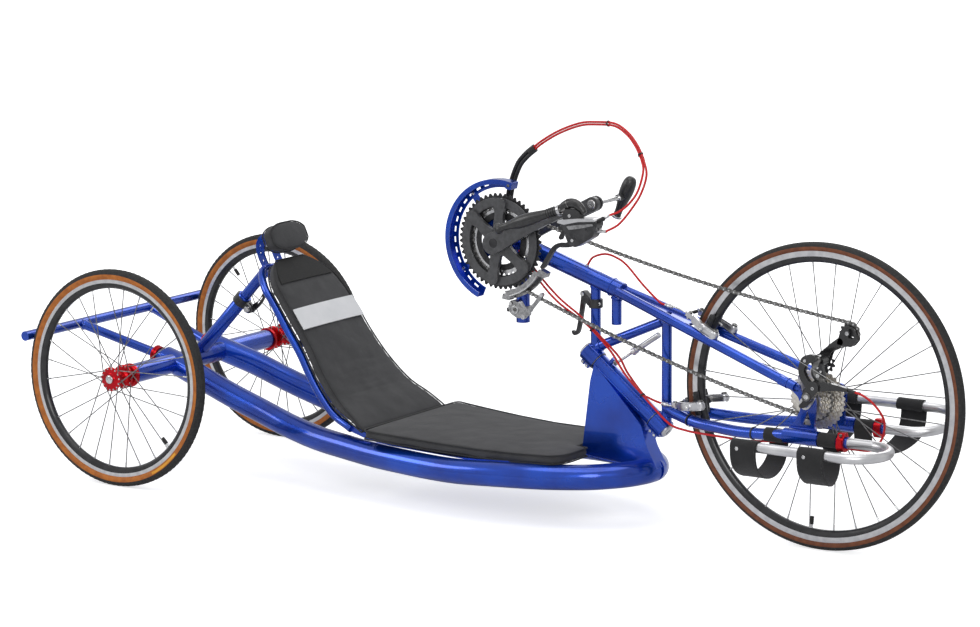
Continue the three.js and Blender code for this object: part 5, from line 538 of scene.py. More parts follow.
    # Valve with its black cap, through the rim's bed
    turned = math.radians(wheel["valve"])
    spoke_way = Vector((math.cos(turned), 0, math.sin(turned)))
    stem = rod(
        f"{name}_valve_stem", place @ (spoke_way * ((bed + 1) / 1000)),
        place @ (spoke_way * ((bed - 12) / 1000)), 0.003, polished_steel, sides=14,
    )
    fit(stem, wheel["body"], "bare_metal")
    cap = rod(
        f"{name}_valve_cap", place @ (spoke_way * ((bed - 8) / 1000)),
        place @ (spoke_way * ((bed - 25) / 1000)), 0.0042, tread_rubber, sides=16,
    )
    fit(cap, wheel["body"], "black_plastic")


# Rear axle: a round blue aluminium cross tube under the seat's back, with a turned red collar on each end.
# The stub axles are clamped in it, and each carries a wheel behind a bright end cap.
def profile(*rows):
    """The outline of a turned piece, from pairs of place along its axis and radius, in millimetres."""
    return [(along / 1000, radius / 1000, 0) for along, radius in rows]


def facing(place, axis):
    """A frame at a place, whose second direction points along the axis."""
    return Matrix.Translation(place) @ Vector(axis).to_track_quat("Y", "Z").to_matrix().to_4x4()


axle_tube = rod(
    "rear_cross_tube", at(0, -261.7, REAR_HUB_Z), at(0, 261.7, REAR_HUB_Z), 0.023, blue_lacquer, sides=56,
)
fit(axle_tube, "frame", "frame_paint", "rear_axle_tube")
for name, side in SIDES:
    place = WHEELS[f"{name}_rear"]["place"]
    reach = side * (262.3 + 28 * math.sin(math.radians(CAMBER)) - REAR_HUB_Y)
    rings = [
        (reach + side * y, r)
        for y, r in ((0, 6), (0, 26.5), (1, 27.6), (6, 27.6), (7, 26.4), (12, 24.6), (13, 23), (13, 6.2))
    ]
    collar = lathe(f"{name}_axle_collar", profile(*rings), place, red_anodised, 56)
    pin = rod(
        f"{name}_stub_axle_pin", place @ Vector((0, reach / 1000, 0)), place @ Vector((0, side * 0.0295, 0)),
        0.006, polished_steel, sides=24,
    )
    rings = [
        (side * y, r)
        for y, r in ((25.6, 3), (25.6, 9.8), (28.8, 9.8), (29.6, 9), (30.3, 6.2), (30.3, 3.4), (28.4, 3.2))
    ]
    cap = lathe(f"{name}_axle_cap", profile(*rings), place, polished_steel, 40)
    fit(collar, "frame", "red_anodised", f"{name}_stub_axle")
    fit(under(pin, cap), "frame", "bare_metal")


# Rear guard: a cross bar on two stays that slide into the red-collared sockets of the main tubes.
# It keeps a following machine out of the wheels.
guard_bar = rod(
    "guard_cross_bar", at(-258, -336, 331), at(-258, 336, 331), 0.0115, blue_lacquer, edge=0.001, sides=40,
)
for name, side in SIDES:
    stay_end = at(-258, side * 134, 331)
    socket_end = at(-60, side * 94.8, 271.3)
    into = (socket_end - stay_end).normalized()
    stay = rod(f"{name}_guard_stay", stay_end, socket_end + into * 0.035, 0.011, blue_lacquer, sides=36)
    weld = lathe(
        f"{name}_guard_weld", [(0, 0.0108, 0), (0.002, 0.0126, 0), (0.0045, 0.0128, 0), (0.0075, 0.011, 0)],
        facing(stay_end + into * 0.0095, into), blue_lacquer, 36, closed=False,
    )
    under(guard_bar, stay, weld)
    root = at(40, side * 100, 242)
    socket = rod(f"{name}_guard_socket", root, socket_end, 0.017, blue_lacquer, sides=40)
    place = facing(socket_end, (root - socket_end).normalized())
    rings = [
        (-0.0005, 0.0117, 0), (-0.001, 0.0185, 0), (0.0, 0.0205, 0), (0.0055, 0.0205, 0), (0.006, 0.0195, 0),
        (0.0072, 0.0195, 0), (0.0078, 0.0205, 0), (0.0132, 0.0205, 0), (0.0142, 0.0192, 0),
        (0.0142, 0.0117, 0),
    ]
    collar = lathe(f"{name}_guard_collar", rings, place, red_anodised, 44)
    fit(socket, "frame", "frame_paint")
    fit(collar, "frame", "red_anodised")
fit(guard_bar, "frame", "frame_paint", "rear_guard")


# Back frame: one blue tube bent round behind the cushion, hinged at the seat, with two cross members.
# It leans on the strut, whose eye sits between two lugs at the top, and carries the headrest's plates.
def rounded(points, radius, steps=5):
    """An outline with its corners rounded; points are (x, z) pairs in millimetres."""
    outline = []
    count = len(points)
    for i in range(count):
        here = Vector(points[i])
        back, ahead = Vector(points[i - 1]) - here, Vector(points[(i + 1) % count]) - here
        reach = min(radius, back.length * 0.45, ahead.length * 0.45)
        start, end = here + back.normalized() * reach, here + ahead.normalized() * reach
        for j in range(steps + 1):
            t = j / steps
            outline.append(tuple(start * (1 - t) ** 2 + here * (2 * t * (1 - t)) + end * t ** 2))
    return outline


def circle(x, z, radius, sides=20):
    return [
        (x + radius * math.cos(2 * math.pi * i / sides), z + radius * math.sin(2 * math.pi * i / sides))
        for i in range(sides)
    ]


def strip(points, halves, ends=8):
    """The outline of a curved flat bar with round ends, along a smooth line of (x, z) points."""
    line = spline([Vector((x, z, 0)) for x, z in points], 6)
    halves = halves if isinstance(halves, (list, tuple)) else [halves, halves]
    left, right = [], []
    for i, p in enumerate(line):
        t = i / (len(line) - 1) * (len(halves) - 1)
        k = min(int(t), len(halves) - 2)
        half = halves[k] + (halves[k + 1] - halves[k]) * (t - k)
        along = (line[min(i + 1, len(line) - 1)] - line[max(i - 1, 0)]).normalized()
        out = Vector((-along.y, along.x, 0))
        left.append(tuple((p + out * half).xy))
        right.append(tuple((p - out * half).xy))
    caps = []
    for p, q, half in ((line[-1], line[-2], halves[-1]), (line[0], line[1], halves[0])):
        along = (p - q).normalized()
        turned = math.atan2(along.y, along.x)
        caps.append(
            [
                (
                    p.x + half * math.cos(turned + math.pi / 2 - math.pi * j / ends),
                    p.y + half * math.sin(turned + math.pi / 2 - math.pi * j / ends),
                ) for j in range(1, ends)
            ]
        )
    return left + caps[0] + right[::-1] + caps[1]


def plate(name, outline, low, high, material, holes=(), edge=0.5):
    """A flat plate cut to an outline of (x, z) pairs, between two places across the machine, all in mm."""
    cut = bmesh.new()
    for ring in (outline, *holes):
        corners = [cut.verts.new(at(x, low, z)) for x, z in ring]
        for i in range(len(corners)):
            cut.edges.new((corners[i], corners[(i + 1) % len(corners)]))
    bmesh.ops.triangle_fill(cut, use_beauty=True, edges=cut.edges[:])
    raised = bmesh.ops.extrude_face_region(cut, geom=cut.faces[:])
    bmesh.ops.translate(
        cut, vec=(0, (high - low) / 1000, 0),
        verts=[g for g in raised["geom"] if isinstance(g, bmesh.types.BMVert)],
    )
    bmesh.ops.recalc_face_normals(cut, faces=cut.faces[:])
    mesh = bpy.data.meshes.new(name)
    cut.to_mesh(mesh)
    cut.free()
    mesh.materials.append(material)
    mesh.polygons.foreach_set("use_smooth", [True] * len(mesh.polygons))
    mesh.set_sharp_from_angle(angle=math.radians(30))
    piece = bpy.data.objects.new(name, mesh)
    bpy.context.scene.collection.objects.link(piece)
    if edge:
        soften(piece, edge)
    return piece


def soften(piece, edge, segments=2, angle=40):
    """Rounds the piece's sharp edges a little, as on a milled or moulded part."""
    bevel = piece.modifiers.new("edge", "BEVEL")
    bevel.width = edge / 1000
    bevel.segments = segments
    bevel.limit_method = "ANGLE"
    bevel.angle_limit = math.radians(angle)
    bevel.harden_normals = True
    return piece


def bolt(name, place, axis, radius, height, material, socket=True):
    """A round screw head with a socket in its top; sizes in millimetres."""
    rings = [(0, radius), (height * 0.7, radius), (height * 0.93, radius * 0.93), (height, radius * 0.8)]
    if socket:
        rings += [(height, radius * 0.5), (height * 0.45, radius * 0.45)]
    return lathe(name, profile(*rings), facing(place, Vector(axis).normalized()), material, 24, closed=False)


# Along the front face of the back, from the seat up: ahead, half the width, height
BACK_LINE = [
    (612, 168, 156), (556, 160.3, 196.3), (507, 148.7, 229.2), (458, 137.9, 280.4), (416, 127.2, 339),
    (374, 125, 397.6), (325, 116.4, 459.8), (262, 98.3, 522),
]
back_spline = spline([Vector(p) for p in BACK_LINE], 40)


def back_place(share, y, push):
    """A point behind the back's front face, which runs from the seat up; sizes in millimetres."""
    step = min(max(share, 0), 1) * (len(back_spline) - 1)
    i = min(int(step), len(back_spline) - 2)
    p = back_spline[i].lerp(back_spline[i + 1], step - i)
    along = back_spline[min(i + 4, len(back_spline) - 1)] - back_spline[max(i - 4, 0)]
    behind = Vector((-along.z, 0, along.x)).normalized()
    return Vector((p.x, y, p.z)) + behind * push


def back_half(share):
    step = min(max(share, 0), 1) * (len(back_spline) - 1)
    i = min(int(step), len(back_spline) - 2)
    return back_spline[i].lerp(back_spline[i + 1], step - i).y


def back_depth(share):
    return 0.15 + 0.85 * min(1, share / 0.25)


def tube_depth(share):
    return 24 * back_depth(share) + 14.8


rail = [
    (u, back_half(u) - 9)
    for u in (0.112, 0.14, 0.17, 0.22, 0.28, 0.35, 0.42, 0.49, 0.56, 0.63, 0.7, 0.77, 0.84, 0.92)
]
crown_up = back_spline[-1] - back_spline[-6]
crown_up.y = 0
crown_up.normalize()
crown = [
    back_place(1, share * 125, tube_depth(1)) + crown_up * (4 - 10 * share * share - 6)
    for share in (-0.5, 0, 0.5)
]
route = [back_place(u, -y, tube_depth(u)) for u, y in rail] + crown + [
    back_place(u, y, tube_depth(u)) for u, y in reversed(rail)
]
back_tube = sweep("back_frame_tube", spline([at(*p) for p in route], 6), 0.009, blue_lacquer, 28)
for i, u in enumerate((0.3, 0.62)):
    reach = back_half(u) - 9
    bar = rod(
        f"back_cross_member_{i + 1}", at(*back_place(u, -reach, tube_depth(u))),
        at(*back_place(u, reach, tube_depth(u))), 0.009, blue_lacquer, sides=28,
    )
    under(back_tube, bar)
for name, side in SIDES:
    lug = plate(
        f"{name}_strut_lug", strip([(crown[1].x, crown[1].z), (205, 484)], [9.5, 9]), side * 10.5,
        side * 14.5, blue_lacquer, [circle(205, 484, 3.2)],
    )
    foot = back_place(0.112, 0, tube_depth(0.112))
    arm = plate(
        f"{name}_hinge_arm", strip([(597, 151), (foot.x, foot.z)], [6, 8]), side * 144.6,
        side * (back_half(0.112) - 12), blue_lacquer,
    )
    pin = rod(
        f"{name}_hinge_pin", at(597, side * 136, 151), at(597, side * 148.5, 151), 0.003, polished_steel,
        sides=16,
    )
    under(back_tube, lug, arm, pin)
pivot = rod("strut_pivot_bolt", at(205, -14.4, 484), at(205, 14.4, 484), 0.003, polished_steel, sides=18)
under(
    back_tube, pivot, bolt("strut_pivot_head", at(205, -14.4, 484), (0, -1, 0), 5.5, 4, polished_steel),
    bolt("strut_pivot_nut", at(205, 14.4, 484), (0, 1, 0), 5.5, 4, polished_steel),
)
fit(back_tube, "backrest", "frame_paint", "back_frame")


# Strut: a blue outer tube from the rear cross tube, a black clamp with a cam lever, and the inner tube that
# slides in it up to the back frame. The clamp holds the back's lean.
black_metal = finish(
    "black_metal", (0.012, 0.012, 0.014), (0.03, 0.03, 0.033), (0.26, 0.42), metallic=0.3, patch=40, coat=0.3,
)
strut_foot, strut_top = at(8, 0, 276), at(205, 0, 484)
strut_way = (strut_top - strut_foot).normalized()
strut_out = Vector((strut_way.z, 0, -strut_way.x))
strut_place = facing(strut_foot, strut_way)
rings = [(0, 12), (0, 16), (188.8, 16), (190, 15.2), (190, 13.3), (60, 13.3)]
strut = lathe("strut_outer_tube", profile(*rings), strut_place, blue_lacquer, 40, closed=False)
fit(strut, "frame", "frame_paint", "strut_tube")
inner = rod(
    "strut_sliding_tube", strut_foot + strut_way * 0.045, strut_top - strut_way * 0.012, 0.0127, blue_lacquer,
    sides=36,
)
eye = plate(
    "strut_eye", strip([(198.5, 477), (205, 484)], [11, 12.4]), -7, 7, blue_lacquer, [circle(205, 484, 6.5)],
)
fit(under(inner, eye), "strut_rod", "frame_paint", "strut_inner_tube")
rings = [(164.6, 16.4), (164.6, 19.2), (165.4, 20), (184.6, 20), (185.4, 19.2), (185.4, 16.4)]
band = lathe("strut_clamp_band", profile(*rings), strut_place, black_metal, 44)
ear_middle = strut_foot + strut_way * 0.176 + strut_out * 0.0305
for name, side in SIDES:
    start = strut_foot + strut_way * 0.176 + strut_out * 0.017
    end = ear_middle + strut_out * 0.001
    ear = plate(
        f"{name}_clamp_ear",
        strip([(p.x * 1000 + REAR_AXLE_FROM_MIDDLE, p.z * 1000) for p in (start, end)], [9.4, 9]), side * 2.2,
        side * 9.8, black_metal, edge=1,
    )
    under(band, ear)
fit(band, "frame", "black_metal", "strut_clamp")
pivot_at = (150.807, 383.154)
tip = (pivot_at[0] + 0.6876 * 52, pivot_at[1] + 0.726 * 52)
middle = (pivot_at[0] + 0.6876 * 26 + 3, pivot_at[1] + 0.726 * 26 - 3)
cam = plate(
    "cam_lever", strip([pivot_at, middle, tip], [8, 5.4, 4.6]), 10.4, 16, black_metal,
    [strip([(pivot_at[0] + 15, pivot_at[1] + 13), (tip[0] - 8, tip[1] - 8.5)], [2.2, 2])], edge=1,
)
pin = rod(
    "cam_lever_pin", at(pivot_at[0], -15.8, pivot_at[1]), at(pivot_at[0], 12, pivot_at[1]), 0.0042,
    polished_steel, sides=20,
)
nut = bolt("cam_lever_nut", at(pivot_at[0], -10.3, pivot_at[1]), (0, -1, 0), 7.6, 5.6, polished_steel)
fit(under(cam, pin, nut), "strut_lever", "black_metal", "strut_lever")


# Headrest bracket: two blue drilled plates bolted beside the back frame's crown and bent forward behind the
# pad. The row of holes sets the pad's height.
pad_tilt = math.radians(24)
pad_out = Vector((math.cos(pad_tilt), 0, math.sin(pad_tilt)))
pad_up = Vector((-pad_out.z, 0, pad_out.x))
pad_middle = Vector((262, 0, 566))
pad_back = pad_middle - pad_out * 17.3
plate_route = [(239, 470), (224, 492), (209, 520), (207, 545), (222, 561), (pad_back.x - 3, pad_back.z - 1)]
hole_line = spline([Vector((x, z, 0)) for x, z in plate_route], 12)
plates = []
for name, side in SIDES:
    holes = [circle(hole_line[i].x, hole_line[i].y, 2.6, 14) for i in (4, 11, 19, 27, 35)]
    plates.append(
        plate(
            f"{name}_headrest_plate", strip(plate_route, [9.5, 9.5, 10, 12, 12.5, 12]), side * 26, side * 30,
            blue_lacquer, holes, edge=0.6,
        )
    )
    screw = bolt(
        f"{name}_headrest_screw", at(hole_line[11].x, side * 30, hole_line[11].y), (0, side, 0), 4.8, 3.4,
        polished_steel,
    )
    under(plates[-1], screw)
cross = [pad_back + pad_up * a - pad_out * b for a, b in ((-12.5, 0.2), (12.5, 0.2), (12.5, 4), (-12.5, 4))]
cross_plate = plate("headrest_cross_plate", [(p.x, p.z) for p in cross], -29.8, 29.8, blue_lacquer, edge=0.8)
fit(under(plates[0], plates[1], cross_plate), "backrest", "frame_paint", "headrest_bracket")


# Seat and back cushions: thin foam pads in charcoal woven cloth, boxed with a side wall and corded seams.
# They lie on the pan and the back frame, held by hook tape; the back has a strip of it at its top edge.
def cloth(name, dark, light, threads=1150, sheen=0.1, rough=(0.78, 0.95), depth=0.0004):
    """A woven finish: two crossing sets of threads, with a slight unevenness in colour."""
    material = finish(
        name, dark, light, rough, patch=22, grain=1800, bump=0.0002, sheen=sheen, spread=(0.3, 0.7),
    )
    tree = material.node_tree
    shade = tree.nodes["Principled BSDF"]
    place = node(tree, "TexCoord")
    both = node(tree, "Math", operation="MAXIMUM")
    for i, turned in enumerate((math.radians(45), math.radians(-45))):
        spin = node(tree, "VectorRotate", {"Angle": turned}, rotation_type="Z_AXIS")
        wave = node(tree, "TexWave", {"Scale": threads / 6.2832, "Distortion": 0.5})
        wire_up(
            tree, (place.outputs["Object"], spin.inputs["Vector"]),
            (spin.outputs["Vector"], wave.inputs["Vector"]), (wave.outputs["Fac"], both.inputs[i]),
        )
    raised = node(tree, "Bump", {"Distance": depth, "Strength": 0.5})
    wire_up(
        tree, (both.outputs[0], raised.inputs["Height"]), (raised.outputs["Normal"], shade.inputs["Normal"]),
    )
    return material


charcoal_cloth = cloth("charcoal_cloth", (0.034, 0.034, 0.036), (0.05, 0.05, 0.052))
seam_cord = cloth("seam_cord", (0.014, 0.014, 0.015), (0.024, 0.024, 0.025), threads=2200)
hook_tape = cloth(
    "hook_tape", (0.005, 0.005, 0.005), (0.01, 0.01, 0.01), threads=700, sheen=0.03, depth=0.0008,
)
bare_band = cloth(
    "bare_band", (0.72, 0.73, 0.74), (0.8, 0.8, 0.81), threads=2600, sheen=0.05, rough=(0.5, 0.65),
    depth=0.0001,
)


def pad(name, rows, columns, front, back, material, wall=4):
    """A closed pad between a front and a back face, each given as a place for shares across and along."""
    grid, vertices, faces = {}, [], []
    for row in range(rows + 1):
        for column in range(columns + 1):
            rim = row in (0, rows) or column in (0, columns)
            for layer in range(wall + 1):
                if layer in (0, wall) or rim:
                    u, v, t = row / rows, column / columns, layer / wall
                    grid[row, column, layer] = len(vertices)
                    vertices.append(front(u, v).lerp(back(u, v), t))
    for row in range(rows):
        for column in range(columns):
            for layer in (0, wall):
                faces.append([grid[row + a, column + b, layer] for a, b in ((0, 0), (1, 0), (1, 1), (0, 1))])
    for layer in range(wall):
        for row in range(rows):
            for column in (0, columns):
                faces.append([grid[row + a, column, layer + b] for a, b in ((0, 0), (1, 0), (1, 1), (0, 1))])
        for column in range(columns):
            for row in (0, rows):
                faces.append([grid[row, column + a, layer + b] for a, b in ((0, 0), (1, 0), (1, 1), (0, 1))])
    return new_piece(name, vertices, faces, material, crease=60)


def edge_line(face, rows=30, columns=24):
    """The line round the edge of a pad's face."""
    shares = [(i / rows, 0) for i in range(rows)] + [(1, i / columns) for i in range(columns)]
    shares += [(1 - i / rows, 1) for i in range(rows)] + [(0, 1 - i / columns) for i in range(columns)]
    return [face(u, v) for u, v in shares]


def closed_cord(name, line, radius, material, sides=10):
    """A corded seam that closes on itself."""
    vertices, faces = [], []
    count = len(line)
    across = None
    for i, point in enumerate(line):
        along = (line[(i + 1) % count] - line[i - 1]).normalized()
        across = along.orthogonal().normalized() if across is None else (
            across - along * across.dot(along)
        ).normalized()
        beside = along.cross(across)
        for j in range(sides):
            turned = 2 * math.pi * j / sides
            vertices.append(
                point + across * (radius * math.cos(turned)) + beside * (radius * math.sin(turned))
            )
    for i in range(count - 1):
        for j in range(sides):
            k = (j + 1) % sides
            faces.append((i * sides + j, i * sides + k, (i + 1) * sides + k, (i + 1) * sides + j))
    faces += [tuple(range(sides)), tuple((count - 1) * sides + j for j in range(sides))]
    return new_piece(name, vertices, faces, material)


def puff(piece, seams, voxel, cap, force=4.0, groove=0.0012):
    """Fills the pad as its foam does: the faces swell between the seams, which stay where they are."""
    remesh = piece.modifiers.new("even", "REMESH")
    remesh.mode = "VOXEL"
    remesh.voxel_size = voxel
    graph = bpy.context.evaluated_depsgraph_get()
    even = bpy.data.meshes.new_from_object(piece.evaluated_get(graph))
    piece.modifiers.clear()
    piece.data = even
    tree = kdtree.KDTree(sum(len(seam) for seam in seams))
    number = 0
    for seam in seams:
        for point in seam:
            tree.insert(point, number)
            number += 1
    tree.balance()
    rest = [v.co.copy() for v in even.vertices]
    reach = [tree.find(co)[2] for co in rest]
    pins = piece.vertex_groups.new(name="seams")
    for i, distance in enumerate(reach):
        if distance < 0.008:
            pins.add([i], 1.0 - max(0, distance - 0.004) / 0.004, "REPLACE")
    swell = piece.modifiers.new("swell", "CLOTH")
    swell.settings.use_pressure = True
    swell.settings.uniform_pressure_force = force
    swell.settings.effector_weights.gravity = 0
    swell.settings.vertex_group_mass = "seams"
    swell.settings.quality = 4
    swell.settings.mass = 0.25
    swell.settings.tension_stiffness = 12
    swell.settings.compression_stiffness = 12
    swell.settings.bending_stiffness = 0.4
    swell.point_cache.frame_start = 1
    swell.point_cache.frame_end = 20
    for number in range(1, 21):
        bpy.context.scene.frame_set(number)
    graph = bpy.context.evaluated_depsgraph_get()
    filled = bpy.data.meshes.new_from_object(piece.evaluated_get(graph))
    piece.modifiers.clear()
    piece.data = filled
    bpy.context.scene.frame_set(1)
    for i, vertex in enumerate(filled.vertices):
        moved = vertex.co - rest[i]
        if moved.length > cap:
            moved = moved.normalized() * cap
        creases = noise.noise(rest[i] * 26) * 0.0011 + noise.noise(rest[i] * 75) * 0.0004
        ease = min(1.0, reach[i] / 0.03)
        vertex.co = rest[i] + moved + vertex.normal * (creases * ease)
        if reach[i] < 0.006:
            vertex.co = vertex.co - vertex.normal * (groove * (1 - reach[i] / 0.006))
    filled.materials.clear()
    filled.materials.append(charcoal_cloth)
    filled.polygons.foreach_set("use_smooth", [True] * len(filled.polygons))
    finer = piece.modifiers.new("finer", "SUBSURF")
    finer.levels = 1
    finer.render_levels = 1
    return piece


SEAT_REAR, SEAT_FRONT = 610, 1118


def seat_top(x):
    """The height of the pan's top under the seat cushion, which follows the main tubes."""
    table = ((600, 157.2), (700, 151), (800, 145.5), (900, 142), (1000, 142.5), (1084, 146), (1118, 147.5))
    for (a, low), (b, high) in zip(table, table[1:]):
        if x <= b:
            return low + (high - low) * max(0, (x - a)) / (b - a)
    return table[-1][1]


def seat_place(u, v, height):
    ahead = SEAT_REAR + u * (SEAT_FRONT - SEAT_REAR)
    half = 194 + u * (158 - 194) - 4 * u * (1 - u) * 7
    for corner, gone in ((42, SEAT_FRONT - ahead), (14, ahead - SEAT_REAR)):
        if gone < corner:
            half -= corner - math.sqrt(max(0.0, corner * corner - (corner - gone) ** 2))
    y = (0.5 - v) * 2 * half
    notch = max(0.0, min(1.0, (46 - abs(y)) / 12))
    notch = notch * notch * (3 - 2 * notch)
    x = SEAT_REAR + u * (SEAT_FRONT - 34.5 * notch - SEAT_REAR)
    return at(x, y, seat_top(x) + height)


def crown_rise(u, v):
    return (16 * u * (1 - u) * v * (1 - v)) ** 0.5


def seat_front_face(u, v):
    return seat_place(u, v, 19.5 + 6.5 * crown_rise(u, v))


def seat_back_face(u, v):
    return seat_place(u, v, 0.6)


seat = pad("seat_cushion_pad", 52, 40, seat_front_face, seat_back_face, charcoal_cloth)
seat_seams = [edge_line(seat_front_face, 120, 90), edge_line(seat_back_face, 120, 90)]
puff(seat, seat_seams, 0.0055, 0.006, force=2.5)
for number, line in enumerate(seat_seams):
    under(seat, closed_cord(f"seat_seam_{number + 1}", line, 0.0017, seam_cord))
tab = [
    at(x, y, 146.2 + rise)
    for x, y, rise in (
        (1062, -92, 0), (1096, -84, 0), (1101, -128, 0), (1066, -136, 0), (1062, -92, 1.6), (1096, -84, 1.6),
        (1101, -128, 1.6), (1066, -136, 1.6),
    )
]
hook = new_piece(
    "seat_hook_tab", tab,
    [(0, 3, 2, 1), (4, 5, 6, 7), (0, 1, 5, 4), (1, 2, 6, 5), (2, 3, 7, 6), (3, 0, 4, 7)], hook_tape,
)
fit(under(seat, hook), "frame", "cushion_cloth", "seat_cushion")


def back_share(u):
    return 0.05 + u * (0.985 - 0.05)


def back_side(u, v):
    share = back_share(u)
    past = max(0.0, (u - 0.86) / 0.14)
    half = back_half(share) * math.sqrt(1 - (past * 0.86) ** 2) - 4 * u * (1 - u) * 6
    return (0.5 - v) * 2 * half


def back_front_face(u, v):
    return at(*back_place(back_share(u), back_side(u, v), -5.5 * crown_rise(u, v)))


def back_back_face(u, v):
    return at(*back_place(back_share(u), back_side(u, v), 23.2 * back_depth(back_share(u))))


back_pad = pad("back_cushion_pad", 56, 34, back_front_face, back_back_face, charcoal_cloth)
back_seams = [edge_line(back_front_face, 120, 70), edge_line(back_back_face, 120, 70)]
puff(back_pad, back_seams, 0.0055, 0.006, force=2.5)
for number, line in enumerate(back_seams):
    under(back_pad, closed_cord(f"back_seam_{number + 1}", line, 0.0018, seam_cord))


def patch(name, low, high, left, right, lift, material, rows=14, columns=30, rounding=0.0):
    """A thin sewn panel on the back cushion's face, between two shares up it and two across it."""
    def face(u, v, extra):
        across = left + (right - left) * v
        up = low + (high - low) * u
        if rounding:
            up -= rounding * (2 * v - 1) ** 2 * u
        p = back_front_face(up, across)
        q = back_back_face(up, across)
        return p + (p - q).normalized() * (lift + extra)
    return pad(
        name, rows, columns, lambda u, v: face(u, v, 0.0012), lambda u, v: face(u, v, -0.0022), material,
        wall=1,
    )


under(back_pad, patch("back_hook_strip", 0.885, 0.992, 0.05, 0.95, 0.0028, hook_tape))
under(back_pad, patch("back_bare_band", 0.645, 0.755, 0.012, 0.988, 0.0042, bare_band))
fit(back_pad, "backrest", "cushion_cloth", "back_cushion")


# Headrest: a small rounded cushion in the same cloth, boxed with two corded seams, screwed to its cross
# plate. It tilts forward a little.
def rest_place(u, v, out):
    a, b = 2 * u - 1, 2 * v - 1
    high = a * 32.5 * (1 - 0.1 * abs(b) ** 4) * (1 - 0.05 * b * b)
    wide = b * 67 * (1 - 0.1 * abs(a) ** 4)
    corner = max(0.0, abs(a) + abs(b) - 1.45)
    shrink = 1 - 0.22 * corner
    p = pad_middle + pad_up * (high * shrink) + pad_out * out
    return at(p.x, -wide * shrink, p.z)


def rest_front_face(u, v):
    return rest_place(u, v, 9 + 6.5 * crown_rise(u, v))


def rest_back_face(u, v):
    return rest_place(u, v, -16.6)


rest = pad("headrest_cushion", 22, 40, rest_front_face, rest_back_face, charcoal_cloth)
rest_seams = [edge_line(rest_front_face, 40, 80), edge_line(rest_back_face, 40, 80)]
puff(rest, rest_seams, 0.004, 0.005, force=3)
for number, line in enumerate(rest_seams):
    under(rest, closed_cord(f"headrest_seam_{number + 1}", line, 0.0016, seam_cord))
fit(rest, "backrest", "cushion_cloth", "headrest_pad")


# Head box: a folded blue plate box that stands on the nose of the main tubes and carries the head tube.
# Its front edge is a separate folded strip, welded on; the weld beads run where it meets the tubes.
def bead(name, line, radius, material, ripple=0.0009):
    """A weld bead along a line, with the ripples that the torch leaves."""
    points, sizes = [], []
    for a, b in zip(line, line[1:]):
        count = max(2, int((b - a).length / 0.0016))
        points += [a.lerp(b, i / count) for i in range(count)]
    points.append(line[-1])
    for i, point in enumerate(points):
        sizes.append(radius * (1 + 0.14 * math.sin(i * 1.9)) + ripple * 0.25 * noise.noise(point * 400))
    return sweep(name, points, sizes, material, 10)


def weld_ring(name, centre, axis, radius, material, size=0.0019, sides=44, squeeze=1.0):
    """A weld bead round a tube."""
    turn = Vector(axis).normalized().to_track_quat("Z", "X").to_matrix().to_4x4()
    line = [
        Matrix.Translation(centre) @ turn @ Vector(
            (
                radius * math.cos(2 * math.pi * i / sides),
                radius * squeeze * math.sin(2 * math.pi * i / sides), 0,
            )
        ) for i in range(sides)
    ]
    return closed_cord(name, line, size, material, 8)


head_way = Vector((0.785227, 0, -0.619208))
head_out = Vector((0.619208, 0, 0.785227))
head_high, head_low = at(1104, 0, 368), at(1279, 0, 230)
box_outline = rounded([(1121, 354), (1110, 314), (1088, 147), (1284, 131), (1256, 179), (1243, 227)], 6, 4)
box = plate("head_box_shell", box_outline, -21.6, 21.6, blue_lacquer, edge=3.2)
strip_outline = rounded(
    [(1243, 227), (1226, 240), (1214, 226), (1232, 190), (1238, 136), (1284, 132), (1257.5, 180)], 5, 4,
)
front_strip = plate("head_box_front_strip", strip_outline, -22.4, 22.4, blue_lacquer, edge=2)
head_tube = rod(
    "head_tube", head_high + head_way * 0.0205, head_low - head_way * 0.0205, 0.02, blue_lacquer, edge=0.0015,
    sides=48,
)
beads = []
for side in (1, -1):
    base = [
        at(x, side * 23, z) for x, z in ((1089, 146), (1140, 139.5), (1190, 136), (1240, 134), (1276, 134))
    ]
    beads.append(bead(f"head_box_base_weld_{side}", spline(base, 6), 0.0026, blue_lacquer))
    edge = [at(x, side * 20.4, z) for x, z in ((1128, 345), (1180, 304), (1236, 260))]
    beads.append(bead(f"head_tube_weld_{side}", edge, 0.002, blue_lacquer))
fit(under(box, front_strip, head_tube, *beads), "frame", "frame_paint", "head_box")


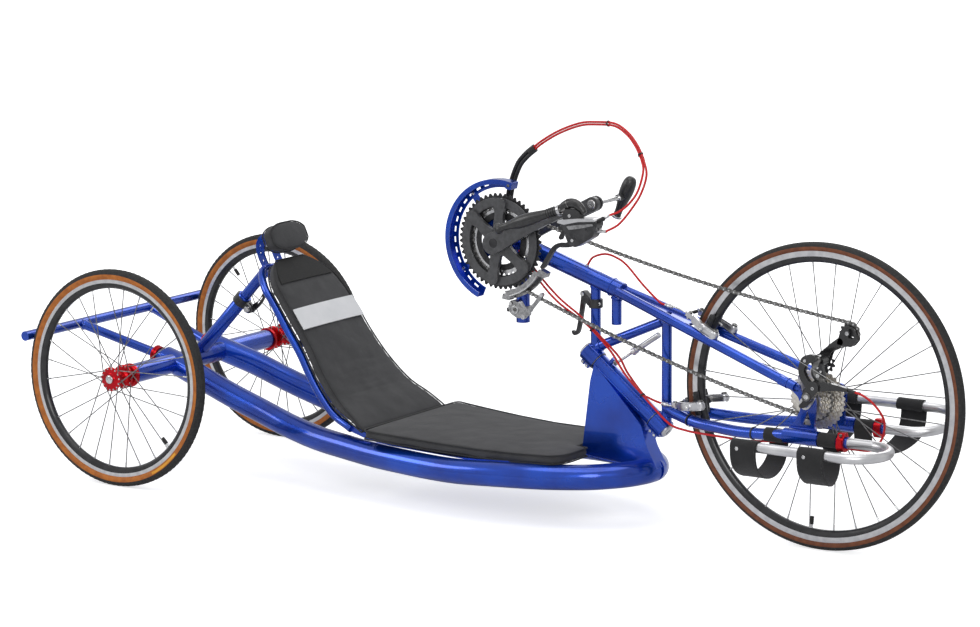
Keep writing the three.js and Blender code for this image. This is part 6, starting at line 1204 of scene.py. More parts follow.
# Steerer: an aluminium shaft in the head tube, between two dark seals, that the two knuckles are clamped on.
# Each of its ends shows a bright cap with a hexagon socket.
satin_aluminium = finish(
    "satin_aluminium", (0.56, 0.56, 0.58), (0.68, 0.68, 0.69), (0.24, 0.42), metallic=1.0, patch=25,
)
dark_steel = finish(
    "dark_steel", (0.12, 0.118, 0.115), (0.27, 0.265, 0.26), (0.25, 0.42), metallic=1.0, patch=160,
)
shaft = rod(
    "steerer_shaft", head_high - head_way * 0.0192, head_low + head_way * 0.0192, 0.014, satin_aluminium,
    sides=36,
)
for name, middle, way in (("upper", head_high, -1), ("lower", head_low, 1)):
    cap_place = facing(middle, head_way * way)
    rings = [
        (0.0193, 0.0178), (0.0222, 0.0178), (0.0236, 0.0166), (0.0253, 0.0126), (0.0253, 0.0072),
        (0.0205, 0.0066),
    ]
    cap = lathe(
        f"{name}_steerer_cap", [(y, r, 0) for y, r in rings], cap_place, satin_aluminium, 48, closed=False,
    )
    socket = lathe(
        f"{name}_steerer_socket", [(0.0206, 0.0064, 0), (0.0209, 0.0064, 0), (0.0211, 0.006, 0)], cap_place,
        dark_steel, 6, closed=False,
    )
    seal = lathe(
        f"{name}_bearing_seal",
        [(-0.0192, 0.0145, 0), (-0.0192, 0.0226, 0), (-0.0204, 0.0226, 0), (-0.0204, 0.0145, 0)], cap_place,
        dark_steel, 44,
    )
    under(shaft, cap, socket, seal)
fit(shaft, "front_fork", "bare_metal", "steerer")


def knuckle_pieces(name, middle):
    """A split clamp block on the steerer: a short thick tube with two bolted ears on its lower side."""
    rings = [
        (-0.0188, 0.0146), (-0.0188, 0.0218), (-0.0176, 0.023), (0.0176, 0.023), (0.0188, 0.0218),
        (0.0188, 0.0146),
    ]
    ring = lathe(f"{name}_knuckle", [(y, r, 0) for y, r in rings], facing(middle, head_way), blue_lacquer, 48)
    parts = [ring]
    place = Matrix.Translation(middle) @ Matrix((head_way, (0, 1, 0), head_out)).transposed().to_4x4()
    for side in (1, -1):
        for lower, upper, tag in ((-0.0122, -0.001, "a"), (0.001, 0.0122, "b")):
            corners = []
            for y in (side * 0.001, side * 0.0097):
                for a, b in ((lower, -0.0195), (upper, -0.0195), (upper, -0.0292), (lower, -0.0292)):
                    corners.append(place @ Vector((a, y, b)))
            ear = new_piece(
                f"{name}_ear_{tag}_{side}", corners,
                [(0, 1, 2, 3), (7, 6, 5, 4), (0, 4, 5, 1), (1, 5, 6, 2), (2, 6, 7, 3), (3, 7, 4, 0)],
                blue_lacquer, smooth=False,
            )
            parts.append(soften(ear, 1.6, 3))
            if side == -1:
                parts.append(
                    bolt(
                        f"{name}_pinch_bolt_{tag}", place @ Vector(((lower + upper) / 2, -0.0096, -0.0247)),
                        place.to_3x3() @ Vector((0, -1, 0)), 3.4, 2.6, polished_steel,
                    )
                )
    return parts


# Steering damper: a small gas spring with an eye at its rear end, over the head tube, and a bright barrel.
# It centres the steering.
damper_eye, damper_end = at(1165, 0, 355.7), at(1276, 0, 431)
damper_way = (damper_end - damper_eye).normalized()
damper_rod = rod(
    "damper_rod", damper_eye + damper_way * 0.004, damper_eye + damper_way * 0.058, 0.0032, polished_steel,
    sides=20,
)
damper_place = facing(damper_eye, damper_way)
rings = [(52, 4), (52, 8), (53, 8.8), (56.5, 8.8), (57.5, 8), (63, 8), (64, 6.5), (133, 6.5), (134, 5.6)]
barrel = lathe("damper_barrel", profile(*rings), damper_place, satin_aluminium, 36, closed=False)
nut = lathe(
    "damper_nut", [(0.0565, 0.0045, 0), (0.0565, 0.0088, 0), (0.0625, 0.0088, 0), (0.0625, 0.0045, 0)],
    damper_place, polished_steel, 6,
)
eye_ring = lathe(
    "damper_eye", [(-0.003, 0.0033, 0), (-0.003, 0.006, 0), (0.003, 0.006, 0), (0.003, 0.0033, 0)],
    facing(damper_eye, head_way), dark_steel, 28,
)
fit(under(damper_rod, barrel, nut, eye_ring), "damper", "bare_metal", "steering_damper")
stud = rod(
    "damper_stud", damper_eye - head_way * 0.0105 - head_out * 0.03,
    damper_eye - head_way * 0.0105 + head_out * 0.004, 0.005, blue_lacquer, sides=20,
)
stud_pin = rod(
    "damper_stud_pin", damper_eye - head_way * 0.0105, damper_eye + head_way * 0.0045, 0.003, polished_steel,
    sides=16,
)
fit(under(stud, stud_pin), "frame", "frame_paint")


# Boom: a round blue tube from the crank bearing down to the fork's crown, with the posts that are welded
# under it. The rear post carries the shifting cage, the middle one runs to the upper knuckle and a short stub
# is left open.
CRANK_X, CRANK_Z = 889, 612
BOOM_FALL = 0.321799


def boom_height(x):
    return CRANK_Z - BOOM_FALL * (x - CRANK_X)


def tube_mouth(name, centre, axis, radius, wall, depth, material):
    """The open end of a tube: its wall and the dark inside."""
    rings = [
        (-depth, radius), (-0.0006, radius), (0, radius - 0.0006), (0, radius - wall),
        (-depth, radius - wall),
    ]
    return lathe(name, [(y, r, 0) for y, r in rings], facing(centre, Vector(axis).normalized()), material, 40)


boom_way = (at(1178, 0, 519) - at(CRANK_X, 0, CRANK_Z)).normalized()
boom = rod("boom_tube", at(CRANK_X, 0, CRANK_Z), at(1180, 0, 518.4), 0.019, blue_lacquer, sides=52)
boom_sleeve = rod(
    "boom_end_sleeve", at(1156, 0, boom_height(1156)), at(1181, 0, boom_height(1181)), 0.0197, blue_lacquer,
    edge=0.0006, sides=52,
)
shell_rings = [(-34, 14), (-34, 19.6), (-33, 21), (33, 21), (34, 19.6), (34, 14)]
shell = lathe(
    "crank_bearing_shell", profile(*shell_rings), Matrix.Translation(at(CRANK_X, 0, CRANK_Z)), blue_lacquer,
    56,
)
shell_cups = lathe(
    "crank_bearing_cups", profile((-33.8, 12.4), (-33.8, 18), (33.8, 18), (33.8, 12.4)),
    Matrix.Translation(at(CRANK_X, 0, CRANK_Z)), black_metal, 48,
)
cable_post = rod(
    "cable_post_tube", at(920, 0, boom_height(920) - 8), at(920, 0, 437), 0.0155, blue_lacquer, sides=40,
)
cable_mouth = tube_mouth(
    "cable_post_mouth", at(920, 0, 425.2), (0, 0, -1), 0.0155, 0.002, 0.014, blue_lacquer,
)
middle_post = rod(
    "middle_post_tube", at(1112, 0, 384), at(1112, 0, boom_height(1112) - 4), 0.0113, blue_lacquer, sides=36,
)
stub = rod("stub_tube", at(1166, 0, 455), at(1166, 0, boom_height(1166) - 4), 0.0113, blue_lacquer, sides=36)
stub_mouth = tube_mouth("stub_mouth", at(1166, 0, 443.2), (0, 0, -1), 0.0113, 0.0018, 0.013, blue_lacquer)
boom_welds = [
    weld_ring(
        "shell_weld", at(CRANK_X, 0, CRANK_Z) + boom_way * 0.0225, boom_way, 0.0193, blue_lacquer, 0.0022,
    ),
    weld_ring("cable_post_weld", at(920, 0, boom_height(920) - 20.5), (0.31, 0, 1), 0.0158, blue_lacquer),
    weld_ring("middle_post_weld", at(1112, 0, boom_height(1112) - 20.3), (0.31, 0, 1), 0.0116, blue_lacquer),
    weld_ring("stub_weld", at(1166, 0, boom_height(1166) - 22.5), (0.31, 0, 1), 0.0116, blue_lacquer),
    weld_ring("knuckle_post_weld", at(1112, 0, 391.5), (0, 0, 1), 0.0117, blue_lacquer),
    weld_ring("sleeve_weld", at(1156, 0, boom_height(1156)), boom_way, 0.0202, blue_lacquer, 0.0012),
]
crown_points = []
for z_shift in (3, -3):
    for x, y in ((1170, 12), (1356, 33)):
        z = 519 - 0.3249 * (x - 1178) + z_shift
        crown_points += [at(x, -y, z), at(x, y, z)]
crown_web = new_piece(
    "crown_web", crown_points,
    [(0, 2, 3, 1), (4, 5, 7, 6), (0, 1, 5, 4), (2, 6, 7, 3), (0, 4, 6, 2), (1, 3, 7, 5)], blue_lacquer,
    smooth=False,
)
soften(crown_web, 1)
park_band = lathe(
    "parking_lever_band", profile((476, 11.5), (476, 15), (477, 16), (495, 16), (496, 15), (496, 11.5)),
    Matrix.Translation(at(1112, 0, 0)) @ Matrix.Rotation(math.radians(90), 4, "X"), black_metal, 44,
)
park_arm = plate(
    "parking_lever_bracket", strip([(1100, 487), (1083, 505)], [8, 7]), -8.6, 8.6, black_metal, edge=1.5,
)
park_screw = bolt("parking_lever_screw", at(1083, -8.6, 505), (0, -1, 0), 4.6, 3, polished_steel)
park_side_screw = bolt("parking_band_screw", at(1124, -6, 486), (0.5, -1, 0), 3.6, 3, polished_steel)
under(
    boom, boom_sleeve, shell, shell_cups, cable_post, cable_mouth, middle_post, stub, stub_mouth, crown_web,
    park_band, park_arm, park_screw, park_side_screw, *boom_welds, *knuckle_pieces("upper", head_high),
)
fit(boom, "front_fork", "frame_paint", "boom")
park_hook = plate(
    "parking_brake_lever",
    strip(
        [(1083, 505), (1080.5, 492), (1075, 459), (1071, 436), (1066, 418), (1058, 413), (1054, 416)],
        [7, 5.6, 4.8, 4.8, 4.4, 4.6, 3.6],
    ),
    -3.6, 3.6, black_metal, edge=1.6,
)
park_top = rod(
    "parking_lever_knuckle", at(1083, -5.2, 505), at(1083, 5.2, 505), 0.0072, black_metal, sides=28,
)
fit(under(park_hook, park_top), "parking_lever", "black_metal", "parking_lever")


# Front post and its brace: blue aluminium tubes, welded to the lower knuckle, the crown and the middle post.
# The lower knuckle is clamped on the steerer's lower end.
post = rod("front_post_tube", at(1295, 0, 236), at(1295, 0, 484), 0.0113, blue_lacquer, sides=40)
brace = rod("brace_tube", at(1112, 0, 386), at(1295, 0, 466), 0.011, blue_lacquer, sides=36)
post_welds = [
    weld_ring("post_foot_weld", at(1295, 0, 249), (0, 0, 1), 0.0117, blue_lacquer),
    weld_ring("brace_front_weld", at(1283.5, 0, 461), (0.92, 0, 0.4), 0.0114, blue_lacquer),
    weld_ring("brace_rear_weld", at(1126, 0, 392), (0.92, 0, 0.4), 0.0114, blue_lacquer),
]
fit(
    under(post, brace, *post_welds, *knuckle_pieces("lower", head_low)), "front_fork", "frame_paint",
    "front_post",
)


# Fork stays: two straight tubes from the crown down to the hub and two bent ones under them, joined at each
# side by a cut dropout plate. A thick foot tube below the dropout takes the leg rest.
LOWER_ROUTE = [
    (1302, 10, 272), (1318, 20, 267), (1397, 50, 257), (1458, 60, 254), (1520, 70, 253), (1585, 76.5, 256.5),
    (1635, 82, 261), (1660, 84, 262), (1692, 84, 262),
]
for name, side in SIDES:
    start, end = at(1176, side * 14, 519.6), at(1653, side * 67, 365)
    upper = rod(f"{name}_upper_stay_tube", start, end, 0.011, blue_lacquer, sides=36)
    tongue = plate(
        f"{name}_stay_tongue", strip([(1618, 376), (1656, 363.5)], [10.6, 9]), side * 62.5, side * 71,
        blue_lacquer, [strip([(1646, 366.8), (1660, 362.6)], [2.6, 2.6])], edge=1.2,
    )
    join_weld = weld_ring(
        f"{name}_stay_weld", at(1634, side * 65, 371), (0.94, side * 0.1, -0.3), 0.0112, blue_lacquer, 0.0014,
    )
    fit(under(upper, tongue, join_weld), "front_fork", "frame_paint", f"{name}_upper_stay")
    lower = sweep(
        f"{name}_lower_stay_tube", spline([at(x, side * y, z) for x, y, z in LOWER_ROUTE], 8), 0.0125,
        blue_lacquer, 36,
    )
    foot = rod(
        f"{name}_foot_tube", at(1637, side * 84, 262), at(1720, side * 84, 262), 0.0165, blue_lacquer,
        edge=0.0015, sides=44,
    )
    front = tube_mouth(
        f"{name}_stay_end", at(1789.5, side * 84, 262), (1, 0, 0), 0.0125, 0.0015, 0.1, blue_lacquer,
    )
    outline = rounded(
        [
            (1650, 372), (1642, 360), (1662, 345), (1668, 320), (1650, 286), (1638, 276), (1640, 262),
            (1704, 262), (1706, 276), (1700, 284), (1704, 316), (1704, 338), (1698, 352), (1684, 356),
            (1672, 352), (1660, 371),
        ],
        9, 5,
    )
    window = rounded([(1684, 318), (1693, 286), (1672, 286)], 4, 4)
    drop = plate(
        f"{name}_dropout", outline, side * 65, side * 71, blue_lacquer, [window, circle(1683, 335, 6.4, 28)],
        edge=1.2,
    )
    toe = bead(
        f"{name}_dropout_weld", [at(x, side * 72, 277.2) for x in (1641, 1660, 1680, 1703)], 0.002,
        blue_lacquer,
    )
    under(lower, foot, front, drop, toe)
    fit(lower, "front_fork", "frame_paint", f"{name}_lower_stay")
axle = rod("front_axle_pin", at(HUB_X, -72, HUB_Z), at(HUB_X, 79, HUB_Z), 0.0058, satin_aluminium, sides=28)
axle_washer = plate(
    "hanger_plate", strip([(1680, 333), (1690, 345), (1694, 356)], [14, 12, 10.5]), -75.5, -71.2,
    satin_aluminium, [circle(1683, 335, 6)], edge=0.8,
)
axle_nut = lathe(
    "front_axle_nut", profile((-75.5, 4), (-75.5, 9.4), (-78.5, 9.4), (-79.8, 8), (-79.8, 4)),
    Matrix.Translation(at(HUB_X, 0, HUB_Z)), polished_steel, 36,
)
far_nut = lathe(
    "far_axle_nut", profile((71.3, 4), (71.3, 10), (77.5, 10), (79.4, 8.2), (79.4, 4)),
    Matrix.Translation(at(HUB_X, 0, HUB_Z)), polished_steel, 6,
)
fit(under(axle, axle_washer, axle_nut, far_nut), "front_fork", "bare_metal", "front_axle")


# Leg rests: a bent bare aluminium tube each side that slides into the foot of the fork, held by a red pinch
# clamp. The left one is turned up a little.
def slab(name, outline, low, high, place, material, holes=(), edge=0.6):
    """A plate as above, but lying in a frame of its own: outline and thickness are turned by place."""
    piece = plate(name, [(x + REAR_AXLE_FROM_MIDDLE, z) for x, z in outline], low, high, material,
                  [[(x + REAR_AXLE_FROM_MIDDLE, z) for x, z in ring] for ring in holes], edge)
    piece.data.transform(place)
    return piece


LEGS = (("left", 1, 11), ("right", -1, 0))
for name, side, raised in LEGS:
    lift = math.radians(raised)

    def leg_place(x, reach, side=side, lift=lift):
        return at(x, side * (84 + reach * math.cos(lift)), 262 + reach * math.sin(lift))

    route = [leg_place(1736, 0), leg_place(1800, 0)]
    route += [
        leg_place(1843 + 71 * math.sin(math.pi * i / 16), 71 * (1 - math.cos(math.pi * i / 16)))
        for i in range(17)
    ]
    route += [leg_place(1800, 142), leg_place(1594, 142)]
    sizes = [
        0.0092 if point.x < at(1790.4, 0, 0).x and abs(point.y) < 0.09 else 0.011
        for point in spline(route, 6)
    ]
    leg = sweep(f"{name}_leg_rest_tube", spline(route, 6), sizes, satin_aluminium, 36)
    plug = rod(
        f"{name}_leg_tube_plug", leg_place(1598, 142), leg_place(1592.6, 142), 0.0098, tread_rubber, sides=28,
    )
    fit(under(leg, plug), "front_fork", "bare_metal", f"{name}_leg_tube")
    # Clamp: a milled red block with a slit, a hinge lug below and two screws
    place = Matrix.Translation(at(1776, side * 84, 262)) @ Matrix.Rotation(math.radians(90), 4, "Z")
    block = rounded(
        [
            (-18, -8), (-12, -19), (3, -21), (13, -18), (18, -6), (16, 8), (9, 13), (8, 21), (-8, 21),
            (-9, 13), (-16, 9),
        ],
        5, 4,
    )
    clamp = slab(
        f"{name}_pinch_clamp", block, -8, 8, place, red_anodised,
        [circle(0, 0, 12.8, 36), rounded([(-1.2, 14), (1.2, 14), (1.2, 19.5), (-1.2, 19.5)], 0.6)], edge=1,
    )
    face = plate(
        f"{name}_clamp_relief", rounded([(1770, 252), (1782, 252), (1782, 272), (1770, 272)], 3), side * 101,
        side * 102.4, red_anodised, edge=0.4,
    )
    screws = [
        bolt(f"{name}_clamp_screw_{i}", at(1776, side * 92.5, z), (0, side, 0), 3.6, 3.2, dark_steel)
        for i, z in enumerate((278, 246))
    ]
    fit(under(clamp, face, *screws), "front_fork", "red_anodised", f"{name}_leg_clamp")


# Calf slings: four wide black webbing straps, wrapped round the leg tube and the stay and hanging between
# them. They are sewn along both edges, with a rivet at the outer end.
black_webbing = cloth(
    "black_webbing", (0.008, 0.008, 0.009), (0.018, 0.018, 0.019), threads=900, sheen=0.12, depth=0.0006,
)
strap_thread = finish("strap_thread", (0.03, 0.03, 0.031), (0.06, 0.06, 0.06), (0.6, 0.8), patch=300)


def strap(name, line, lefts, rights, thickness=0.0024):
    """A webbing strap along a line of (y, z) points, with its two edges ahead and behind at each point."""
    rows = 14
    vertices, faces = [], []
    for i, (y, z) in enumerate(line):
        for j in range(rows + 1):
            x = lefts[i] + (rights[i] - lefts[i]) * j / rows
            wave = 0.9 * noise.noise(Vector((x * 0.03, y * 0.05, z * 0.05))) * math.sin(math.pi * j / rows)
            vertices.append(at(x, y, z + wave))
    for i in range(len(line) - 1):
        for j in range(rows):
            a = i * (rows + 1) + j
            faces.append((a, a + 1, a + rows + 2, a + rows + 1))
    piece = new_piece(name, vertices, faces, black_webbing)
    thick = piece.modifiers.new("thickness", "SOLIDIFY")
    thick.thickness = thickness
    thick.offset = 0
    soft = piece.modifiers.new("edge", "BEVEL")
    soft.width = 0.0005
    soft.segments = 2
    soft.angle_limit = math.radians(50)
    return piece


for name, side, raised in LEGS:
    lift = math.radians(raised)
    for row, (outer_low, outer_high), (inner_low, inner_high) in (
        ("rear", (1591, 1653), (1588, 1634)), ("front", (1750, 1812), (1722, 1765)),
    ):
        centre_in = (84 if row == "front" else 76.8, 262 if row == "front" else 256.8)
        centre_out = (84 + 142 * math.cos(lift), 262 + 142 * math.sin(lift))
        inner_wrap, outer_wrap = 14.6, 13.1
        line, shares = [], []
        for degrees in range(-60, 181, 12):
            turned = math.radians(degrees)
            line.append(
                (centre_in[0] + inner_wrap * math.cos(turned), centre_in[1] + inner_wrap * math.sin(turned))
            )
            shares.append(0.0)
        reach_in, reach_out = centre_in[0] - inner_wrap, centre_out[0] + outer_wrap
        middle, half = (reach_in + reach_out) / 2, (reach_out - reach_in) / 2
        for i in range(1, 32):
            turned = math.pi * i / 32
            sag = 76 * math.sin(turned) ** 0.62
            share = i / 32
            level = centre_in[1] + (centre_out[1] - centre_in[1]) * share
            bulge = 1 - 0.1 * math.sin(turned) ** 2
            line.append((middle - half * bulge * math.cos(turned), level - sag))
            shares.append(share)
        for degrees in range(0, 229, 12):
            turned = math.radians(degrees)
            line.append(
                (centre_out[0] + outer_wrap * math.cos(turned), centre_out[1] + outer_wrap * math.sin(turned))
            )
            shares.append(1.0)
        lefts = [inner_low + (outer_low - inner_low) * min(1, max(0, share * 1.5 - 0.15)) for share in shares]
        rights = [
            inner_high + (outer_high - inner_high) * min(1, max(0, share * 1.5 - 0.15)) for share in shares
        ]
        sling = strap(f"{name}_{row}_calf_sling", [(side * y, z) for y, z in line], lefts, rights)
        stitches = []
        for low_edge in (True, False):
            for i in range(22, len(line) - 1):
                x = lefts[i] + 3.5 if low_edge else rights[i] - 3.5
                (y0, z0), (y1, z1) = line[i], line[i + 1]
                a = Vector((x, y0 * 0.75 + y1 * 0.25, z0 * 0.75 + z1 * 0.25))
                b = Vector((x, y0 * 0.3 + y1 * 0.7, z0 * 0.3 + z1 * 0.7))
                away = Vector(
                    (0, (y0 + y1) / 2 - middle, (z0 + z1) / 2 - (centre_in[1] - 10))
                ).normalized() * 1.35
                stitches.append(
                    (
                        at(a.x, side * (a.y + away.y), a.z + away.z),
                        at(b.x, side * (b.y + away.y), b.z + away.z),
                    )
                )
        seams = rods(f"{name}_{row}_sling_stitches", stitches, 0.00045, strap_thread, 6)
        rivet = bolt(
            f"{name}_{row}_sling_rivet",
            at(outer_low + 17, side * (centre_out[0] + outer_wrap + 1.1), centre_out[1] - 4), (0, side, 0), 4,
            1.3, polished_steel,
        )
        fit(under(sling, seams, rivet), "front_fork", "strap_cloth", f"{name}_{row}_sling")


# Crankset: a black carbon crank with four spider arms, a big toothed ring, a small ring behind it and the
# spindle. It turns in the bearing shell of the boom; the right hand's grip hangs on the steel pin at its tip.
carbon_black = finish(
    "carbon_black", (0.045, 0.045, 0.047), (0.07, 0.071, 0.075), (0.3, 0.46), patch=90, grain=0.5, coat=0.25,
)
ring_black = finish(
    "ring_black", (0.022, 0.022, 0.023), (0.04, 0.04, 0.042), (0.34, 0.5), metallic=0.5, patch=140,
)
CRANK_TURN = 25.5
PIN_X, PIN_Z = 1064.19, 695.56


def toothed(x, z, teeth, root, tip, lean=0.0, spread=0.34):
    """Outline of a sprocket: each tooth is a narrow blunt point over a round root."""
    points = []
    for i in range(teeth):
        middle = 2 * math.pi * (i + 0.5) / teeth + lean
        step = 2 * math.pi / teeth
        for share, radius in (
            (-0.5, root), (-spread, root + (tip - root) * 0.35), (-0.13, tip), (0.13, tip),
            (spread, root + (tip - root) * 0.35),
        ):
            points.append(
                (x + radius * math.cos(middle + share * step), z + radius * math.sin(middle + share * step))
            )
    return points


def on_crank(degrees, radius):
    return (
        CRANK_X + radius * math.cos(math.radians(degrees)),
        CRANK_Z + radius * math.sin(math.radians(degrees)),
    )


def arc(low, high, radius, count, x=CRANK_X, z=CRANK_Z):
    angles = [math.radians(low + (high - low) * i / count) for i in range(count + 1)]
    return [(x + radius * math.cos(a), z + radius * math.sin(a)) for a in angles]


big_ring = plate(
    "big_ring", toothed(CRANK_X, CRANK_Z, 50, 101.6, 108.8), -45.2, -42, ring_black,
    [circle(CRANK_X, CRANK_Z, 77, 72)], edge=0.5,
)
ring_cover = plate(
    "ring_cover", circle(CRANK_X, CRANK_Z, 99.5, 96), -50.4, -45.6, carbon_black,
    [circle(CRANK_X, CRANK_Z, 79, 72)], edge=1.6,
)
small_ring = plate(
    "small_ring", toothed(CRANK_X, CRANK_Z, 38, 71.4, 79), -39.8, -37.4, polished_steel,
    [circle(CRANK_X, CRANK_Z, 60, 60)], edge=0.4,
)
# A flat black annulus just behind the small ring, filling its opening: painted shade, not a part of the
# crankset.
ring_shade = plate(
    "small_ring_painted_shade", circle(CRANK_X, CRANK_Z, 66, 60), -42, -39.9, ring_black,
    [circle(CRANK_X, CRANK_Z, 52, 60)], edge=0.5,
)
spider_parts = []
for k, degrees in enumerate((86, 143, 260, 322)):
    line = [on_crank(degrees, 8), on_crank(degrees, 34), on_crank(degrees, 62), on_crank(degrees, 84)]
    spider_parts.append(
        plate(f"spider_arm_{k}", strip(line, [19, 13.5, 11, 16]), -58, -47, carbon_black, edge=3.4)
    )
    spider_parts.append(
        plate(
            f"spider_foot_{k}", strip([on_crank(degrees, 50), on_crank(degrees, 64)], [7, 6]), -47.2, -36,
            ring_black, edge=1,
        )
    )
    for lean in (-7, 7):
        spot = on_crank(degrees + lean * 1.2, 66)
        spider_parts.append(
            rod(
                f"ring_bolt_{k}_{lean}", at(spot[0], -42.5, spot[1]), at(spot[0], -35, spot[1]), 0.0042,
                polished_steel, sides=18,
            )
        )
hub_disc = plate("spider_hub", circle(CRANK_X, CRANK_Z, 27, 48), -60, -40, carbon_black, edge=4)
spindle = rod(
    "crank_spindle", at(CRANK_X, -62, CRANK_Z), at(CRANK_X, 74, CRANK_Z), 0.0119, dark_steel, sides=36,
)
crank_line = [on_crank(CRANK_TURN, reach) for reach in (-6, 20, 60, 110, 160, 194.1)]
right_crank = plate(
    "right_crank_arm", strip(crank_line, [24, 22.5, 18, 14.5, 13.4, 14]), -74, -59.4, carbon_black, edge=5.2,
)
crank_cap = lathe(
    "crank_cap", profile((-72, 11), (-74.2, 11), (-74.5, 10.4), (-74.2, 8.5), (-74.2, 5), (-74.2, 1)),
    Matrix.Translation(at(CRANK_X, 0, CRANK_Z)), black_metal, 36, closed=False,
)
pin_right = rod(
    "right_handle_pin", at(PIN_X, -70, PIN_Z), at(PIN_X, -186, PIN_Z), 0.0049, polished_steel, sides=24,
)
pin_collar = rod(
    "right_pin_collar", at(PIN_X, -74, PIN_Z), at(PIN_X, -79, PIN_Z), 0.0088, polished_steel, sides=6,
)
crankset = under(
    big_ring, ring_cover, small_ring, ring_shade, *spider_parts, hub_disc, spindle, right_crank, crank_cap,
    pin_right, pin_collar,
)
fit(crankset, "cranks", "black_metal", "crankset")


# Left crank: the same carbon arm on the far side, pressed on the spindle's end with a black boss.
# A black plate is screwed to its tip and takes the steel pin of the left grip.
far_line = [on_crank(CRANK_TURN, reach) for reach in (-4, 20, 60, 110, 160, 194.1)]
left_arm = plate(
    "left_crank_arm", strip(far_line, [19, 17, 14.5, 14, 15.4, 16.6]), 59.6, 73, carbon_black, edge=4.4,
)
left_boss = rod(
    "left_crank_boss", at(CRANK_X, 35, CRANK_Z), at(CRANK_X, 60, CRANK_Z), 0.0185, black_metal, sides=40,
)
step_plate = plate(
    "left_handle_plate", strip([on_crank(CRANK_TURN, 146), on_crank(CRANK_TURN, 196)], [17, 17]), 73.5, 80,
    black_metal, [circle(1036, 682, 4, 16)], edge=1.2,
)
step_bolt = lathe(
    "left_handle_bolt", profile((60, 10), (57.4, 10), (56.6, 9), (56.6, 5), (58, 4.6), (58, 0.4)),
    Matrix.Translation(at(PIN_X, 0, PIN_Z)), polished_steel, 32, closed=False,
)
left_washer = lathe(
    "left_handle_washer", profile((59.8, 4), (59.8, 12.4), (58.8, 12.4), (58.8, 4)),
    Matrix.Translation(at(PIN_X, 0, PIN_Z)), dark_steel, 32,
)
pin_left = rod(
    "left_handle_pin", at(PIN_X, 78, PIN_Z), at(PIN_X, 188, PIN_Z), 0.0049, polished_steel, sides=24,
)
pin_nut = rod("left_pin_nut", at(PIN_X, 80, PIN_Z), at(PIN_X, 88, PIN_Z), 0.0085, polished_steel, sides=6)
fit(
    under(left_arm, left_boss, step_plate, step_bolt, left_washer, pin_left, pin_nut), "cranks",
    "black_metal", "left_crank",
)


# Chain guard: a bent blue channel round the rear of the ring, on two flat arms from the bearing shell.
# Its front end carries a small block that also holds the cable sleeve.
def guard_band(name, low, high, inner, outer, y0, y1, edge=0.4, holes=()):
    outline = arc(low, high, outer, 56) + list(reversed(arc(low, high, inner, 56)))
    return plate(name, outline, y0, y1, blue_lacquer, holes, edge)


guard_wall = guard_band("guard_wall", 78, 247, 138.6, 141, -56.3, -30.6)
slots = []
for i in range(15):
    low = 86 + i * 10.5
    slots.append(arc(low, low + 5.5, 132, 6) + list(reversed(arc(low, low + 5.5, 127.5, 6))))
guard_near = guard_band("guard_near_flange", 78, 247, 129.5, 139.5, -56.4, -54, edge=0.5)
guard_far = guard_band("guard_far_flange", 78, 247, 120, 139.5, -33, -30.6, edge=0.5, holes=slots)
guard_parts = [guard_near, guard_far]
for degrees in (128, 214):
    guard_parts.append(
        plate(
            f"guard_arm_{degrees}", strip([on_crank(degrees, 22), on_crank(degrees, 124)], [11, 9]), -33.2,
            -30.4, blue_lacquer, edge=0.6,
        )
    )
    spot = on_crank(degrees, 128)
    guard_parts.append(
        bolt(f"guard_screw_{degrees}", at(spot[0], -33.2, spot[1]), (0, -1, 0), 4, 2.4, polished_steel)
    )
guard_parts.append(
    plate(
        "guard_shell_ring", circle(CRANK_X, CRANK_Z, 28, 48), -33.2, -30.4, blue_lacquer,
        [circle(CRANK_X, CRANK_Z, 19.2, 40)], edge=0.6,
    )
)
guard_parts.append(
    plate(
        "guard_end_block", rounded([(910, 734), (925, 731), (929, 748), (912, 751)], 3, 4), -57, -30.2,
        blue_lacquer, edge=1.4,
    )
)
guard_parts.append(bolt("guard_end_screw", at(919, -57, 741), (0, -1, 0), 3.4, 2, dark_steel))
fit(under(guard_wall, *guard_parts), "front_fork", "frame_paint", "chain_guard")


# Chain: steel links on pins with rollers. It lies on the small ring, a middle cog and the two pulleys, and
# both of its long runs hang a little. Each wheel: its centre ahead and above, the radius that the chain has
# on it, and the way it turns
CHAIN_WHEELS = [
    (CRANK_X, CRANK_Z, 76.5, 1), (HUB_X, HUB_Z, 42, 1), (1710, 419, 22.5, -1), (1764, 488, 22.5, 1),
]
# The runs after the first and after the last wheel hang by so many millimetres
CHAIN_SAG = {0: 19, 3: 20}
CHAIN_Y = -38.6
LINK = 12.7


def chain_heading(a, b):
    dx, dz = b[0] - a[0], b[1] - a[1]
    return math.atan2(dz, dx) + math.asin((a[3] * a[2] - b[3] * b[2]) / math.hypot(dx, dz))


def on_wheel(wheel, heading):
    """The point of a wheel at which the chain runs in that heading."""
    x, z, radius, way = wheel
    return Vector((x + math.sin(heading) * way * radius, z - math.cos(heading) * way * radius))


chain_line = []
for i, wheel in enumerate(CHAIN_WHEELS):
    enter = chain_heading(CHAIN_WHEELS[i - 1], wheel)
    leave = chain_heading(wheel, CHAIN_WHEELS[(i + 1) % 4])
    while wheel[3] * (leave - enter) < 0:
        leave += wheel[3] * 2 * math.pi
    steps = max(4, int(abs(leave - enter) / math.radians(3)))
    for step in range(steps + 1):
        heading = enter + (leave - enter) * step / steps
        chain_line.append(on_wheel(wheel, heading))
    if i in CHAIN_SAG:
        after = CHAIN_WHEELS[(i + 1) % 4]
        start = chain_line[-1]
        end = on_wheel(after, leave)
        for step in range(1, 30):
            share = step / 30
            chain_line.append(start.lerp(end, share) - Vector((0, CHAIN_SAG[i] * 4 * share * (1 - share))))
chain_line.append(chain_line[0])
chain_total = sum((b - a).length for a, b in zip(chain_line, chain_line[1:]))
link_count = 2 * round(chain_total / LINK / 2)
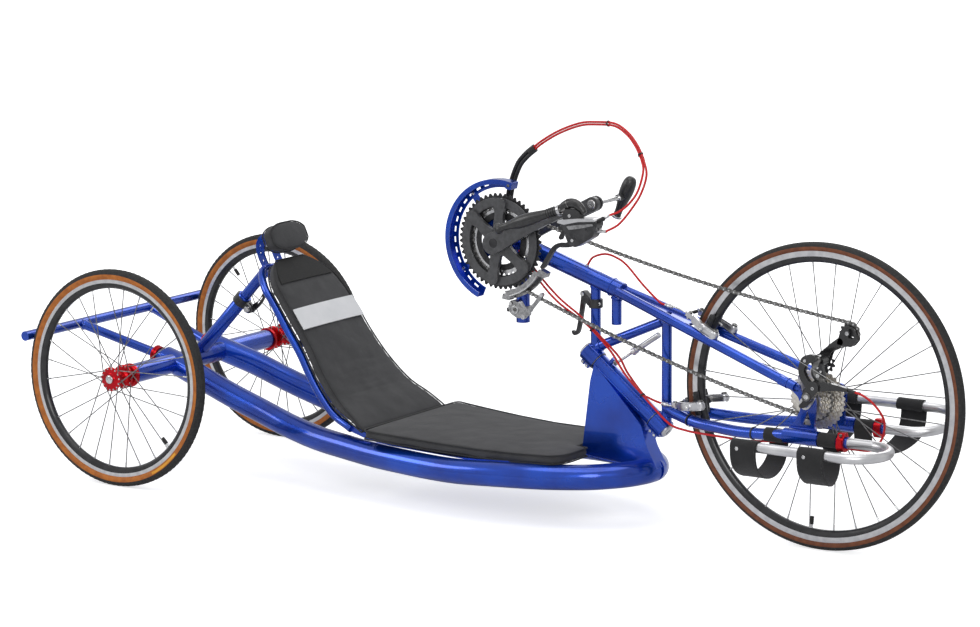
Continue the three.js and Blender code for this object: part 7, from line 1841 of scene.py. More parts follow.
joints, passed, want = [], 0.0, 0.0
for a, b in zip(chain_line, chain_line[1:]):
    run = (b - a).length
    while want <= passed + run and len(joints) < link_count:
        joints.append(a.lerp(b, (want - passed) / run))
        want += chain_total / link_count
    passed += run
chain_vertices, chain_faces = [], []
for i, start in enumerate(joints):
    end = joints[(i + 1) % len(joints)]
    way = (end - start).normalized()
    side_way = Vector((-way.y, way.x))
    reach = (end - start).length
    outline = []
    for sign in (1, -1):
        half = [
            (start - way * 3.6, 1.6), (start - way * 1.6, 3.9), (start + way * 1.4, 4.0),
            (start + way * reach * 0.5, 2.7), (end - way * 1.4, 4.0), (end + way * 1.6, 3.9),
            (end + way * 3.6, 1.6),
        ]
        outline += [place + side_way * size * sign for place, size in (half if sign == 1 else reversed(half))]
    outer = i % 2 == 0
    for y0, y1 in (((3.0, 2.1) if outer else (2.0, 1.1)), ((-2.1, -3.0) if outer else (-1.1, -2.0))):
        base = len(chain_vertices)
        count = len(outline)
        chain_vertices += [
            at(p.x, CHAIN_Y + y0, p.y) for p in outline
        ] + [at(p.x, CHAIN_Y + y1, p.y) for p in outline]
        chain_faces.append(tuple(range(base, base + count)))
        chain_faces.append(tuple(reversed(range(base + count, base + 2 * count))))
        for j in range(count):
            k = (j + 1) % count
            chain_faces.append((base + j, base + count + j, base + count + k, base + k))
chain_plates = new_piece("chain_plates", chain_vertices, chain_faces, dark_steel, smooth=False)
soften(chain_plates, 0.25, 1)
chain_pins = rods(
    "chain_pins", [(at(p.x, CHAIN_Y - 3.3, p.y), at(p.x, CHAIN_Y + 3.3, p.y)) for p in joints], 0.0019,
    polished_steel, 10,
)
chain_rollers = rods(
    "chain_rollers", [(at(p.x, CHAIN_Y - 1.1, p.y), at(p.x, CHAIN_Y + 1.1, p.y)) for p in joints], 0.0038,
    dark_steel, 12,
)
fit(under(chain_plates, chain_pins, chain_rollers), "front_fork", "bare_metal", "chain")


# Cassette: eight nickel-plated sprockets with pressed holes, between spacers on a black body.
# A lock ring on the outside holds them on the hub.
nickel = finish("nickel", (0.62, 0.58, 0.52), (0.8, 0.77, 0.71), (0.22, 0.4), metallic=0.8, patch=120)
cogs = []
for i, share in enumerate((1, 0.88, 0.79, 0.715, 0.652, 0.58, 0.51, 0.44)):
    radius = 66 * share
    y = -23.6 - i * 4.9
    teeth = max(11, round(2 * math.pi * radius / LINK))
    holes = [
        circle(HUB_X, HUB_Z, max(14.5, radius - 13), 40)
    ] if radius > 34 else [circle(HUB_X, HUB_Z, 14.5, 32)]
    cogs.append(
        plate(
            f"cog_{i}", toothed(HUB_X, HUB_Z, teeth, radius - 4.4, radius - 0.2, lean=i * 0.21), y - 1, y + 1,
            nickel, holes, edge=0.35,
        )
    )
    if radius > 34:
        spokes = []
        for k in range(6):
            a = math.radians(60 * k + 10 * i)
            b = a + 0.5
            inner, outer = 17, radius - 12
            spokes.append(
                plate(
                    f"cog_{i}_spoke_{k}",
                    strip(
                        [
                            (HUB_X + inner * math.cos(a), HUB_Z + inner * math.sin(a)),
                            (HUB_X + outer * math.cos(b), HUB_Z + outer * math.sin(b)),
                        ],
                        [3.4, 3.4], 4,
                    ),
                    y - 0.8, y + 0.8, nickel, edge=0.3,
                )
            )
        cogs += spokes
cog_body = rod("cog_body", at(HUB_X, -22, HUB_Z), at(HUB_X, -60, HUB_Z), 0.0176, black_metal, sides=40)
lock_ring = lathe(
    "lock_ring", profile((-59.4, 9), (-59.4, 18.4), (-61.2, 17.4), (-61.2, 12.5), (-60.2, 11.8), (-60.2, 9)),
    Matrix.Translation(at(HUB_X, 0, HUB_Z)), dark_steel, 48,
)
fit(under(merged("cogs", *cogs), cog_body, lock_ring), "cassette", "bare_metal", "cassette")


# Rear derailleur: a black aluminium body bolted to the hanger plate, a sprung parallelogram and a long cage.
# The cage carries two black plastic pulleys that the chain runs over.
black_plastic = finish(
    "black_plastic", (0.012, 0.012, 0.013), (0.028, 0.028, 0.03), (0.42, 0.6), patch=50, bump=0.0003,
)


def pulley(name, x, z, radius):
    wheel = plate(
        name, toothed(x, z, 11, radius - 4, radius + 1.6), CHAIN_Y - 1.1, CHAIN_Y + 1.1, black_plastic,
        [arc(72 * k, 72 * k + 32, 10.5, 4, x, z) + arc(72 * k + 40, 72 * k, 15, 5, x, z) for k in range(5)],
        edge=0.4,
    )
    axle_bolt = bolt(f"{name}_bolt", at(x, -47.2, z), (0, -1, 0), 4.6, 2, polished_steel)
    hub = rod(f"{name}_hub", at(x, -47, z), at(x, -32, z), 0.0062, black_plastic, sides=24)
    return [wheel, axle_bolt, hub]


gloss_black = finish(
    "gloss_black", (0.006, 0.006, 0.0065), (0.013, 0.013, 0.014), (0.14, 0.3), patch=60, coat=0.5,
)
cage_line = [(1706, 428), (1722, 450), (1746, 468)]
cage_head = rounded(
    [(1738, 462), (1775, 459), (1789, 475), (1782, 500), (1762, 506), (1748, 494), (1744, 480)], 6, 4,
)
head_window = rounded([(1766, 478), (1781, 478), (1777, 497), (1768, 499)], 3, 3)
mech_parts = []
for tag, y0, y1 in (("near", -47.4, -44.8), ("far", -34.2, -32)):
    mech_parts.append(plate(f"cage_arm_{tag}", strip(cage_line, [14, 8, 9]), y0, y1, gloss_black, edge=0.7))
    mech_parts.append(plate(f"cage_head_{tag}", cage_head, y0, y1, gloss_black, [head_window], edge=0.7))
mech_parts += pulley("guide_pulley", 1710, 419, 21)
mech_parts += pulley("tension_pulley", 1764, 488, 21)
mech_parts += [
    plate("cage_knuckle", circle(1708, 424, 15, 36), -74, -47.8, gloss_black, edge=3),
    plate(
        "outer_link",
        strip([(1706, 436), (1689, 430), (1681, 408), (1690, 386), (1709, 372)], [9, 9, 7, 7.5, 8]), -96, -84,
        gloss_black, edge=3.6,
    ),
    plate(
        "inner_link", strip([(1712, 430), (1706, 408), (1722, 388)], [7, 6, 6]), -83, -75, dark_steel,
        edge=1.6,
    ),
    plate(
        "spring_cover", rounded([(1700, 432), (1722, 424), (1730, 396), (1712, 380), (1697, 398)], 6, 4), -82,
        -72, black_metal, edge=2.4,
    ),
    plate(
        "mount_knuckle", strip([(1709, 374), (1700, 362), (1694, 352)], [14, 13, 11.5]), -97, -80,
        gloss_black, edge=4,
    ),
    plate(
        "cable_arm", strip([(1711, 374), (1735, 378), (1764, 378), (1784, 376)], [11, 9, 6, 4.6]), -92, -82,
        gloss_black, edge=3,
    ),
    plate(
        "stop_hook", strip([(1694, 348), (1684, 334), (1676, 329)], [9, 7, 5]), -86, -80, black_metal,
        edge=1.4,
    ),
    lathe(
        "mount_bolt_rim",
        profile((-96, 4), (-96, 9.4), (-99, 9.4), (-100, 8.6), (-100, 6.4), (-98.6, 6), (-98.6, 4)),
        Matrix.Translation(at(1695, 0, 353)), dark_steel, 36,
    ),
    bolt("mount_bolt", at(1695, -97.4, 353), (0, -1, 0), 6, 2.4, polished_steel),
    bolt("link_screw_a", at(1690, -96, 430), (0, -1, 0), 3.6, 1.6, polished_steel),
    bolt("link_screw_b", at(1709, -96, 372), (0, -1, 0), 3.6, 1.6, polished_steel),
    bolt("cable_anchor", at(1716, -83, 398), (0, -1, 0), 4.8, 5, polished_steel),
    bolt("limit_screw_a", at(1722, -83, 408), (0, -1, 0), 2.6, 3, polished_steel),
    bolt("limit_screw_b", at(1714, -82, 415), (0, -1, 0), 2.6, 3, polished_steel),
    rod("cable_barrel", at(1783, -84.4, 375.4), at(1794, -84, 373.6), 0.0042, black_plastic, sides=20),
    rod("mech_bare_cable", at(1783, -86, 376), at(1664, -101, 436), 0.0006, polished_steel, sides=8),
]
fit(under(*mech_parts), "front_fork", "black_plastic", "rear_derailleur")


# Front derailleur: a bright cage of two curved steel plates beside the ring, on a cast body.
# Its band is clamped round the cable post.
cast_metal = finish(
    "cast_metal", (0.26, 0.26, 0.265), (0.46, 0.46, 0.465), (0.22, 0.38), metallic=1.0, patch=160,
)


def cage_plate(name, y0, y1, inner, outer):
    outline = arc(-78, -30, outer, 20) + list(reversed(arc(-82, -31, inner, 20)))
    return plate(name, outline, y0, y1, cast_metal, edge=0.6)


front_mech = [
    cage_plate("front_cage_outer", -53.6, -51.4, 110.5, 125),
    cage_plate("front_cage_inner", -33, -31.2, 110, 131),
    plate(
        "front_cage_rib", arc(-76, -34, 124.4, 16) + list(reversed(arc(-76, -34, 121.4, 16))), -55.4, -53.4,
        polished_steel, edge=0.5,
    ),
    plate(
        "front_cage_bridge", rounded([(991, 545), (1012, 540), (1018, 552), (999, 560)], 3, 4), -55, -36,
        cast_metal, edge=1.2,
    ),
    plate(
        "front_cage_tail", rounded([(898, 484), (919, 482), (921, 492), (901, 497)], 3, 4), -54, -36,
        cast_metal, edge=1.2,
    ),
    plate(
        "front_mech_body",
        rounded([(914, 482), (932, 480), (948, 458), (950, 444), (932, 441), (912, 452), (908, 466)], 8, 5),
        -44, -24, cast_metal, edge=4.5,
    ),
    plate(
        "front_mech_arm", strip([(952, 448), (977, 474), (1000, 501)], [6, 4.2, 4.6]), -47, -42, cast_metal,
        edge=1.2,
    ),
    lathe(
        "front_mech_band", profile((441, 15.9), (441, 18.2), (442, 19), (462, 19), (463, 18.2), (463, 15.9)),
        Matrix.Translation(at(920, 0, 0)) @ Matrix.Rotation(math.radians(90), 4, "X"), cast_metal, 48,
    ),
    rod("front_mech_neck", at(922, -16, 453), at(924, -30, 456), 0.011, cast_metal, sides=28),
    bolt("front_mech_pivot", at(951, -47, 447), (0, -1, 0), 6, 3, polished_steel),
    lathe(
        "front_mech_ring", profile((-44, 4), (-44, 9.6), (-47, 9), (-47.6, 7), (-46.4, 6), (-46.4, 4)),
        Matrix.Translation(at(928, 0, 461)), polished_steel, 32,
    ),
    bolt("front_mech_pivot_c", at(928, -45.6, 461), (0, -1, 0), 4.6, 2.4, dark_steel),
    bolt("front_mech_pivot_b", at(917, -46, 474), (0, -1, 0), 4.2, 2.4, polished_steel),
    bolt("front_mech_anchor", at(1000, -47, 501), (0, -1, 0), 5, 3.6, polished_steel),
    bolt("front_mech_stop", at(911, -36, 459), (-1, -0.3, -0.2), 5, 9, black_plastic),
    rod("front_band_screw", at(939, -6, 452), at(939, 9, 452), 0.003, polished_steel, sides=16),
]
fit(under(*front_mech), "front_fork", "bare_metal", "front_derailleur")


# Rim brakes: two pairs of bright cast arms on studs of the stays, with black shoes, a return spring and
# screws. The hand lever works the upper pair, the parking lever the lower pair.
pad_rubber = finish(
    "pad_rubber", (0.02, 0.02, 0.021), (0.04, 0.04, 0.042), (0.65, 0.85), patch=140, bump=0.0006,
)
# The direction of the arms in degrees, the studs' place and half distance, and how far out the pads stand
BRAKES = {
    "upper": (154.3, (1437.907, 452.92), 42, 31),
    "lower": (188.3, (1410.88, 295.266), 53, 28),
}
for place_name, (degrees, (pivot_x, pivot_z), half, pad_out) in BRAKES.items():
    outward = Vector((math.cos(math.radians(degrees)), 0, math.sin(math.radians(degrees))))
    upward = Vector((math.sin(math.radians(degrees)), 0, -math.cos(math.radians(degrees))))
    place = Matrix.Translation(at(pivot_x, 0, pivot_z)) @ Matrix(
        (outward, upward, (0, 1, 0))
    ).transposed().to_4x4()
    for name, side in SIDES:
        arm_line = [
            (-2, side * half), (24, side * (half - 1)), (48, side * (half - 7)),
            (70, side * (25 + (half - 42) * 0.3)), (84, side * 24.5),
        ]
        arm = slab(
            f"{place_name}_{name}_cast_arm", strip(arm_line, [9, 7, 6.4, 6, 5]), -5, 5, place,
            satin_aluminium, [strip([arm_line[2], arm_line[3]], [2.2, 2.2], 4)], edge=2,
        )
        parts = []
        ribs = slab(
            f"{place_name}_{name}_arm_rib",
            strip(
                [(2, side * (half + 1)), (40, side * (half - 2)), (64, side * (32 + (half - 42) * 0.4))],
                [5, 4.4, 3],
            ),
            -8.2, 8.2, place, satin_aluminium, edge=1.8,
        )
        parts.append(ribs)
        stud_place = place @ Matrix.Translation((0, 0, side * half / 1000))
        parts.append(
            lathe(
                f"{place_name}_{name}_arm_boss",
                profile((-7.6, 5), (-7.6, 8.6), (7, 8.6), (8.4, 7.6), (8.4, 5)), stud_place, satin_aluminium,
                40,
            )
        )
        parts.append(
            lathe(
                f"{place_name}_{name}_stud_screw",
                profile((8, 6.4), (11, 6.4), (12, 5.4), (12, 3), (9.6, 2.8)), stud_place, dark_steel, 28,
                closed=False,
            )
        )
        for tag, reach, near, far, low, high, material, edge in (
            ("brake_shoe", 5.4, 14, 22.5, -26, 26, pad_rubber, 1.2),
            ("shoe_holder", 4.4, 21.5, 26, -22, 18, black_plastic, 1),
        ):
            corners = (
                (pad_out - reach, side * near), (pad_out + reach, side * near), (pad_out + reach, side * far),
                (pad_out - reach, side * far),
            )
            parts.append(
                slab(
                    f"{place_name}_{name}_{tag}", rounded(corners, 1.2, 3), low, high, place, material,
                    edge=edge,
                )
            )
        start = place @ Vector((pad_out / 1000, 0, side * 0.024))
        end = place @ Vector((pad_out / 1000, 0, side * (half + 9) / 1000))
        parts.append(rod(f"{place_name}_{name}_shoe_bolt", start, end, 0.0032, polished_steel, sides=20))
        turned = Matrix.Translation(place @ Vector((pad_out / 1000, 0, 0))) @ (
            Matrix.Identity(4) if side == 1 else Matrix.Rotation(math.pi, 4, "Z")
        )
        for tag, rows, material, steps in (
            (
                "inner_washer", ((26, 3.4), (26, 7), (29, 8), (31, 8), (half - 8, 6.6), (half - 8, 3.4)),
                dark_steel, 32,
            ),
            (
                "outer_washer",
                ((half + 1, 3.4), (half + 1, 8.6), (half + 3, 8.8), (half + 5, 6.6), (half + 5, 3.4)),
                satin_aluminium, 32,
            ),
            (
                "shoe_nut",
                ((half + 5, 3), (half + 5, 6.2), (half + 9.5, 6.2), (half + 10.4, 5.4), (half + 10.4, 3)),
                polished_steel, 6,
            ),
        ):
            parts.append(lathe(f"{place_name}_{name}_{tag}", profile(*rows), turned, material, steps))
        tip = place @ Vector((0.079, 0, side * 0.025))
        parts.append(
            bolt(f"{place_name}_{name}_cable_anchor", tip - upward * 0.005, -upward, 4.4, 5, polished_steel)
        )
        parts.append(
            bolt(f"{place_name}_{name}_cable_clip", tip + upward * 0.005, upward, 4.6, 3, dark_steel)
        )
        spring = [
            place @ Vector((a / 1000, -0.0088, side * b / 1000))
            for a, b in ((-6, half - 4), (-4, half + 7), (12, half + 9), (34, half + 5), (50, half))
        ]
        parts.append(sweep(f"{place_name}_{name}_spring", spline(spring, 6), 0.0008, polished_steel, 8))
        fit(under(arm, *parts), f"{place_name}_{name}_arm", "bare_metal", f"{place_name}_{name}_brake_arm")
    pull = [place @ Vector((0.083, 0, side * 0.0235)) for side in (1, -1)]
    wire = rod(f"{place_name}_brake_wire", pull[0], pull[1], 0.0007, polished_steel, sides=8)
    boot_rows = [(-14 + 2 * i, 3.9 if i % 2 else 2.9) for i in range(15)]
    boot = lathe(
        f"{place_name}_brake_boot", profile(*boot_rows), Matrix.Translation(place @ Vector((0.083, 0, 0))),
        black_plastic, 24, closed=False,
    )
    fit(under(wire, boot), "front_fork", "bare_metal")


# Hand grips: moulded black rubber on steel pins. The left one stands up on a bright flange, the right one is
# long and leans forward to a steel collar and a rounded head that carries the shifter.
grip_moulded = finish(
    "grip_moulded", (0.012, 0.012, 0.0125), (0.026, 0.026, 0.027), (0.26, 0.42), patch=90, grain=900,
    bump=0.0005, coat=0.15,
)
HAND_PIN = at(PIN_X, 0, PIN_Z)


def grip(name, degrees, y, rows, material):
    """A turned handle whose axis leans by degrees in the side view."""
    place = facing(
        HAND_PIN + Vector((0, y, 0)), (math.cos(math.radians(degrees)), 0, math.sin(math.radians(degrees))),
    )
    line = spline([Vector((a, r, 0)) for a, r in rows], 3)
    return lathe(
        name, [(p.x / 1000, max(0.4, p.y) / 1000, 0) for p in line], place, material, 56, closed=False,
    )


def pin_end(name, side):
    """The plastic sleeve and the steel ring on the pin beside a grip."""
    sleeve = rod(
        f"{name}_grip_sleeve", HAND_PIN + Vector((0, side * 0.174, 0)), HAND_PIN + Vector((0, side * 0.2, 0)),
        0.0085, black_plastic, sides=32,
    )
    ring = rod(
        f"{name}_grip_ring", HAND_PIN + Vector((0, side * 0.17, 0)), HAND_PIN + Vector((0, side * 0.1745, 0)),
        0.0078, polished_steel, sides=28,
    )
    return sleeve, ring


left_rows = [
    (-48, 9.6), (-44, 9), (-34, 9), (-22, 10.5), (-8, 13.2), (6, 15.6), (22, 16.3), (36, 15), (45, 11.6),
    (49.4, 6.5), (50.6, 1),
]
left_hand = grip("left_hand_grip", 66, 0.2, left_rows, grip_moulded)
left_flange = grip(
    "left_grip_flange", 66, 0.2, [(-53.6, 6), (-53.6, 12), (-52, 12.6), (-50, 12.6), (-48.4, 12), (-48, 8)],
    polished_steel,
)
left_cap = grip("left_grip_cap", 66, 0.2, [(-54.4, 1), (-54.4, 5.6), (-53.4, 6.4)], dark_steel)
fit(under(left_hand, left_flange, left_cap, *pin_end("left", 1)), "left_handle", "grip_rubber", "left_grip")
right_rows = [
    (-87.4, 2), (-87, 8), (-85, 12), (-82, 12.9), (-78.6, 12.2), (-75, 9.4), (-66, 8.6), (-52, 9.6),
    (-38, 12), (-22, 14.2), (-6, 14.8), (10, 14.2), (28, 12.4), (46, 10.6), (62, 9.8), (78, 10), (84, 9.6),
]
right_hand = grip("right_hand_grip", 18.6, -0.2, right_rows, grip_moulded)
grip_ridges = [
    grip(
        f"right_grip_ridge_{i}", 18.6, -0.2, [(a - 0.9, 9.4), (a, 11.3 + 0.2 * i), (a + 0.9, 9.4)],
        grip_moulded,
    ) for i, a in enumerate((54, 60, 66, 72))
]
right_collar = grip(
    "right_grip_collar", 18.6, -0.2, [(81.4, 6), (81.4, 11.2), (83, 12), (87, 12), (88.6, 11.2), (88.6, 6)],
    polished_steel,
)
neck = grip("right_grip_neck", 18.6, -0.2, [(88, 7.6), (96, 7.4), (104, 8)], dark_steel)
head_line = spline(
    [
        at(x, -200, z)
        for x, z in ((1150, 728), (1160, 735), (1173, 740), (1187, 738.5), (1200, 730), (1206, 722))
    ],
    8,
)
head_sizes = [
    0.0088 + 0.0018 * math.sin(
        math.pi * min(1, i / (len(head_line) - 1) * 1.1)
    ) - 0.0022 * (i / (len(head_line) - 1)) ** 4 for i in range(len(head_line))
]
head = sweep("right_grip_head", head_line, head_sizes, grip_moulded, 40)
head_end = lathe("right_head_end", profile((-7, 7), (0, 8), (3, 6.8), (5, 4), (5.6, 1)),
                 facing(at(1205, -200, 723.4), (0.55, 0, -0.83)), grip_moulded, 36, closed=False)
head_ring = lathe("right_head_ring", profile((-1.2, 8), (-1.2, 11.2), (1.2, 11.2), (1.2, 8)),
                  facing(at(1168, -200, 738.6), (0.92, 0, 0.38)), dark_steel, 36)
fit(
    under(right_hand, *grip_ridges, right_collar, neck, head, head_end, head_ring, *pin_end("right", -1)),
    "right_handle", "grip_rubber", "right_grip",
)


# Shifter and brake pod: a grey plastic shell with a bright upper edge and two barrel screws for the housings.
# It is clamped under the grip's head and carries the brake lever and the shift lever.
pod_grey = finish(
    "pod_grey", (0.022, 0.022, 0.024), (0.05, 0.05, 0.053), (0.24, 0.38), metallic=0.35, patch=60, coat=0.35,
)
pod = plate(
    "shifter_shell",
    rounded(
        [
            (1147, 697), (1160, 688), (1165, 672), (1174, 652), (1192, 646), (1236, 672), (1249, 703),
            (1237, 710), (1200, 706),
        ],
        6, 4,
    ),
    -213, -187, pod_grey, edge=4.2,
)
pod_parts = [
    plate(
        "shifter_bright_edge",
        rounded(
            [(1146, 697), (1150, 703), (1200, 710), (1238, 713), (1244, 707), (1200, 703), (1164, 694)], 2, 4,
        ),
        -214.8, -185.6, satin_aluminium, edge=1.6,
    ),
    plate(
        "shifter_cover",
        rounded([(1170, 691), (1192, 695), (1236, 701), (1238, 697), (1200, 688), (1176, 684)], 2, 4), -214.4,
        -212.6, cast_metal, edge=1,
    ),
    plate(
        "shifter_window", rounded([(1186, 703.6), (1214, 706.6), (1213, 710.6), (1185, 707.6)], 1.6, 3), -207,
        -193, gloss_black, edge=0.8,
    ),
    plate(
        "shifter_clamp",
        rounded([(1160, 702), (1200, 708), (1202, 722), (1190, 729), (1164, 727), (1156, 714)], 4, 4), -210,
        -190, black_plastic, edge=2.2,
    ),
    bolt("shifter_clamp_screw", at(1176, -210, 714), (0, -1, 0), 3.8, 2, polished_steel),
    bolt("shifter_shell_screw", at(1190, -213, 666), (0, -1, 0), 4.2, 0.8, black_metal),
    bolt("shifter_shell_screw_b", at(1219, -213, 688), (0, -1, 0), 2.6, 0.8, black_metal),
    bolt("lever_pivot_screw", at(1183.5, -212.6, 661), (0, -1, 0), 3.4, 1, polished_steel),
]
for tag, start, end in (("upper", (1240, 704), (1268, 720)), ("lower", (1230, 686), (1258, 685))):
    a, b = at(start[0], -200, start[1]), at(end[0], -200, end[1])
    way = (b - a).normalized()
    rows = [
        (0, 3), (0, 5.6), (6, 5.6), (7, 4.4), (10, 4.4), (10.4, 5.2), (18, 5.2), (18.6, 3.6), (24, 3.4),
        (24, 1.6),
    ]
    barrel_material = black_plastic if tag == "upper" else satin_aluminium
    pod_parts.append(
        lathe(f"{tag}_barrel_screw", profile(*rows), facing(a, way), barrel_material, 24, closed=False)
    )
    pod_parts.append(
        rod(f"{tag}_cable_ferrule", a + way * 0.0235, a + way * 0.0325, 0.0034, polished_steel, sides=20)
    )
fit(under(pod, *pod_parts), "right_handle", "black_plastic", "shifter_pod")
lever = plate(
    "brake_lever_blade",
    strip(
        [
            (1184, 662), (1176, 652), (1158, 647.5), (1143, 646), (1130, 637), (1116, 616), (1105, 599),
            (1101, 595),
        ],
        [8, 6.6, 5, 4.8, 4.8, 4.6, 5, 4.4],
    ),
    -204.6, -195.4, black_metal, edge=2.6,
)
lever_hub = rod(
    "brake_lever_hub", at(1183.5, -208, 664), at(1183.5, -192, 664), 0.0075, black_metal, sides=28,
)
fit(under(lever, lever_hub), "brake_lever", "black_metal", "brake_lever")
shift = plate(
    "shift_lever_blade", strip([(1197, 684), (1165, 680), (1136, 681)], [7, 5, 4.4]), -186.2, -182,
    black_plastic, edge=1.4,
)
shift_thumb = plate(
    "shift_thumb_piece", strip([(1151, 680.5), (1141, 668), (1137, 660)], [4.2, 4, 5]), -185.4, -178,
    black_plastic, edge=1.8,
)
fit(under(shift, shift_thumb), "shift_lever", "black_plastic", "shift_lever")


# Cables: glossy red housings. Two run side by side in a black sleeve from the boom, over a loop, to the right
# grip. Three more run to the two brakes and to the rear derailleur. Small black ties hold them.
black_housing = finish("black_housing", (0.008, 0.008, 0.009), (0.02, 0.02, 0.02), (0.35, 0.5), patch=200)
red_housing = finish("red_housing", (0.5, 0.0, 0.002), (0.62, 0.002, 0.004), (0.4, 0.5), patch=200)


def tie(name, line, index, wide=5.9, high=3.5, length=3.2, material=None):
    """A flat cable tie round the housings at one point of their line."""
    way = (line[min(index + 1, len(line) - 1)] - line[max(index - 1, 0)]).normalized()
    across = Vector((way.z, 0, -way.x)).normalized()
    beside = way.cross(across)
    vertices, faces = [], []
    section = [(-length / 2, 0), (length / 2, 0), (length / 2, 1), (-length / 2, 1)]
    for i in range(32):
        turned = 2 * math.pi * i / 32
        for along, out in section:
            vertices.append(
                line[index] + way * (along / 1000) + across * (
                    (wide + out) / 1000 * math.cos(turned)
                ) + beside * ((high + out) / 1000 * math.sin(turned))
            )
    for i in range(32):
        k = (i + 1) % 32
        for j in range(4):
            n = (j + 1) % 4
            faces.append((i * 4 + j, i * 4 + n, k * 4 + n, k * 4 + j))
    band = new_piece(name, vertices, faces, material or black_plastic, smooth=False)
    lock = line[index] + beside * (high + 1.6) / 1000 * -1
    knot = rod(
        f"{name}_lock", lock - across * 0.0022, lock + across * 0.0022, 0.0019, material or black_plastic,
        sides=8,
    )
    return [band, knot]


def shifted(line, distance):
    """The same line, moved sideways in the upright plane that it lies in."""
    moved = []
    for i, point in enumerate(line):
        way = (line[min(i + 1, len(line) - 1)] - line[max(i - 1, 0)]).normalized()
        moved.append(point + Vector((way.z, 0, -way.x)).normalized() * distance)
    return moved


def route(points, steps=10):
    return spline([at(*point) for point in points], steps)


SLEEVE = [(886, 0, 641), (884, 0, 690), (890, 0, 730), (909, 0, 778), (930, 0, 803), (954, 0, 822)]
LOOP = [
    (940, 0, 811), (973, -5, 835), (1029, -20, 864), (1097, -40, 888), (1157, -65, 897), (1217, -90, 900),
    (1261, -110, 886), (1295, -130, 865), (1319, -145, 840),
]
LEAD = [
    (1319, -145, 840), (1332, -160, 816), (1330, -180, 776), (1313, -190, 748), (1294, -198, 731),
    (1271, -200, 721.6),
]
BRANCH = [
    (1319, -145, 840), (1338, -162, 808), (1335, -180, 768), (1318, -191, 735), (1292, -198, 703),
    (1261, -200, 685.2),
]
sleeve = sweep("cable_sleeve", shifted(route(SLEEVE), 0.0046), 0.0046, black_housing, 28)
second_sleeve = sweep("cable_sleeve_second", shifted(route(SLEEVE), -0.0046), 0.0046, black_housing, 28)
sleeve_cuff = sweep("cable_sleeve_cuff", route(SLEEVE)[-7:], 0.0066, tread_rubber, 32)
sleeve_mouth = lathe(
    "cable_sleeve_root", profile((0, 7), (0, 10), (2, 11), (12, 10), (14, 8), (14, 7)),
    Matrix.Translation(at(886, 0, 632)) @ Matrix.Rotation(math.radians(90), 4, "X"), black_plastic, 36,
)
fit(under(sleeve, second_sleeve, sleeve_cuff, sleeve_mouth), "front_fork", "cable_housing")
for tag, distance in (("outer", -0.0028), ("inner", 0.0028)):
    loop = sweep(f"hand_housing_{tag}", shifted(route(LOOP), distance), 0.0025, red_housing, 20)
    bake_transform(loop)
    if tag == "outer":
        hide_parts("hand_cables")
def eased(line, distance):
    """The line moved sideways at its start, and back on its own course from the middle on."""
    return [
        point.lerp(moved, max(0.0, 1 - i / (len(line) * 0.5)))
        for i, (point, moved) in enumerate(zip(line, shifted(line, distance)))
    ]


for tag, line in (("shift", eased(route(LEAD), 0.0028)), ("brake", eased(route(BRANCH), -0.0028))):
    lead = sweep(f"hand_{tag}_housing_end", line, 0.0025, red_housing, 20)
    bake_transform(lead)
loop_line = route(LOOP)
for tag, share in (("a", 0.04), ("b", 0.58), ("c", 0.97)):
    for piece in tie(f"loop_tie_{tag}", loop_line, int(share * (len(loop_line) - 1))):
        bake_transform(piece)
UPPER_BRAKE_ROUTE = [
    (1090.5, 0, 569.4), (1105, 0, 588), (1136, 0, 598), (1164, 0, 593), (1192, 0, 578), (1237, -4, 538),
    (1281, -11, 507), (1298, -15, 502), (1318, -19, 500), (1338, -23, 499),
]
upper_line = route(UPPER_BRAKE_ROUTE)
upper_housing = sweep("upper_brake_housing", upper_line[:-16], 0.0025, red_housing, 20)
pipe_line = upper_line[-17:-4] + route(
    [(1333, -23, 499), (1345, -25, 497), (1354, -25, 493), (1361, -20, 490.6)], 5,
)[1:]
pipe = sweep("upper_brake_pipe", pipe_line, 0.0021, polished_steel, 18)
pipe_screw = lathe(
    "upper_pipe_screw", profile((-6, 2), (-6, 4.4), (0, 4.6), (1, 5.4), (7, 5.4), (8, 4), (14, 3.6), (14, 2)),
    facing(upper_line[-16], (upper_line[-14] - upper_line[-17]).normalized()), satin_aluminium, 28,
)
boom_ferrule = rod(
    "boom_cable_ferrule", upper_line[0] - (upper_line[1] - upper_line[0]).normalized() * 0.004, upper_line[1],
    0.0038, satin_aluminium, sides=20,
)
fit(under(upper_housing, pipe, pipe_screw, boom_ferrule), "front_fork", "red_housing", "upper_brake_cable")
SHIFT_ROUTE = [
    (925, -23, 592), (950, -25, 563), (992, -28, 518), (1034, -30, 484), (1086, -31, 455), (1122, -32, 432),
    (1172, -34, 388), (1210, -35, 340), (1248, -36, 306), (1284, -40, 277), (1331, -46, 244),
    (1378, -55, 237), (1416, -60, 236), (1470, -66, 236), (1540, -70, 236), (1625, -68, 243),
    (1722, -67, 246), (1765, -66, 246), (1797, -66, 245), (1834, -64, 248), (1857, -62, 274),
    (1869, -74, 308), (1866, -84, 332), (1846, -87, 355), (1821, -85, 368), (1793, -84, 374),
]
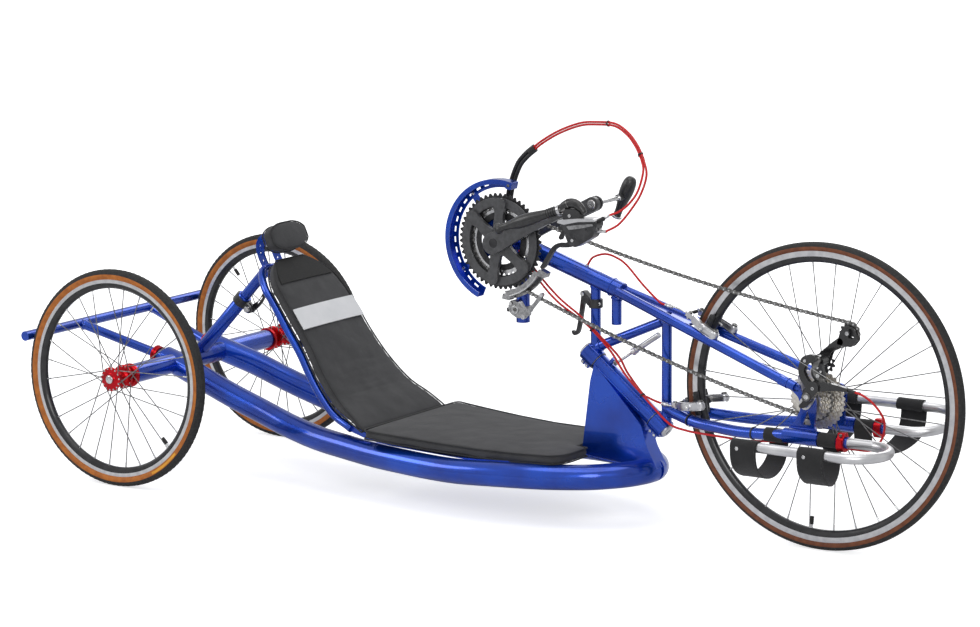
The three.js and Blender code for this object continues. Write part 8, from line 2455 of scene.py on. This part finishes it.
LOW_BRAKE_ROUTE = [
    (938, -20.4, 588), (952, -22, 568), (995, -24, 525), (1037, -26, 491), (1082, -27, 463), (1111, -28, 441),
    (1139, -30, 421), (1189, -29, 378), (1211, -27, 343), (1246, -22, 300), (1263, -21, 291),
    (1285, -22, 285), (1305, -24, 282),
]
shift_line, low_line = route(SHIFT_ROUTE), route(LOW_BRAKE_ROUTE)
shift_housing = sweep("shift_housing", shift_line, 0.0025, red_housing, 20)
low_housing = sweep("lower_brake_housing", low_line, 0.0025, red_housing, 20)
shift_ferrule = rod(
    "shift_housing_ferrule", shift_line[-5],
    shift_line[-1] + (shift_line[-1] - shift_line[-5]).normalized() * 0.004, 0.0033, black_plastic, sides=20,
)
low_pipe = sweep(
    "lower_brake_pipe", route([(1303, -24, 282), (1315, -26, 281), (1327, -26, 281.5), (1330, -19, 283)], 6),
    0.0021, polished_steel, 18,
)
low_screw = lathe(
    "lower_pipe_screw", profile((-6, 2), (-6, 4.4), (0, 4.6), (1, 5.4), (7, 5.4), (8, 4), (13, 3.6), (13, 2)),
    facing(at(1303, -24, 282), (0.98, -0.12, -0.05)), satin_aluminium, 28,
)
ties = []
for tag, share in (("d", 0.2), ("e", 0.33)):
    ties += tie(f"pair_tie_{tag}", shift_line, int(share * (len(shift_line) - 1)), 3.9, 5.2)
STAY_TIES = (
    ("f", (1382, -46.2, 258.6), (0.93, -0.36, -0.1)), ("g", (1555, -73.6, 254.6), (0.93, -0.09, 0.02)),
)
for tag, spot, stay_way in STAY_TIES:
    ring = lathe(
        f"stay_tie_{tag}", profile((-1.8, 12.9), (-1.8, 14), (1.8, 14), (1.8, 12.9)),
        facing(at(*spot), stay_way), black_plastic, 40,
    )
    ties.append(ring)
fit(
    under(shift_housing, low_housing, shift_ferrule, low_pipe, low_screw, *ties), "front_fork", "red_housing",
    "lower_cables",
)


# Seat pan: the blue plate under the cushion, between the main tubes. It is all but hidden in the photo,
# so the solid itself is shown.
pan_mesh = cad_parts["seat_pan"].data
pan_mesh.materials.clear()
pan_mesh.materials.append(blue_lacquer)
pan_mesh.polygons.foreach_set("use_smooth", [True] * len(pan_mesh.polygons))
pan_mesh.set_sharp_from_angle(angle=math.radians(38))
